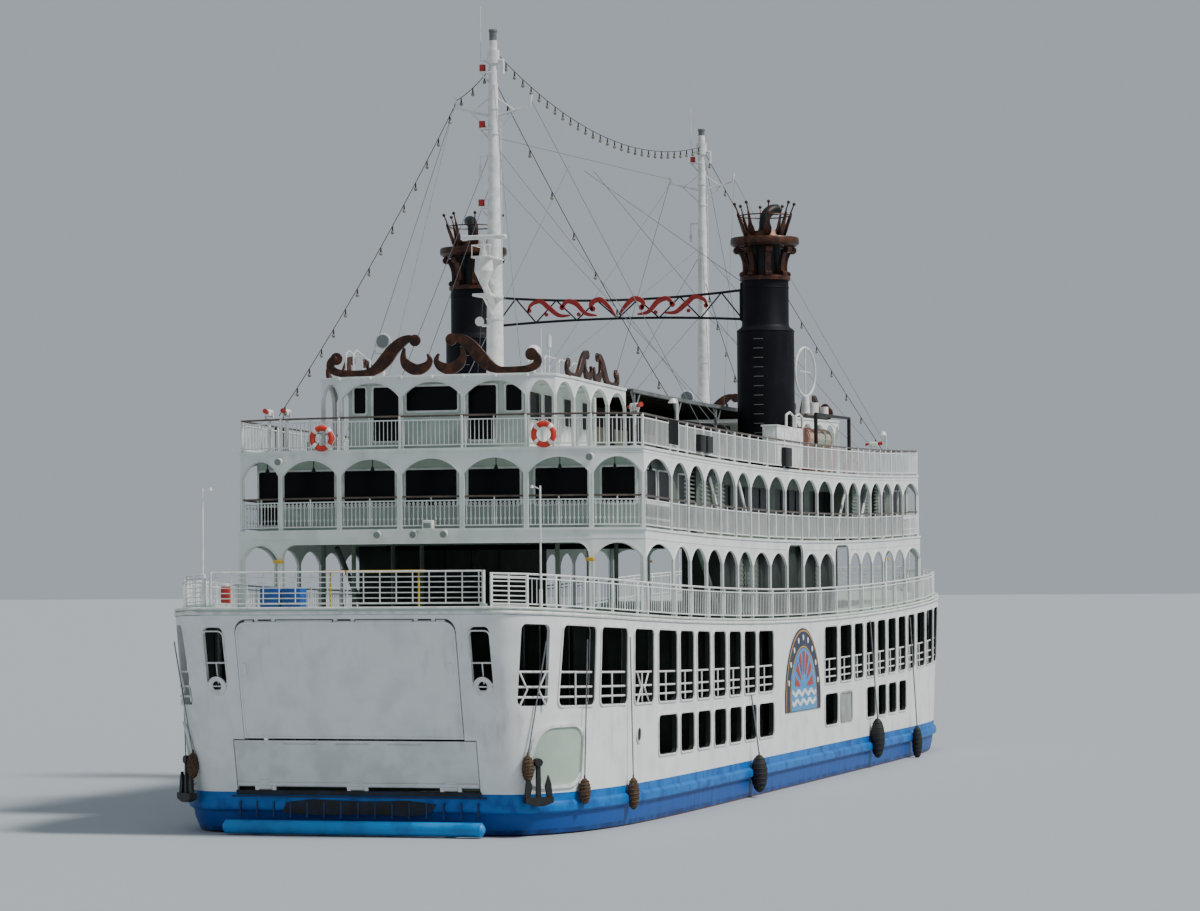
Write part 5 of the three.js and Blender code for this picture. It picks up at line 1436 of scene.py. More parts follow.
def hull_edge_run() -> Run:
    """The upper deck's edge, from the bow gate round the port side to the stern gate."""
    ahead = [(x, 6.6) for x in STATIONS[1:5]] + [(19.66, 6.58), (20.6, 6.54), (22.6, 6.38), (24.4, 6.1),
                                                 (25.8, 5.68), (26.8, 5.16), (27.5, 4.3)]
    return Run([*reversed(ahead), (0.0, 6.6), *((-x, y) for x, y in ahead)])


@dataclass
class Gates:
    """Four barred leaves across the ends of the upper deck, each on its hinge post."""

    x: float = 27.5
    hinge_y: float = 4.1
    low: float = UPPER_DECK + 0.08
    high: float = UPPER_DECK + 1.02
    bars: int = 7
    uprights: int = 8

    def build(self) -> None:
        """Builds the four leaves."""
        for end, x_sign in ENDS:
            for side, y_sign in SIDES:
                name = f"{end}_gate_{side}"
                move = (Matrix.Diagonal((x_sign, y_sign, 1, 1)),)
                finished(copies(self.leaf(), move), f"{name}_leaf", TRIM_WHITE, name, replaces=(name,))

    def leaf(self) -> Obj:
        """One leaf, on the port side of the bow."""
        x, low, high, start, stop = self.x, self.low, self.high, 0.04, self.hinge_y
        pitch = (high - low - 0.05) / (self.bars - 1)
        parts = [post(x, stop, low, high, 0.05, 16)]
        for k in range(self.bars):
            z = low + 0.025 + k * pitch
            parts.append(rod((x, start, z), (x, stop, z), 0.025 if k in (0, self.bars - 1) else 0.015, 8))
        for k in range(self.uprights + 1):
            y = start + 0.01 + (stop - start) * k / (self.uprights + 0.3)
            parts.append(post(x, y, low + 0.01, high - 0.01, 0.02, 8))
        return raised(joined(parts), x, UPPER_DECK)


class Solids:
    """The solids whose shape is right as it is: they keep it and take a finish."""

    # The car deck's casings and the saloon's sides take greens darkened with painted shade.
    plan = {
        DECK_GREEN: ("upper_car_deck", "promenade_deck", "promenade_deck_bow", "promenade_deck_stern", "top_deck"),
        WALL_GREEN: ("saloon_bow", "saloon_stern"), SHADE_GREEN: ("saloon_side_port", "saloon_side_starboard"),
        UPPER_WHITE: ("wheelhouse", "stern_wheelhouse"), CAR_DECK_SHADE: ("casing_port", "casing_starboard"),
        RAFT_PINK: ("raft_locker_port", "raft_locker_starboard"), HULL_BLUE: ("rudder_bow", "rudder_stern"),
        BRASS: ("propeller_bow", "propeller_stern"), ANCHOR_BLACK: ("anchor_port", "anchor_starboard")}

    def build(self) -> None:
        """Gives each solid its finish."""
        for finish, names in self.plan.items():
            for name in names:
                for slot in bpy.data.objects[name].material_slots:
                    slot.material = finish.material()


@dataclass
class Glazing:
    """Dark glass with dark frames in the window bands of the saloon's sides."""

    saloon_x: float = 18.9
    saloon_y: float = 5.4
    pillar: float = 0.9
    sill: float = 9.35
    head: float = 10.25
    border: float = 0.045

    def build(self) -> None:
        """Builds the panes and their frames."""
        edges = [self.pillar / 2] + [x for s in STATIONS if 0 < s < self.saloon_x for x in (s, s + self.pillar)]
        edges.append(self.saloon_x - self.pillar)
        bands = list(zip(edges[::2], edges[1::2]))
        panes, frames = [], []
        y, low, high, e = self.saloon_y, self.sill, self.head, self.border
        for start, stop in bands + [(-b, -a) for a, b in bands]:
            panes.append(sheered(box((start, y - 0.07, low), (stop, y - 0.05, high))))
            frames += [sheered(box((x - 0.02, y - 0.08, low), (x + 0.02, y - 0.02, high)))
                       for x in spaced(start, stop, 0.95)]
            edge = rim(start + e, stop - e, low + e, high - e, e, (0.06, 0.06 - e), 0.05)
            frames.append(sheered(turned_to(edge, Plane.SIDE, (0, y - 0.02, 0))))
        finished(copies(joined(panes)), "saloon_panes", GLASS)
        finished(copies(joined(frames)), "saloon_window_frames", DARK_STEEL)


# The houses on the top deck.

CANOPY_FRONT, CANOPY_Y, ROOF_TOP, ROOF_BOTTOM, HOUSE_HALF_WIDTH = 20.19, 3.9, 13.1, 12.9, 2.85
ROOF = ROOF_TOP + 0.0008
AT_BOW = Matrix.Identity(4)
AT_STERN = shift(2.3) @ Matrix.Scale(-1, 4, (1, 0, 0))
BOTH_HOUSES = (AT_BOW, AT_STERN)


def smoothed(points: Sequence[Sequence[float]], steps: int = 5) -> list[tuple[float, ...]]:
    """Points along a smooth curve through the given ones."""
    padded = [points[0], *points, points[-1]]
    found = []
    for a, b, c, d in zip(padded, padded[1:], padded[2:], padded[3:]):
        for k in range(steps):
            t = k / steps
            found.append(tuple(q + t / 2 * (r - p + t * (2 * p - 5 * q + 4 * r - s + t * (3 * (q - r) + s - p)))
                               for p, q, r, s in zip(a, b, c, d)))
    return found + [tuple(points[-1])]


def ribbon(points: Sequence[Point3]) -> list[Point2]:
    """The outline of a flat band along x and y points, each with its half width."""
    path = smoothed(points)
    left, right = [], []
    for k, (x, y, half) in enumerate(path):
        before, after = path[max(0, k - 1)], path[min(len(path) - 1, k + 1)]
        way = Vector((after[0] - before[0], after[1] - before[1])).normalized() * half
        left.append((x - way.y, y + way.x))
        right.append((x + way.y, y - way.x))
    return right + left[::-1]


def disc(x: float, y: float, radius: float, steps: int = 20) -> list[Point2]:
    """A round outline."""
    return [(x + radius * math.cos(math.tau * k / steps), y + radius * math.sin(math.tau * k / steps))
            for k in range(steps)]


@dataclass
class Canopy:
    """An arched canopy round a wheelhouse, with its roof."""

    end: str
    place: Matrix
    posts: tuple[float, ...]
    replaced: tuple[str, ...]
    arcade: Arcade = field(default_factory=lambda: Arcade(
        "canopy", TOP_DECK, ROOF_TOP, 12.45, ROOF_BOTTOM, 0.12, 0.0, 0.08, lip=0.03))

    def build(self) -> None:
        """Builds the arches with the roof's moulded edge and ribs, and the roof."""
        port = [(CANOPY_FRONT, FRONT_BAY / 2), (CANOPY_FRONT - 0.1, FRONT_BAY * 1.5), (19.7, CANOPY_Y - 0.15)]
        run = across(port + [(x, CANOPY_Y) for x in self.posts])
        panel = self.arcade.panel(run, run.marks, self.arcade.inner)
        edge = tube([(s, 0.0, ROOF_TOP - 0.035) for s in run.marks], 0.04)
        ribs = [block((x, 0, ROOF_BOTTOM - 0.02), (0.04, 3.7, 0.04)) for x in self.posts]
        arches = joined([bent_along(panel, run), bent_along(edge, run), *ribs])
        inner = [run.place(s, 0.0816) for s in run.marks]
        roof = plate([(p.x, p.y) for p in inner], 0.2, Plane.DECK, (0, 0, ROOF_BOTTOM))
        for obj, name, replaced in ((arches, "arches", self.replaced), (roof, "roof", ())):
            finished(sheered(copies(obj, (self.place,))), f"{self.end}_canopy_{name}", UPPER_WHITE, replaces=replaced)


@dataclass
class WheelhouseFittings:
    """Glass and frames in the side windows of both wheelhouses."""

    side_windows: tuple[float, ...] = (13.6, 15.5, 17.5, 18.9)
    half: float = 0.55
    sill: float = 11.75
    head: float = 12.6

    def build(self) -> None:
        """Builds a pane set back in every opening, and a raised frame round it, at both ends."""
        panes, frames, wall = [], [], HOUSE_HALF_WIDTH
        for centre in self.side_windows:
            x0, x1 = centre - self.half, centre + self.half
            panes += [block((centre, side * (wall - 0.06), (self.sill + self.head) / 2),
                            (self.half, 0.01, (self.head - self.sill) / 2)) for side in (-1, 1)]
            frames += [turned_to(rim(x0, x1, self.sill, self.head, 0.05, (0.09, 0.05), 0.055), Plane.SIDE, (0, y, 0))
                       for y in (wall + 0.025, 0.03 - wall)]
        for parts, name, paint in ((panes, "panes", GLASS), (frames, "frames", TRIM_WHITE)):
            finished(sheered(copies(joined(parts), BOTH_HOUSES)), f"wheelhouse_{name}", paint)


@dataclass
class Scrolls:
    """Bronze scroll ornaments: two groups on the front of each canopy, two on each of its sides."""

    thickness: float = 0.1
    side_scale: float = 0.78
    outer_y: float = 3.42
    reach: float = 3.42
    front_x: float = 20.1
    middles: Point2 = (16.22, 14.5)
    sunk: float = 0.05
    bands: tuple[tuple[Point3, ...], ...] = (
        ((0.30, 0.62, 0.10), (0.13, 0.46, 0.12), (0.13, 0.26, 0.12), (0.38, 0.13, 0.11), (0.80, 0.10, 0.10),
         (1.30, 0.11, 0.11), (1.62, 0.24, 0.17), (1.90, 0.50, 0.21), (2.15, 0.80, 0.19), (2.42, 1.02, 0.16),
         (2.66, 1.12, 0.11), (2.86, 1.08, 0.10)),
        ((2.50, 0.84, 0.03), (2.46, 0.56, 0.09), (2.58, 0.32, 0.16), (2.88, 0.17, 0.17), (3.18, 0.26, 0.14),
         (3.32, 0.44, 0.08), (3.24, 0.64, 0.03)),
        ((1.86, 0.74, 0.02), (2.02, 0.68, 0.08), (2.14, 0.60, 0.08)))
    knobs: tuple[Point3, ...] = ((0.30, 0.56, 0.19), (2.84, 1.06, 0.18))

    def build(self) -> None:
        """Builds all twelve groups."""
        parts = [self.fronts(ROOF + rise(self.front_x, ROOF_TOP))]
        parts += [sheered(self.sides(middle, place)) for middle, place in zip(self.middles, BOTH_HOUSES)]
        parts.append(sheered(copies(self.fronts(ROOF_TOP - self.sunk), (AT_STERN,))))
        finished(joined(parts), "scroll_ornaments", BRONZE,
                 replaces=("scroll_ornament_port", "scroll_ornament_starboard"))

    def group(self, plane: Plane) -> Obj:
        """One group of bands and knobs, from its outer end inwards."""
        shapes = [ribbon(band) for band in self.bands] + [disc(*knob) for knob in self.knobs]
        parts = [plate(shape, self.thickness - 0.01 * number, Plane.DECK, (0, 0, 0.005 * number))
                 for number, shape in enumerate(shapes)]
        return turned_to(bevelled(joined(parts), 0.008, 1), plane)

    def fronts(self, foot: float) -> Obj:
        """The mirrored pair on a canopy's front."""
        place = shift(self.front_x - self.thickness, self.outer_y, foot) @ Matrix.Scale(-1, 4, (0, 1, 0))
        return copies(copies(self.group(Plane.END), (place,)))

    def sides(self, middle: float, place: Matrix) -> Obj:
        """The mirrored pairs on both sides of one canopy."""
        scale = Matrix.Diagonal((self.side_scale, 1, self.side_scale, 1))
        reach = self.reach * self.side_scale + 0.06
        moves = [shift(middle + end * reach, CANOPY_Y, ROOF_TOP - self.sunk) @ Matrix.Scale(-end, 4, (1, 0, 0)) @ scale
                 for end in (1, -1)]
        return copies(copies(copies(self.group(Plane.SIDE), moves)), (place,))


@dataclass
class Awning:
    """A flat roof on thin posts between the wheelhouses, with ribs under it."""

    aft: float = -8.4
    front: float = 12.3
    half: float = 4.0
    low: float = 13.02
    high: float = 13.14
    posts: tuple[float, ...] = (-8.2, -3.2, 1.9, 7.0, 11.9)

    def build(self) -> None:
        """Builds the roof and its frame."""
        aft, front, half, low, high = self.aft, self.front, self.half, self.low, self.high
        parts = [box((aft, -half, high - 0.05), (front, half, high), 0.015)]
        for side in (-1, 1):
            y = side * (half - 0.05)
            parts.append(box((aft, y - 0.05, low), (front, y + 0.05, high - 0.02), 0.01))
            parts += [post(x, side * (half - 0.1), TOP_DECK, low + 0.02, 0.05, 12) for x in self.posts]
            parts += [rod((x, y, low - 0.55), (x + lean, y, low), 0.03, 8) for x in self.posts for lean in (-0.5, 0.5)]
        finished(sheered(joined(parts)), "awning_roof", GREY, replaces=("awning",))
        # Ribs and a sheet under the roof in almost black brown, painted shade of the awning's underside.
        dark = [box((x - 0.03, -half + 0.03, low + 0.01), (x + 0.03, half - 0.03, high - 0.03))
                for x in [aft + 0.05, *spaced(aft, front, 1.0), front - 0.05]]
        dark.append(box((aft + 0.02, -half + 0.1, high - 0.06), (front - 0.02, half - 0.1, high - 0.051)))
        finished(sheered(joined(dark)), "awning_soffit", SHADE_BROWN)


# Masts, funnels and the truss.


@dataclass
class Mast:
    """A tapered mast with an upturned yard, a ladder, lamps and a head."""

    name: str
    x: float
    top: float
    radius: float
    top_radius: float
    yard: float
    foot: float = ROOF
    lamps: tuple[float, ...] = ()
    lantern: float = 0.0

    def build(self) -> None:
        """Builds the mast, its lamps and its lantern."""
        for parts, kind, paint, replaced in (
                (self.pole(), "pole", TRIM_WHITE, (self.name,)), (self.lamp_glasses(), "lamps", RED, ()),
                (self.head_light(), "lantern", GREY, ())):
            finished(raised(joined(parts), self.x, self.foot), f"{self.name}_{kind}", paint, replaces=replaced)

    def radius_at(self, z: float) -> float:
        """The pole's radius at a height."""
        return self.radius + (self.top_radius - self.radius) * (z - self.foot) / (self.top - self.foot)

    def pole(self) -> list[Obj]:
        """The tube with its collars, yard, struts, ladder, lamp brackets and head."""
        x, foot, top, yard = self.x, self.foot, self.top, self.yard
        body = lathe([(0, foot), (self.radius, foot), (self.radius_at(top), top - 0.02), (0, top)], 28)
        body.data.transform(shift(x))
        parts = [body]
        parts += [post(x, 0, z - 0.03, z + 0.03, self.radius_at(z) + 0.02, 24)
                  for z in (foot + 0.1, foot + 2.2, yard - 0.8, yard, top - 0.4)]
        for side in (-1, 1):
            arm = [(x, 0, yard - 0.25), (x, side * 1.22, yard + 0.06), (x, side * 1.28, yard + 0.4)]
            parts += [tube(arm, 0.04, 10), rod((x, 0, yard - 0.8), (x, side * 0.75, yard - 0.1), 0.025, 8),
                      rod((x, side * 0.75, yard - 0.1), (x, 0, yard + 0.45), 0.02, 8)]
        parts += self.ladder()
        for z in self.lamps:
            r = self.radius_at(z)
            parts += [box((x - 0.1, -r - 0.3, z - 0.06), (x + 0.16, 0, z), 0.01),
                      rod((x, -r - 0.26, z - 0.05), (x, -r + 0.05, z - 0.4), 0.03, 8)]
        head = top - 0.75
        return parts + [
            post(x, 0, head, head + 0.42, self.top_radius + 0.07, 24),
            box((x - 0.08, -0.3, head + 0.05), (x + 0.08, 0.36, head + 0.13), 0.02),
            post(x, 0.33, head - 0.35, head + 0.1, 0.05), post(x, -0.42, head + 0.1, top + 1.1, 0.014, 6),
            rod((x, -0.42, head + 0.1), (x, 0, head + 0.1), 0.02, 8),
            tube([(x, 0, yard - 1.5), (x, -0.46, yard - 1.5), (x, -0.46, yard - 1.95)], 0.035, 8),
            post(x, -0.46, yard - 1.95, yard - 2.2, 0.06)]

    def ladder(self) -> list[Obj]:
        """Two rails and their rungs up the aft side."""
        low, high = self.foot + 0.3, self.yard - 0.4

        def back(z: float, y: float) -> Point3:
            """A point behind the pole."""
            return (self.x - self.radius_at(z) - 0.12, y, z)
        parts = [rod(back(low, y), back(high, y), 0.015, 6) for y in (-0.14, 0.14)]
        parts += [rod(back(z, -0.14), back(z, 0.14), 0.011, 6) for z in spaced(low, high, 0.3)]
        return parts + [rod(back(z, side * 0.14), (self.x, side * 0.1, z), 0.012, 6)
                        for z in spaced(low, high, 2.0) for side in (-1, 1)]

    def lamp_glasses(self) -> list[Obj]:
        """The red glasses on the brackets."""
        return [post(self.x + 0.04, -self.radius_at(z) - 0.2, z, z + 0.22, 0.1, 16) for z in self.lamps]

    def head_light(self) -> list[Obj]:
        """The lantern at the head, with its cap."""
        head = self.top + self.lantern
        return [post(self.x, 0, self.top - 0.02, head, 0.12, 18), post(self.x, 0, head - 0.04, head + 0.03, 0.14, 18)]


@dataclass
class RadarGear:
    """The platforms and pedestal on the foremast, and the turning scanner."""

    mast_x: float = 14.2
    x: float = 15.25
    z: float = 17.75
    half: float = 0.75

    def build(self) -> None:
        """Builds the fixed gear and the scanner."""
        x, z, mast = self.x, self.z, self.mast_x
        parts = [box((mast, -0.32, z - 0.6), (x + 0.33, 0.32, z - 0.54), 0.01),
                 post(x, 0, z - 0.55, z - 0.3, 0.16, 20, 0.11), post(x, 0, z - 0.3, z - 0.12, 0.11, 20),
                 rod((mast, 0, z - 1.5), (x + 0.25, 0, z - 0.57), 0.05, 10),
                 post(x, 0, z - 1.45, z - 1.0, 0.1, 24, 0.3), post(x, 0, z - 1.0, z - 0.6, 0.3, 24, 0.27),
                 rod((mast, 0, z - 2.1), (x, 0, z - 1.4), 0.12, 14, 0.1),
                 rod((mast + 0.2, -0.36, 15.1), (mast + 0.2, -0.1, 15.1), 0.05, 12),
                 rod((mast + 0.1, -0.4, 15.22), (mast + 0.34, -0.4, 15.22), 0.08, 20, 0.15),
                 box((mast, -0.3, 15.95), (x + 0.28, 0.3, 16.03), 0.01),
                 rod((mast, 0, 15.3), (x + 0.1, 0, 15.97), 0.04)]
        for y in (-0.3, 0.3):
            parts.append(tube([(mast + 0.2, y, z - 0.2), (x + 0.3, y, z - 0.2), (x + 0.3, 0, z - 0.2)], 0.015, 8))
            parts += [post(spot, y, z - 0.56, z - 0.2, 0.015, 8) for spot in (mast + 0.3, x + 0.28)]
        scanner = [post(x, 0, z - 0.119, z + 0.02, 0.09, 20),
                   bevelled(block((x, 0, z + 0.07), (0.09, self.half, 0.07)), 0.035, 3)]
        finished(raised(joined(parts), mast, ROOF_TOP), "radar_platforms", TRIM_WHITE)
        finished(raised(joined(scanner), mast, ROOF_TOP), "radar_scanner_bar", TRIM_WHITE, "radar_scanner",
                 replaces=("radar_scanner",))


@dataclass
class Funnels:
    """Two navy funnels with bronze crowns, dark exhausts and ladders."""

    x: float = 0.6
    y: float = 5.38
    lower: float = 1.0
    upper: float = 0.82
    shoulder: float = 15.75
    top: float = 17.5
    collar: Point3 = (18.7, 19.0, 1.2)
    tip: float = 20.25
    spikes: int = 8

    def build(self) -> None:
        """Builds both funnels."""
        for obj, name, finish, replaced in (
                (self.body(), "funnel_bodies", NAVY, ("funnel_port", "funnel_starboard")),
                (self.rungs(), "funnel_rungs", GREY, ()), (self.crown(), "funnel_crowns", BRONZE, ()),
                (self.exhaust(), "funnel_exhausts", DARK_STEEL, ())):
            obj.data.transform(shift(self.x, self.y))
            finished(copies(raised(obj, self.x, TOP_DECK)), name, finish, replaces=replaced)

    def body(self) -> Obj:
        """The stepped tube with its bands and the truss's pad."""
        base, low, u, step, top = TOP_DECK, self.lower, self.upper, self.shoulder, self.top
        parts = [lathe([(0, base), (low, base), (low, step), (low - 0.03, step + 0.04), (u + 0.04, step + 0.12),
                        (u, step + 0.2), (u, top), (0, top)], 48)]
        parts += [ring((0, 0, z), (0, 0, 1), r, 0.02, 48, 8)
                  for z, r in ((base + 0.12, low), (step - 0.02, low), (top - 0.25, u))]
        parts.append(box((-0.35, -self.y + 4.56, step + 0.35), (0.35, -0.4, top - 0.05), 0.03))
        return joined(parts)

    def rungs(self) -> Obj:
        """The ladder of bent rungs up the fore side."""
        near, far = self.lower - 0.02, self.lower + 0.09
        return joined([tube([(near, -0.15, z), (far, -0.15, z), (far, 0.15, z), (near, 0.15, z)], 0.012, 6)
                       for z in spaced(TOP_DECK + 0.3, self.shoulder, 0.33)])

    def crown(self) -> Obj:
        """A band, flared brackets, a disc collar, leaves and balled rods joined by a ring."""
        (z0, z1, r), top, u = self.collar, self.top, self.upper
        moves = [Matrix.Rotation(math.tau * (k + 0.5) / self.spikes, 4, "Z") for k in range(self.spikes)]
        return joined([
            lathe([(0, top), (u + 0.06, top), (u + 0.06, top + 0.12), (u + 0.02, top + 0.16), (0, top + 0.16)], 48),
            lathe([(0, z0), (r - 0.1, z0), (r, z0 + 0.08), (r, z1 - 0.06), (r - 0.03, z1), (0.72, z1),
                   (0.66, z1 + 0.12), (0.62, z1 + 0.22), (0, z1 + 0.22)], 48),
            copies(self.bracket(), moves), copies(self.spike(), moves),
            ring((0, 0, z1 + 0.78), (0, 0, 1), 0.9, 0.022, 48, 8)])

    def bracket(self) -> Obj:
        """A flared bracket that ends in a small volute under the collar."""
        z = self.top + 0.1
        shape = ribbon([(0.72, z, 0.1), (0.7, z + 0.3, 0.08), (0.74, z + 0.62, 0.07), (0.86, z + 0.9, 0.07),
                        (1.0, z + 1.02, 0.06)])
        parts = [plate(shape, 0.2, Plane.SIDE, (0, 0.1, 0)),
                 plate(disc(0.98, z + 0.96, 0.13), 0.22, Plane.SIDE, (0, 0.11, 0)),
                 plate(disc(0.8, z + 0.12, 0.1), 0.22, Plane.SIDE, (0, 0.11, 0))]
        return bevelled(joined(parts), 0.01, 1)

    def spike(self) -> Obj:
        """A leaf at the foot, then a rod with balls that leans outwards."""
        z, top_r = self.collar[1], 1.05
        leaf = plate([(-0.05, 0), (0.05, 0), (0.13, 0.16), (0.14, 0.3), (0.07, 0.5), (0.0, 0.9), (-0.07, 0.5),
                      (-0.14, 0.3), (-0.13, 0.16)], 0.05, Plane.END)
        leaf.data.transform(shift(0.66, 0, z + 0.02) @ Matrix.Rotation(0.33, 4, "Y"))
        return joined([rod((0.62, 0, z + 0.05), (top_r, 0, self.tip - 0.05), 0.05, 10, 0.02),
                       ball((top_r, 0, self.tip - 0.06), 0.06), ball((0.93, 0, z + 0.86), 0.045),
                       bevelled(leaf, 0.015, 1)])

    def exhaust(self) -> Obj:
        """The dark drum inside the crown and the bent pipe above it."""
        bend = [(0, 0, 19.1), (0, 0, 19.5), (-0.06, 0.04, 19.8), (-0.28, 0.18, 20.0), (-0.52, 0.33, 20.04)]
        return joined([post(0, 0, self.top + 0.1, self.collar[0] + 0.05, 0.55, 36), tube(bend, 0.19, 16, smooth=True)])


@dataclass
class Truss:
    """The lattice truss between the funnels, with red scrolls on it."""

    x: float = 0.6
    reach: float = 4.5592
    ends: Point2 = (16.15, 17.25)
    middle: Point2 = (16.3, 17.03)
    panels: int = 12
    scrolls: tuple[tuple[Point3, ...], ...] = (
        ((0.08, 16.42, 0.03), (0.3, 16.72, 0.07), (0.62, 16.98, 0.09), (0.95, 16.86, 0.08), (0.92, 16.6, 0.05)),
        ((0.75, 16.42, 0.03), (1.15, 16.5, 0.07), (1.5, 16.85, 0.09), (1.85, 16.95, 0.08), (2.05, 16.72, 0.05)),
        ((1.75, 16.45, 0.03), (2.15, 16.46, 0.07), (2.5, 16.72, 0.09), (2.85, 16.98, 0.08), (3.2, 16.86, 0.06),
         (3.3, 16.62, 0.03)))
    balls: tuple[Point3, ...] = (
        (0.9, 16.66, 0.1), (2.03, 16.74, 0.1), (3.26, 16.66, 0.08), (1.42, 16.48, 0.07), (2.62, 16.5, 0.07))

    def build(self) -> None:
        """Builds the lattice and the flourish."""
        finished(raised(joined(self.lattice()), self.x, TOP_DECK), "funnel_lattice", DARK_STEEL,
                 replaces=("funnel_truss",))
        finished(raised(self.flourish(), self.x, TOP_DECK), "truss_flourish", RED)

    def chord(self, top: bool, share: float) -> Point3:
        """A point on a chord, share running from -1 to 1 across the ship."""
        middle, end = self.middle[top], self.ends[top]
        return (self.x, share * self.reach, middle + (end - middle) * share ** 2 + (-0.04 if top else 0.04))

    def lattice(self) -> list[Obj]:
        """Two bowed chords, the braces between them and end plates."""
        shares = [2 * k / self.panels - 1 for k in range(self.panels + 1)]
        parts = [tube([self.chord(top, share) for share in shares], 0.045, 10) for top in (False, True)]
        parts += [rod(self.chord(bool(k % 2), start), self.chord(not k % 2, stop), 0.026, 8)
                  for k, (start, stop) in enumerate(zip(shares, shares[1:]))]
        for side in (-1, 1):
            foot = self.chord(False, side * 0.985)
            parts.append(rod(foot, (self.x, foot[1], self.chord(True, 0.985)[2]), 0.04, 8))
        return parts

    def flourish(self) -> Obj:
        """Mirrored red scrolls on the middle of the truss."""
        shapes = [ribbon(scroll) for scroll in self.scrolls] + [disc(*spot) for spot in self.balls]
        parts = [plate(shape, 0.06, Plane.END, (self.x + 0.06, 0, 0.04)) for shape in shapes]
        return copies(bevelled(joined(parts), 0.008, 1))


# Fittings.


@dataclass
class LifeRings:
    """Red lifebuoys with white bands, hung on the top rail."""

    places: tuple[Point3, ...] = ((20.34, -3.5, 11.52), (20.34, 3.58, 11.52))
    major: float = 0.31
    minor: float = 0.088

    def build(self) -> None:
        """Builds the rings, their bands and grab lines."""
        rings = [ring(place, (1, 0, 0), self.major, self.minor, 36, 14) for place in self.places]
        trim = [tube([self.around(place, turn + k * 0.09, 0) for k in range(-2, 3)], self.minor + 0.006, 14)
                for place in self.places for turn in (0.785, 2.356, 3.927, 5.498)]
        trim += [tube([self.around(place, 0.785 + 0.785 * k, (0.1, 0.14)[k % 2]) for k in range(9)], 0.012, 6)
                 for place in self.places]
        finished(copies(joined(rings), BOTH_ENDS), "lifebuoys", BUOY_RED)
        finished(copies(joined(trim), BOTH_ENDS), "lifebuoy_bands", TRIM_WHITE)

    def around(self, place: Point3, turn: float, out: float) -> Point3:
        """A point round one ring, at an angle and a distance out from its middle line."""
        reach = self.major + out
        return (place[0], place[1] + reach * math.cos(turn), place[2] + reach * math.sin(turn))


@dataclass
class Telescopes:
    """Viewing telescopes on posts along the top rail: a white yoke and body with a red barrel."""

    places: tuple[Point3, ...] = ((19.75, -5.45, 0.0), (19.8, -4.85, 0.0), (19.3, 6.1, 0.9), (-13.1, 6.1, 1.8))
    height: float = 1.22

    def build(self) -> None:
        """Builds the posts with their bodies, and the barrels."""
        white = [post(0, 0, 0, 1.0, 0.05, 14), post(0, 0, 0, 0.04, 0.14, 20),
                 block((0, 0, 0.99), (0.05, 0.14, 0.03), 0.015),
                 bevelled(box((-0.16, -0.09, 1.08), (0.18, 0.09, 1.3)), 0.05, 3)]
        white += [block((0, side * 0.12, 1.12), (0.04, 0.015, 0.12)) for side in (-1, 1)]
        barrel = [rod((0.16, 0, self.height), (0.36, 0, self.height + 0.03), 0.06, 16, 0.075),
                  rod((-0.3, 0, self.height - 0.03), (-0.16, 0, self.height), 0.05, 14)]
        moves = [shift(*aloft(x, y, TOP_DECK)) @ Matrix.Rotation(turn, 4, "Z") for x, y, turn in self.places]
        finished(copies(joined(white), moves), "telescope_posts", TRIM_WHITE)
        finished(copies(joined(barrel), moves), "telescope_barrels", RED)


@dataclass
class FasciaLamps:
    """Floodlights and small lamps on the fascias of the bow and stern fronts."""

    floods: tuple[Point3, ...] = (
        (20.08, -4.97, 10.86), (20.08, 4.97, 10.86), (20.34, -1.67, 8.6), (20.38, -0.5, 8.6), (20.38, 0.47, 8.6))
    box_lamp: Point3 = (20.4, -0.04, 8.86)
    knob_z: float = 12.99

    def build(self) -> None:
        """Builds the lamp cases and their glasses at both ends, and the lamps behind the arches."""
        cases, glasses = [], []
        for x, y, z in self.floods:
            cases += [rod((x, y, z), (x + 0.2, y, z - 0.04), 0.1, 20, 0.13), rod((x - 0.1, y, z), (x, y, z), 0.05, 12)]
            glasses.append(rod((x + 0.2, y, z - 0.04), (x + 0.215, y, z - 0.043), 0.1, 20))
        x, y, z = self.box_lamp
        cases.append(bevelled(box((x - 0.05, y - 0.17, z - 0.14), (x + 0.18, y + 0.17, z + 0.14)), 0.04))
        glasses.append(box((x + 0.17, y - 0.12, z - 0.1), (x + 0.19, y + 0.12, z + 0.06), 0.02))
        knobs = [block((20.23 - 0.02 * abs(k), k, self.knob_z + 0.05), (0.07, 0.06, 0.05), 0.02) for k in range(-3, 4)]
        knobs = sheered(copies(joined(knobs), BOTH_HOUSES))
        finished(joined([copies(joined(cases), BOTH_ENDS), knobs]), "fascia_lamps", TRIM_WHITE)
        finished(copies(joined(glasses), BOTH_ENDS), "fascia_lamp_glasses", LAMP_GLASS)
        lamp = joined([post(0, 0.3, 10.34, 10.66, 0.015, 8), post(0, 0.3, 10.22, 10.36, 0.075, 12, 0.03)])
        middles = [shift((a + b) / 2) for a, b in zip(HOUSE.marks, HOUSE.marks[1:])]
        finished(copies(along(copies(lamp, middles[1:-1]), HOUSE)), "arcade_lamps", DARK_STEEL)


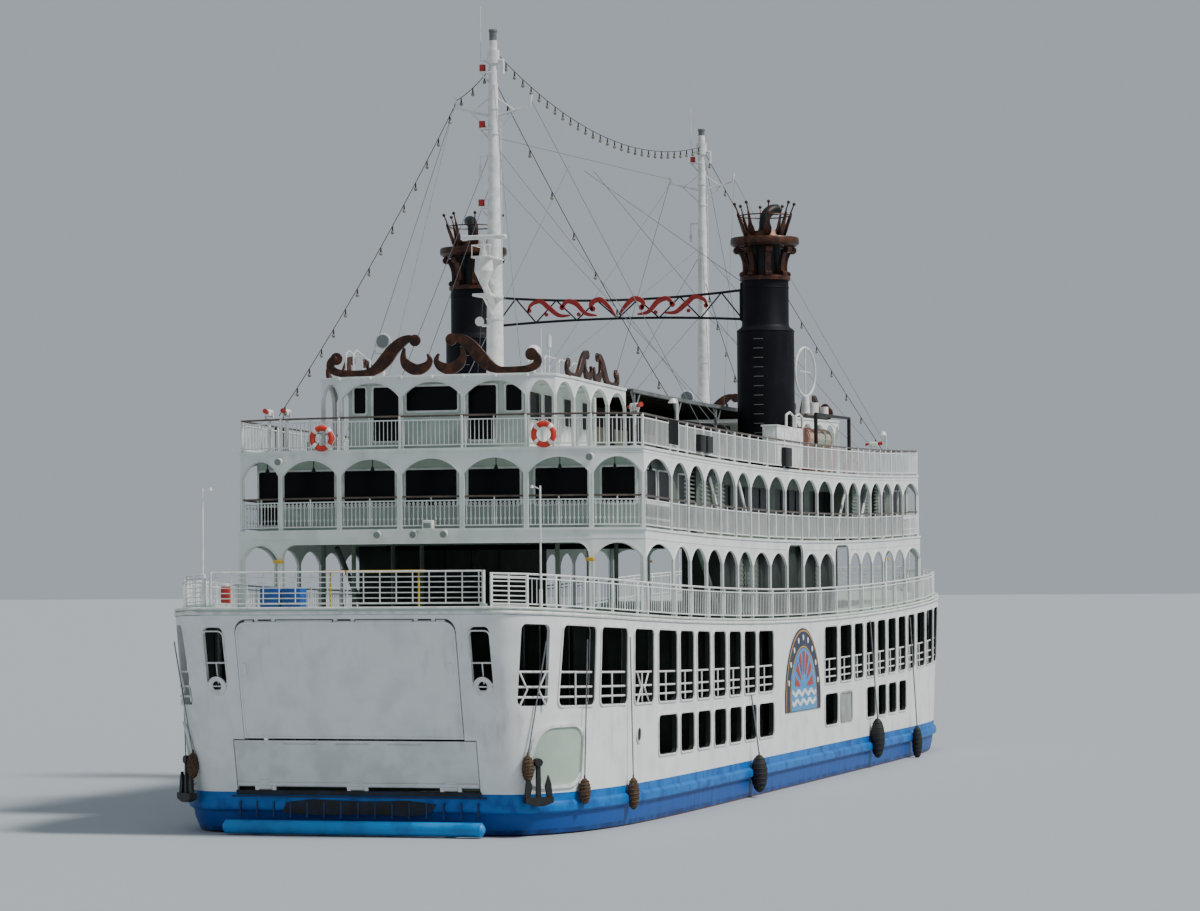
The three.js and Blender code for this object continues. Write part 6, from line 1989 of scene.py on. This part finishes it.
@dataclass
class RoofGear:
    """Searchlights, a dome, aerial poles and low hoops on the roofs."""

    light: Point2 = (19.4, -1.85)
    aft_light: Point3 = (-7.3, 0.3, 13.82)
    dome: Point2 = (13.0, 0.9)
    hoops: tuple[Point3, ...] = ((19.8, 18.6, 3.45), (18.4, 17.2, 3.45), (17.0, 15.2, 3.45), (18.8, 17.4, 2.6))

    def build(self) -> None:
        """Builds the white gear and the searchlights' glasses."""
        (x, y), foot, z = self.light, ROOF, ROOF + 1.12
        white = [post(x, y, foot, foot + 0.75, 0.06, 16, 0.045), ring((x, y, z), (1, 0, 0.05), 0.23, 0.025, 28),
                 rod((19.18, y, z), (19.44, y, z), 0.17, 24, 0.225),
                 *(post(x, y + side * 0.26, foot + 0.75, foot + 1.16, 0.02, 8) for side in (-1, 1)),
                 box((19.36, -2.13, foot + 0.72), (19.44, -1.57, foot + 0.77), 0.01)]
        dark = [rod((19.44, y, z), (19.455, y, z), 0.2, 24)]
        x, y = self.dome
        white += [post(x, y, foot, foot + 1.0, 0.06, 16), ball((x, y, foot + 1.22), 0.24, 28),
                  post(x, y, foot + 0.95, foot + 1.05, 0.15, 20), post(18.9, 3.3, foot, foot + 1.25, 0.03),
                  post(18.9, 3.3, foot + 0.85, foot + 1.2, 0.08, 14), post(19.35, 3.2, foot, foot + 1.4, 0.015, 8)]
        for x0, x1, y in self.hoops:
            white.append(tube([(x0, y, foot), (x0, y, foot + 0.42), (x0 - 0.12, y, foot + 0.52),
                               (x1 + 0.12, y, foot + 0.52), (x1, y, foot + 0.42), (x1, y, foot)], 0.025, 8))
        white += [tube([(19.7, y, foot), (19.7, y, foot + 0.7), (19.6, y + 0.06, foot + 0.85),
                        (19.6, y + 0.5, foot + 0.5), (19.6, y + 0.5, foot)], 0.03, 8) for y in (-2.95, -2.7)]
        x, y, z = self.aft_light
        white += [post(x - 0.1, y, 13.14, 13.55, 0.05, 12), rod((x - 0.25, y, 13.8), (x, y, z), 0.2, 24, 0.25),
                  ring((x, y, z), (1, 0, 0.05), 0.25, 0.03, 28)]
        dark.append(rod((x, y, z), (x + 0.015, y, z), 0.22, 24))
        finished(sheered(joined(white)), "roof_gear", TRIM_WHITE)
        finished(sheered(joined(dark)), "searchlight_glasses", LAMP_GLASS)


@dataclass
class Rigging:
    """Wire stays between the masts, roofs and rails, and the strings of bulbs hung from them."""

    fore: Point2 = (14.2, 24.0)
    aft: Point2 = (-10.8, 23.8)
    wire: float = 0.01

    def build(self) -> None:
        """Builds the wires, the bulb leads and the bulbs."""
        finished(joined([rod(aloft(*a), aloft(*b), self.wire, 6) for a, b in self.stays()]), "wire_stays", WIRE)
        strings = [self.hung(*string) for string in self.strings()]
        spots = [Matrix.Translation(spot) for _, bulbs in strings for spot in bulbs]
        leads = [tube(points, 0.012, 6) for points, _ in strings]
        drops = copies(post(0, 0, -0.16, 0, 0.03, 6, 0.015), spots)
        finished(joined([*leads, drops]), "bulb_leads", DARK_STEEL)
        finished(copies(ball((0, 0, -0.21), 0.065, 8), spots), "string_bulbs", BULB)

    def stays(self) -> list[tuple[Point3, Point3]]:
        """Both ends of every wire."""
        (fx, _), (ax, az) = self.fore, self.aft
        found = [((fx, 0, 21.1), (ax, -1.28, 22.4)), ((fx, -1.28, 22.3), (19.6, -1.6, 13.1)),
                 ((fx, 0, 23.0), (19.4, 2.6, 13.1)), ((fx, 0, 20.6), (-1.8, -6.3, 11.9)),
                 ((fx, 0, 20.4), (0.6, -4.7, 17.4)), ((ax, 0, az), (-18.6, 0.0, 13.1)),
                 ((2.6, -0.6, 21.4), (0.6, 4.6, 17.45)),
                 ((1.4, -0.6, 21.5), (-9.8, 3.9, 13.1)), ((4.6, -0.5, 21.35), (12.0, -2.0, 13.1))]
        for side in (-1, 1):
            tip, rail, roof = side * 1.28, side * 6.38, side * 3.8
            found += [((fx, tip, 22.2), (11.4, rail, 11.2)), ((fx, 0, 20.9), (8.6, rail, 11.2)),
                      ((fx, 0, 19.9), (6.6, rail, 11.2)), ((ax, tip, 22.2), (0.4, roof, 13.1)),
                      ((ax, 0, 19.8), (2.2, roof, 13.1)), ((ax, 0, 19.6), (-14.6, rail, 11.2)),
                      ((ax, 0, 17.2), (-13.2, rail, 11.2)), ((ax, tip, 22.3), (-16.4, rail, 11.2))]
        return found

    def strings(self) -> list[tuple[Point3, Point3, float, int]]:
        """Every string's two ends, how far it sags and how many bulbs it has."""
        (fx, fz), (ax, az) = self.fore, self.aft
        return [((fx, 0, fz - 0.1), (ax, 0, az - 0.2), 1.25, 29), ((fx, -0.1, fz - 0.7), (fx, -1.28, 22.3), 0.1, 3),
                ((fx, -1.28, 22.2), (20.2, -4.95, 11.95), 0.35, 15), ((fx, 0.1, 22.8), (7.4, 3.8, 13.1), 0.25, 8),
                ((ax, 0, az - 0.2), (-18.9, 5.2, 11.9), 0.3, 12), ((ax, 0.1, 18.4), (-3.0, 3.8, 13.1), 0.2, 5)]

    @staticmethod
    def hung(start: Point3, end: Point3, sag: float, count: int) -> tuple[list[Point3], list[Point3]]:
        """The sagging line between two points, and the places of its bulbs.

        Args:
            start: its first end.
            end: its other end.
            sag: how far its middle hangs.
            count: how many bulbs it has.

        Returns:
            The line's points, and the bulbs' places.
        """
        first, last = Vector(aloft(*start)), Vector(aloft(*end))

        def spot(share: float) -> Point3:
            """The line's point at a share of its length."""
            return tuple(first.lerp(last, share) - Vector((0, 0, 4 * sag * share * (1 - share))))
        return [spot(k / 24) for k in range(25)], [spot((k + 0.5) / count) for k in range(count)]


@dataclass
class HullFittings:
    """Anchor pockets, oval ports, rope fenders and the arched panels on the hull's sides.

    A rope fender has its x, z and height; a rubber one its x, z, radius and half height.
    """

    pocket: Point4 = (24.62, 26.45, 1.42, 3.05)
    port: Point4 = (20.56, 20.84, 2.42, 2.82)
    fenders: tuple[Point3, ...] = ((26.6, 1.93, 0.75), (24.65, 1.2, 0.75), (21.6, 0.95, 0.95))
    black_fenders: tuple[Point4, ...] = ((8.2, 0.78, 0.27, 0.62), (-9.5, 1.1, 0.27, 0.75), (-16.7, 0.6, 0.2, 0.65))
    arch: Point3 = (1.03, 2.55, 2.55)
    rays: int = 7
    studs: int = 9

    def build(self) -> None:
        """Builds everything on the port side and mirrors it."""
        lips = [on_hull(turned_to(rim(*spot, out, radii, depth), Plane.SIDE), proud)
                for spot, out, radii, depth, proud in ((self.pocket, 0.09, (0.59, 0.5), 0.08, 0.06),
                                                       (self.port, 0.05, (0.18, 0.13), 0.05, 0.04))]
        finished(copies(joined(lips)), "pocket_lips", TRIM_WHITE)
        for spot, radius, name, paint in ((self.pocket, 0.5, "anchor_pockets", POCKET_GREEN),
                                          (self.port, 0.13, "oval_ports", DARK_STEEL)):
            finished(copies(on_hull(plate(rounded(*spot, radius), 0.02, Plane.SIDE), 0.012)), name, paint)
        self.hang_fenders()
        self.panel()

    def hang_fenders(self) -> None:
        """Rope fenders on thin lanyards, and the rubber ones."""
        bags, black, lines = [], [], []
        for x, z, tall in self.fenders:
            y = hull_y(x, z) + 0.2
            bags.append(self.bag(x, y, z, 0.17, tall / 2))
            lines.append(rod((x, hull_y(x, 5.5) + 0.06, 5.5), (x, y, z + tall / 2 - 0.04), 0.02, 6))
        for x, z, radius, half in self.black_fenders:
            y = hull_y(x, z) + 0.28
            black.append(self.bag(x, y, z, radius, half))
            lines.append(rod((x + 0.1, hull_y(x, 3.3) + 0.06, 3.35 if x > 0 else 5.5), (x, y, z + half), 0.025, 6))
        for parts, name, paint in ((bags, "rope_fenders", ROPE), (black, "rubber_fenders", RUBBER),
                                   (lines, "fender_lanyards", WIRE)):
            finished(copies(joined(parts)), name, paint)

    @staticmethod
    def bag(x: float, y: float, z: float, radius: float, half: float) -> Obj:
        """A long fender with turns of rope round it and an eye at its head."""
        body = ball((0, 0, 0), 1.0, 20)
        body.data.transform(shift(x, y, z) @ Matrix.Diagonal((radius, radius, half, 1)))
        turns = [ring((x, y, z + half * k / 4), (0, 0, 1), radius * math.sqrt(1 - (k / 4) ** 2) * 0.97, 0.022, 18, 6)
                 for k in range(-3, 4)]
        return joined([body, *turns, ring((x, y, z + half + 0.03), (0, 1, 0), 0.05, 0.015, 14, 6)])

    def panel(self) -> None:
        """An arched panel with a dark border, a sky field, a fan of red rays and white waves."""
        _, z, half = self.arch
        for parts, name, paint in (
                ([self.on_side(self.arched(half, z), 0.03, 0.03)], "border", PANEL_NAVY),
                ([self.line(half - 0.06), self.line(half - 0.62)], "lines", PANEL_GOLD),
                ([self.on_side(self.arched(half - 0.7, z + 0.02), 0.02, 0.045)], "field", PANEL_SKY),
                ([self.ray(k) for k in range(self.rays)], "rays", RED),
                ([self.wave(0.3), self.wave(0.62), *(self.stud(k) for k in range(self.studs))], "waves", TRIM_WHITE)):
            finished(copies(joined(parts)), f"side_panel_{name}", paint)

    @staticmethod
    def on_side(shape: Sequence[Point2], depth: float, proud: float) -> Obj:
        """A flat plate that stands proud of the port side."""
        return plate(shape, depth, Plane.SIDE, (0, HALF_BEAM + proud, 0))

    def arched(self, radius: float, foot: float) -> list[Point2]:
        """The panel's outline at a radius, down to its foot."""
        x, z, _ = self.arch
        turns = [math.pi * k / 28 for k in range(29)]
        head = [(x + radius * math.cos(turn), z + 0.32 + radius * math.sin(turn) * 0.99) for turn in turns]
        return [*head, (x - radius, foot), (x + radius, foot)]

    def line(self, radius: float) -> Obj:
        """A thin line round the panel."""
        foot = self.arch[1] + 0.02
        line = frame_between(self.arched(radius, foot), self.arched(radius - 0.05, foot), 0.015)
        return turned_to(line, Plane.SIDE, (0, HALF_BEAM + 0.04, 0))

    def ray(self, number: int) -> Obj:
        """One ray of the fan."""
        x, z, _ = self.arch
        turn = math.pi * (number + 0.5) / self.rays
        return self.on_side([(x + reach * math.cos(turn + lean), z + 0.75 + reach * math.sin(turn + lean))
                             for lean, reach in ((-0.13, 1.3), (0.13, 1.3), (0.07, 0.55), (-0.07, 0.55))], 0.012, 0.055)

    def wave(self, level: float) -> Obj:
        """One white wave across the foot of the field."""
        x, z, _ = self.arch
        points = [(x - 1.7 + 0.2 * k, z + level + 0.07 * math.sin(1.4 * k + 5 * level), 0.07) for k in range(18)]
        return self.on_side(ribbon(points), 0.012, 0.058)

    def stud(self, number: int) -> Obj:
        """One round stud on the border."""
        x, z, half = self.arch
        turn, reach = math.pi * (number + 1) / (self.studs + 1), half - 0.35
        shape = disc(x + reach * math.cos(turn), z + 0.32 + reach * math.sin(turn), 0.1, 16)
        return self.on_side(shape, 0.012, 0.045)


def everywhere(parts: Sequence[Obj]) -> Obj:
    """Joins pieces of the port bow, bends them to the sheer and copies them to both sides and ends."""
    return copies(copies(sheered(joined(parts)), BOTH_ENDS))


@dataclass
class Cabins:
    """Casings on the upper car deck, dark with painted shade, and the cabins, louvres and stairs behind the promenade
    arches.
    """

    casing_y: Point2 = (4.9, 6.28)
    cabin_y: float = 6.14
    shutters: Point4 = (5.6, 6.55, 7.5, -3.4)
    panes: tuple[Point3, ...] = ((15.75, 17.0, 9.3), (13.75, 14.75, 8.5), (17.3, 18.3, 9.3))
    pane_head: float = 10.25

    def build(self) -> None:
        """Builds the casings, then the walls of the promenade."""
        low, high = UPPER_DECK + 0.001, PROMENADE_DECK - DECK_THICKNESS - SEAT
        y0, y1 = self.casing_y
        # The casings and the beams under the promenade deck are near black green, painted shade of the car deck.
        dark = [box((x0, y0, low), (x1, y1, high)) for x0, x1 in ((5.22, 9.9), (-6.2, -2.22))]
        dark += [box((-2.2, y0 - 0.03, low), (5.2, y0 - 0.002, high)), box((20.0, -3.9, high - 0.1), (20.1, 3.9, high)),
                 box((10.0, -5.2, high - 0.16), (10.2, 5.2, high))]
        # The shutters, the stair rail and the posts take the green darkened with painted shade.
        shade_green_parts = [box((x, y1 + 0.002, low + 0.2), (x + 0.75, y1 + 0.03, high - 0.15), 0.01) for x in self.shutters]
        shade_green_parts += [box((x, y1 + 0.03, low + 0.3 + 0.16 * k), (x + 0.75, y1 + 0.05, low + 0.34 + 0.16 * k))
                 for x in self.shutters for k in range(12)]
        shade_green_parts.append(rod((12.4, 6.1, high - 0.1), (9.9, 6.1, low + 0.2), 0.09, 8))
        shade_green_parts += [post(x, y, low, high, 0.07, 14) for x in (18.2, 12.0, 4.0) for y in (3.3, 4.3)]
        finished(copies(sheered(joined(dark))), "deck_casings", CAR_DECK_SHADE)
        finished(copies(sheered(joined(shade_green_parts))), "deck_casing_panels", SHADE_GREEN)
        self.promenade()

    def promenade(self) -> None:
        """The forward cabins, the louvred panels and the stair stringers, at both ends and both sides."""
        low, high, y, head = PROMENADE_DECK + 0.001, TOP_DECK - DECK_THICKNESS - SEAT, self.cabin_y, self.pane_head
        walls = [box((13.3, 5.42, low), (18.6, y, high)), box((9.1, y - 0.75, low), (9.2, y, high)),
                 box((9.1, y - 0.05, low), (12.6, y, high))]
        slats = [box((x, y, low + 0.25 + 0.13 * k), (x + 1.2, y + 0.03, low + 0.3 + 0.13 * k))
                 for x in (12.9, 11.0, 9.2) for k in range(14)]
        stairs = copies(block((0, 0, 0), (0.07, 0.03, 1.1), 0.01),
                        [shift(x, y + 0.1, 9.5) @ Matrix.Rotation(0.75, 4, "Y") for x in (10.6, 7.0)])
        panes = [box((x0, y, z0), (x1, y + 0.02, head)) for x0, x1, z0 in self.panes]
        edges = [turned_to(rim(x0, x1, z0, head, 0.05, (0.05, 0.03), 0.04), Plane.SIDE, (0, y + 0.04, 0))
                 for x0, x1, z0 in self.panes]
        # The cabins' walls take the green darkened with painted shade behind the arches.
        for parts, name, paint in (
                (walls, "promenade_cabins", SHADE_GREEN), (slats, "promenade_louvres", LOUVRE_GREEN),
                ([stairs], "stair_stringers", TRIM_WHITE), (panes, "cabin_panes", GLASS),
                (edges, "cabin_window_frames", TRIM_WHITE)):
            finished(everywhere(parts), name, paint)


@dataclass
class Fronts:
    """The walls, doors and windows that face forward on the saloon and the wheelhouse, at both ends.

    A pane has its lowest and highest y and its sill.
    """

    saloon_x: float = 18.905
    saloon_panes: tuple[Point3, ...] = (
        (-6.12, -5.42, 8.65), (-5.28, -3.63, 9.2), (-3.3, -1.65, 9.2), (-1.3, 0.35, 9.2), (0.72, 2.37, 9.2),
        (2.86, 4.51, 9.2), (4.96, 6.0, 9.2))
    saloon_head: float = 10.3
    house_x: float = 19.752
    house_panes: tuple[Point3, ...] = (
        (-2.64, -2.27, 12.0), (-2.02, -1.2, 11.15), (-0.95, 0.68, 12.05), (1.03, 1.92, 11.15), (2.23, 2.73, 12.0))
    house_head: float = 12.78

    def build(self) -> None:
        """Builds both fronts and mirrors them to the stern, where the wheelhouse is set in."""
        low, high, x = PROMENADE_DECK + SEAT, TOP_DECK - 0.21, self.saloon_x
        saloon = [box((x, -6.2, low), (x + 0.03, 6.2, high)), box((18.61, 5.42, low), (x, 6.2, high)),
                  box((18.61, -6.2, low), (x, -5.42, high))]
        x = self.house_x
        house = [box((x, -2.84, TOP_DECK + SEAT), (x + 0.028, 2.84, ROOF_BOTTOM - SEAT)),
                 box((x, -0.95, 11.69), (x + 0.05, 0.68, 11.86), 0.01)]
        walls = [sheered(copies(joined(parts), places))
                 for parts, places in ((saloon, BOTH_ENDS), (house, BOTH_HOUSES))]
        finished(joined(walls), "front_walls", WALL_GREEN)
        for front, spots, head, name, places in (
                (self.saloon_x, self.saloon_panes, self.saloon_head, "saloon", BOTH_ENDS),
                (self.house_x, self.house_panes, self.house_head, "wheelhouse", BOTH_HOUSES)):
            x = front + 0.03
            panes = [box((x, y0, z0), (x + 0.015, y1, head)) for y0, y1, z0 in spots]
            frames = [turned_to(rim(y0, y1, z0, head, 0.06, (0.1, 0.06), 0.045), Plane.END, (x, 0, 0))
                      for y0, y1, z0 in spots]
            for parts, kind, paint in ((panes, "panes", GLASS), (frames, "frames", TRIM_WHITE)):
                finished(sheered(copies(joined(parts), places)), f"{name}_front_{kind}", paint)


class DeckGear:
    """Poles, lockers, cabinets, life raft drums, the loop aerial and lamps on the decks."""

    def build(self) -> None:
        """Builds the gear, by finish."""
        self.white()
        self.rafts()
        self.bright()
        dark = [box((x0, 6.46, z0), (x1, 6.62, z1), 0.02) for x0, x1, z0, z1 in (
            (12.25, 12.9, 11.02, 11.55), (13.1, 13.75, 11.02, 11.55), (1.9, 2.75, 10.95, 11.6))]
        dark += [box((15.9 + 0.11 * k, 6.46, 11.1), (15.94 + 0.11 * k, 6.5, 11.85)) for k in range(9)]
        dark += [tube([(-4.6, 5.9, 13.02), (-9.9, 5.9, 13.02), (-9.9, 5.9, 11.05)], 0.07, 8),
                 post(-4.6, 5.9, 11.05, 13.02, 0.07, 8), box((-9.9, 5.0, 12.97), (-4.6, 5.08, 13.05))]
        finished(copies(sheered(joined(dark))), "dark_deck_gear", DARK_STEEL)
        # A block in almost black brown, painted shade of the space under the awning.
        finished(sheered(box((-7.6, -1.9, TOP_DECK + SEAT), (11.6, 1.9, 12.75))), "awning_shade_block", SHADE_BROWN)
        lockers = [box((x, side * 1.91 - 0.02, 11.3), (x + 1.5, side * 1.91 + 0.02, 12.1), 0.01)
                   for x in (-6.6, -3.4, 0.2, 2.6, 6.0, 8.6) for side in (-1, 1)]
        lockers += [box((x, side * 2.6 - 0.25, TOP_DECK + SEAT), (x + 1.6, side * 2.6 + 0.25, 11.35), 0.02)
                    for x in (-6.0, -1.6, 3.4, 7.6) for side in (-1, 1)]
        finished(sheered(joined(lockers)), "awning_lockers", CREAM)

    @staticmethod
    def poles() -> list[Obj]:
        """Light poles at the ends of the upper deck, and gooseneck lamps on the top deck's rail."""
        parts = []
        for x, y in ((26.4, 5.42), (27.3, -4.43), (-26.4, -5.42), (-27.3, 4.43)):
            x, y, z = aloft(x, y, UPPER_DECK + 0.02)
            inner = y - math.copysign(0.24, y)
            parts += [post(x, y, z, z + 3.4, 0.028), rod((x, y, z + 3.3), (x, inner, z + 3.4), 0.016, 8),
                      post(x, inner, z + 3.42, z + 3.34, 0.03, 12, 0.06), post(x, y, z, z + 0.5, 0.05, 12)]
        for x in (14.95, -14.9):
            x, y, z = aloft(x, 6.2, TOP_DECK + SEAT)
            parts += [tube([(x, y, z), (x, y, z + 1.55), (x + 0.1, y, z + 1.68), (x + 0.5, y, z + 1.68)], 0.04, 8),
                      post(x + 0.5, y, z + 1.7, z + 1.56, 0.07, 14, 0.16)]
        return parts

    def white(self) -> None:
        """The poles, the white cabinet, tanks and the loop aerial."""
        cabinet = [box((-0.5, 6.37, 11.0), (3.2, 6.43, 12.35), 0.02), box((1.75, 5.9, 11.0), (3.2, 6.37, 12.3), 0.02),
                   box((1.7, 5.85, 12.3), (3.25, 6.45, 12.36), 0.02)]
        cabinet += [tube([(x, 6.42, 12.35), (x, 6.42, 12.75), (x + 0.5, 6.42, 12.85), (x + 1.0, 6.42, 12.75),
                          (x + 1.0, 6.42, 12.35)], 0.045, 8) for x in (-0.4, 0.9)]
        cabinet += [box((x, 6.43, 11.15), (x + 0.03, 6.45, 12.2)) for x in (0.4, 1.3, 2.2)]
        x, y, z = -4.3, 5.6, 13.05
        loop = [ring((x, y, 14.55), (0.18, 1, 0), 0.88, 0.045, 40), post(x, y, z, 13.68, 0.16, 20, 0.12),
                post(x, y, 13.68, 15.43, 0.025, 8), rod((-5.15, y, 14.55), (-3.45, y, 14.55), 0.02, 8),
                post(-6.3, 5.4, z, 13.5, 0.2, 20), post(-8.0, 5.4, z, 13.4, 0.16, 20)]
        finished(joined([*self.poles(), copies(sheered(joined(cabinet))), sheered(joined(loop))]), "white_deck_gear",
                 TRIM_WHITE)

    @staticmethod
    def bright() -> None:
        """The blue bins, the yellow bar and bands, and the red hose box of the upper car deck."""
        low = UPPER_DECK + SEAT
        bins = [box((25.7, y, low), (26.2, y + 0.6, UPPER_DECK + 0.66), 0.03) for y in (-3.14, -2.48)]
        hose = [box((25.9, -4.4, UPPER_DECK + 0.2), (26.1, -4.14, UPPER_DECK + 0.7), 0.03)]
        marks = [box((21.95, -2.8, 7.02), (22.05, 0.4, 7.1), 0.01)]
        marks += [post(22, y, low, 7.03, 0.03) for y in (-2.6, 0.2)]
        marks += [box((20.14, y - 0.12, 7.4), (20.36, y + 0.12, 7.5), 0.01) for y in (-4.98, 4.98)]
        for parts, name, paint in ((bins, "deck_bins", BIN_BLUE), (hose, "hose_boxes", RED),
                                   (marks, "yellow_marks", SIGNAL_YELLOW)):
            finished(copies(sheered(joined(parts)), BOTH_ENDS), name, paint)

    @staticmethod
    def rafts() -> None:
        """Bands and end caps of the raft drums, over slatted red lockers."""
        bands = [rod((x, 5.2, 12.21), (x + 0.07, 5.2, 12.21), 0.385, 28) for x in (-8.6, -7.6, -6.1, -5.1)]
        slats = [box((x0, y0, 11.0 + 0.11 * k), (x1, y1, 11.05 + 0.11 * k)) for x0, x1, y0, y1 in (
            (-8.7, -7.5, 5.655, 5.685), (-6.9, -5.7, 5.655, 5.685), (-6.0, -4.8, 5.655, 5.685), (-4.8, -4.77, 4.8, 5.6))
                 for k in range(8)]
        finished(copies(sheered(joined(bands))), "raft_bands", RAFT_PINK)
        finished(copies(sheered(joined(slats))), "raft_locker_slats", RED)


# The studio.


@dataclass
class Studio:
    """The camera of the photograph, a pale floor at the waterline and soft lights."""

    camera_place: Point3 = (61.17811, 18.24048, 3.75)
    camera_right: Point3 = (-0.29226158, 0.95630771, -0.00766366)
    camera_up: Point3 = (0.02782409, 0.01651306, 0.99947643)
    camera_forward: Point3 = (-0.95593357, -0.29189532, 0.03143452)
    lens: float = 108.0
    sensor: float = 36.0
    floor_half: float = 400.0
    floor_colour: str = "#A6ADB2"
    floor_roughness: float = 0.7
    key_turn: Point3 = (39.0, 0.0, 178.0)
    key_strength: float = 4.0
    key_width: float = 9.0
    key_colour: Point3 = (1.0, 0.97, 0.92)
    sky: str = "#D2DCE6"
    sky_strength: float = 0.58

    def build(self) -> None:
        """Sets the camera, the floor and the lights."""
        deselect()
        columns = (self.camera_right, self.camera_up, [-v for v in self.camera_forward])
        bpy.ops.object.camera_add()
        camera = bpy.context.object
        camera.matrix_world = Matrix.Translation(self.camera_place) @ Matrix(columns).transposed().to_4x4()
        camera.data.lens, camera.data.sensor_width, camera.data.clip_end = self.lens, self.sensor, 2000
        bpy.context.scene.camera = camera
        self.floor()
        self.lights()

    def floor(self) -> None:
        """A plain pale floor."""
        bpy.ops.mesh.primitive_plane_add(size=2 * self.floor_half)
        floor = bpy.context.object
        floor.name = "studio_floor"
        material = bpy.data.materials.new("pale studio floor")
        material.use_nodes = True
        shader = material.node_tree.nodes["Principled BSDF"]
        shader.inputs["Base Color"].default_value = linear(self.floor_colour)
        shader.inputs["Roughness"].default_value = self.floor_roughness
        floor.data.materials.append(material)

    def lights(self) -> None:
        """A soft, high sun on the port side and a pale sky."""
        bpy.ops.object.light_add(type="SUN")
        sun = bpy.context.object
        sun.rotation_euler = [math.radians(v) for v in self.key_turn]
        sun.data.energy, sun.data.color = self.key_strength, self.key_colour
        sun.data.angle = math.radians(self.key_width)
        world = bpy.data.worlds.new("studio sky")
        world.use_nodes = True
        colour, strength = world.node_tree.nodes["Background"].inputs[:2]
        colour.default_value, strength.default_value = linear(self.sky), self.sky_strength
        bpy.context.scene.world = world


def main() -> None:
    """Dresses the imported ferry, from the keel up."""
    logging.basicConfig(level=logging.INFO, format="%(message)s")
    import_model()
    Studio().build()
    arcades = (Arcade("upper", UPPER_DECK, PROMENADE_DECK, 7.53, 7.97, 0.17, wide=(1, 6), tall=(8, 11)),
               Arcade("promenade", PROMENADE_DECK, TOP_DECK, 10.1, 10.57, 0.15, outer=0.05))
    rails = (
        Rail("promenade_rail", HOUSE, PROMENADE_DECK, 0.085, curls=True),
        Rail("top_rail", HOUSE, TOP_DECK, 0.085, replaced=("top_rail_port", "top_rail_starboard")),
        Rail("upper_rail", hull_edge_run(), UPPER_DECK, 0.02, pitch=0.2,
             replaced=("upper_rail_port", "upper_rail_starboard"), handrail=TRIM_WHITE, levels=7))
    canopies = (Canopy("bow", AT_BOW, (18.3, 16.65, 14.73, 12.81), ("canopy_arcade", "canopy_roof")),
                Canopy("stern", AT_STERN, (18.3, 16.65, 14.73, 12.81, 10.9), ("stern_canopy",)))
    masts = (Mast("foremast", 14.2, 24.2, 0.29, 0.13, 22.0, lamps=(18.9, 21.4, 23.2), lantern=0.3),
             Mast("aft_mast", -10.8, 24.05, 0.25, 0.13, 22.15, lamps=(23.0,), lantern=0.2))
    for assembly in (LowerHull(), Plating(), EndDoors(), EndFender(), *arcades, *rails, Gates(), Solids(), Glazing(),
                     *canopies, WheelhouseFittings(), Scrolls(), Awning(), *masts, RadarGear(), Funnels(), Truss(),
                     Fronts(), Cabins(), HullFittings(), LifeRings(), Telescopes(), FasciaLamps(), RoofGear(),
                     DeckGear(), Rigging()):
        LOG.info("building %s", type(assembly).__name__)
        assembly.build()


if __name__ == "__main__":
    main()
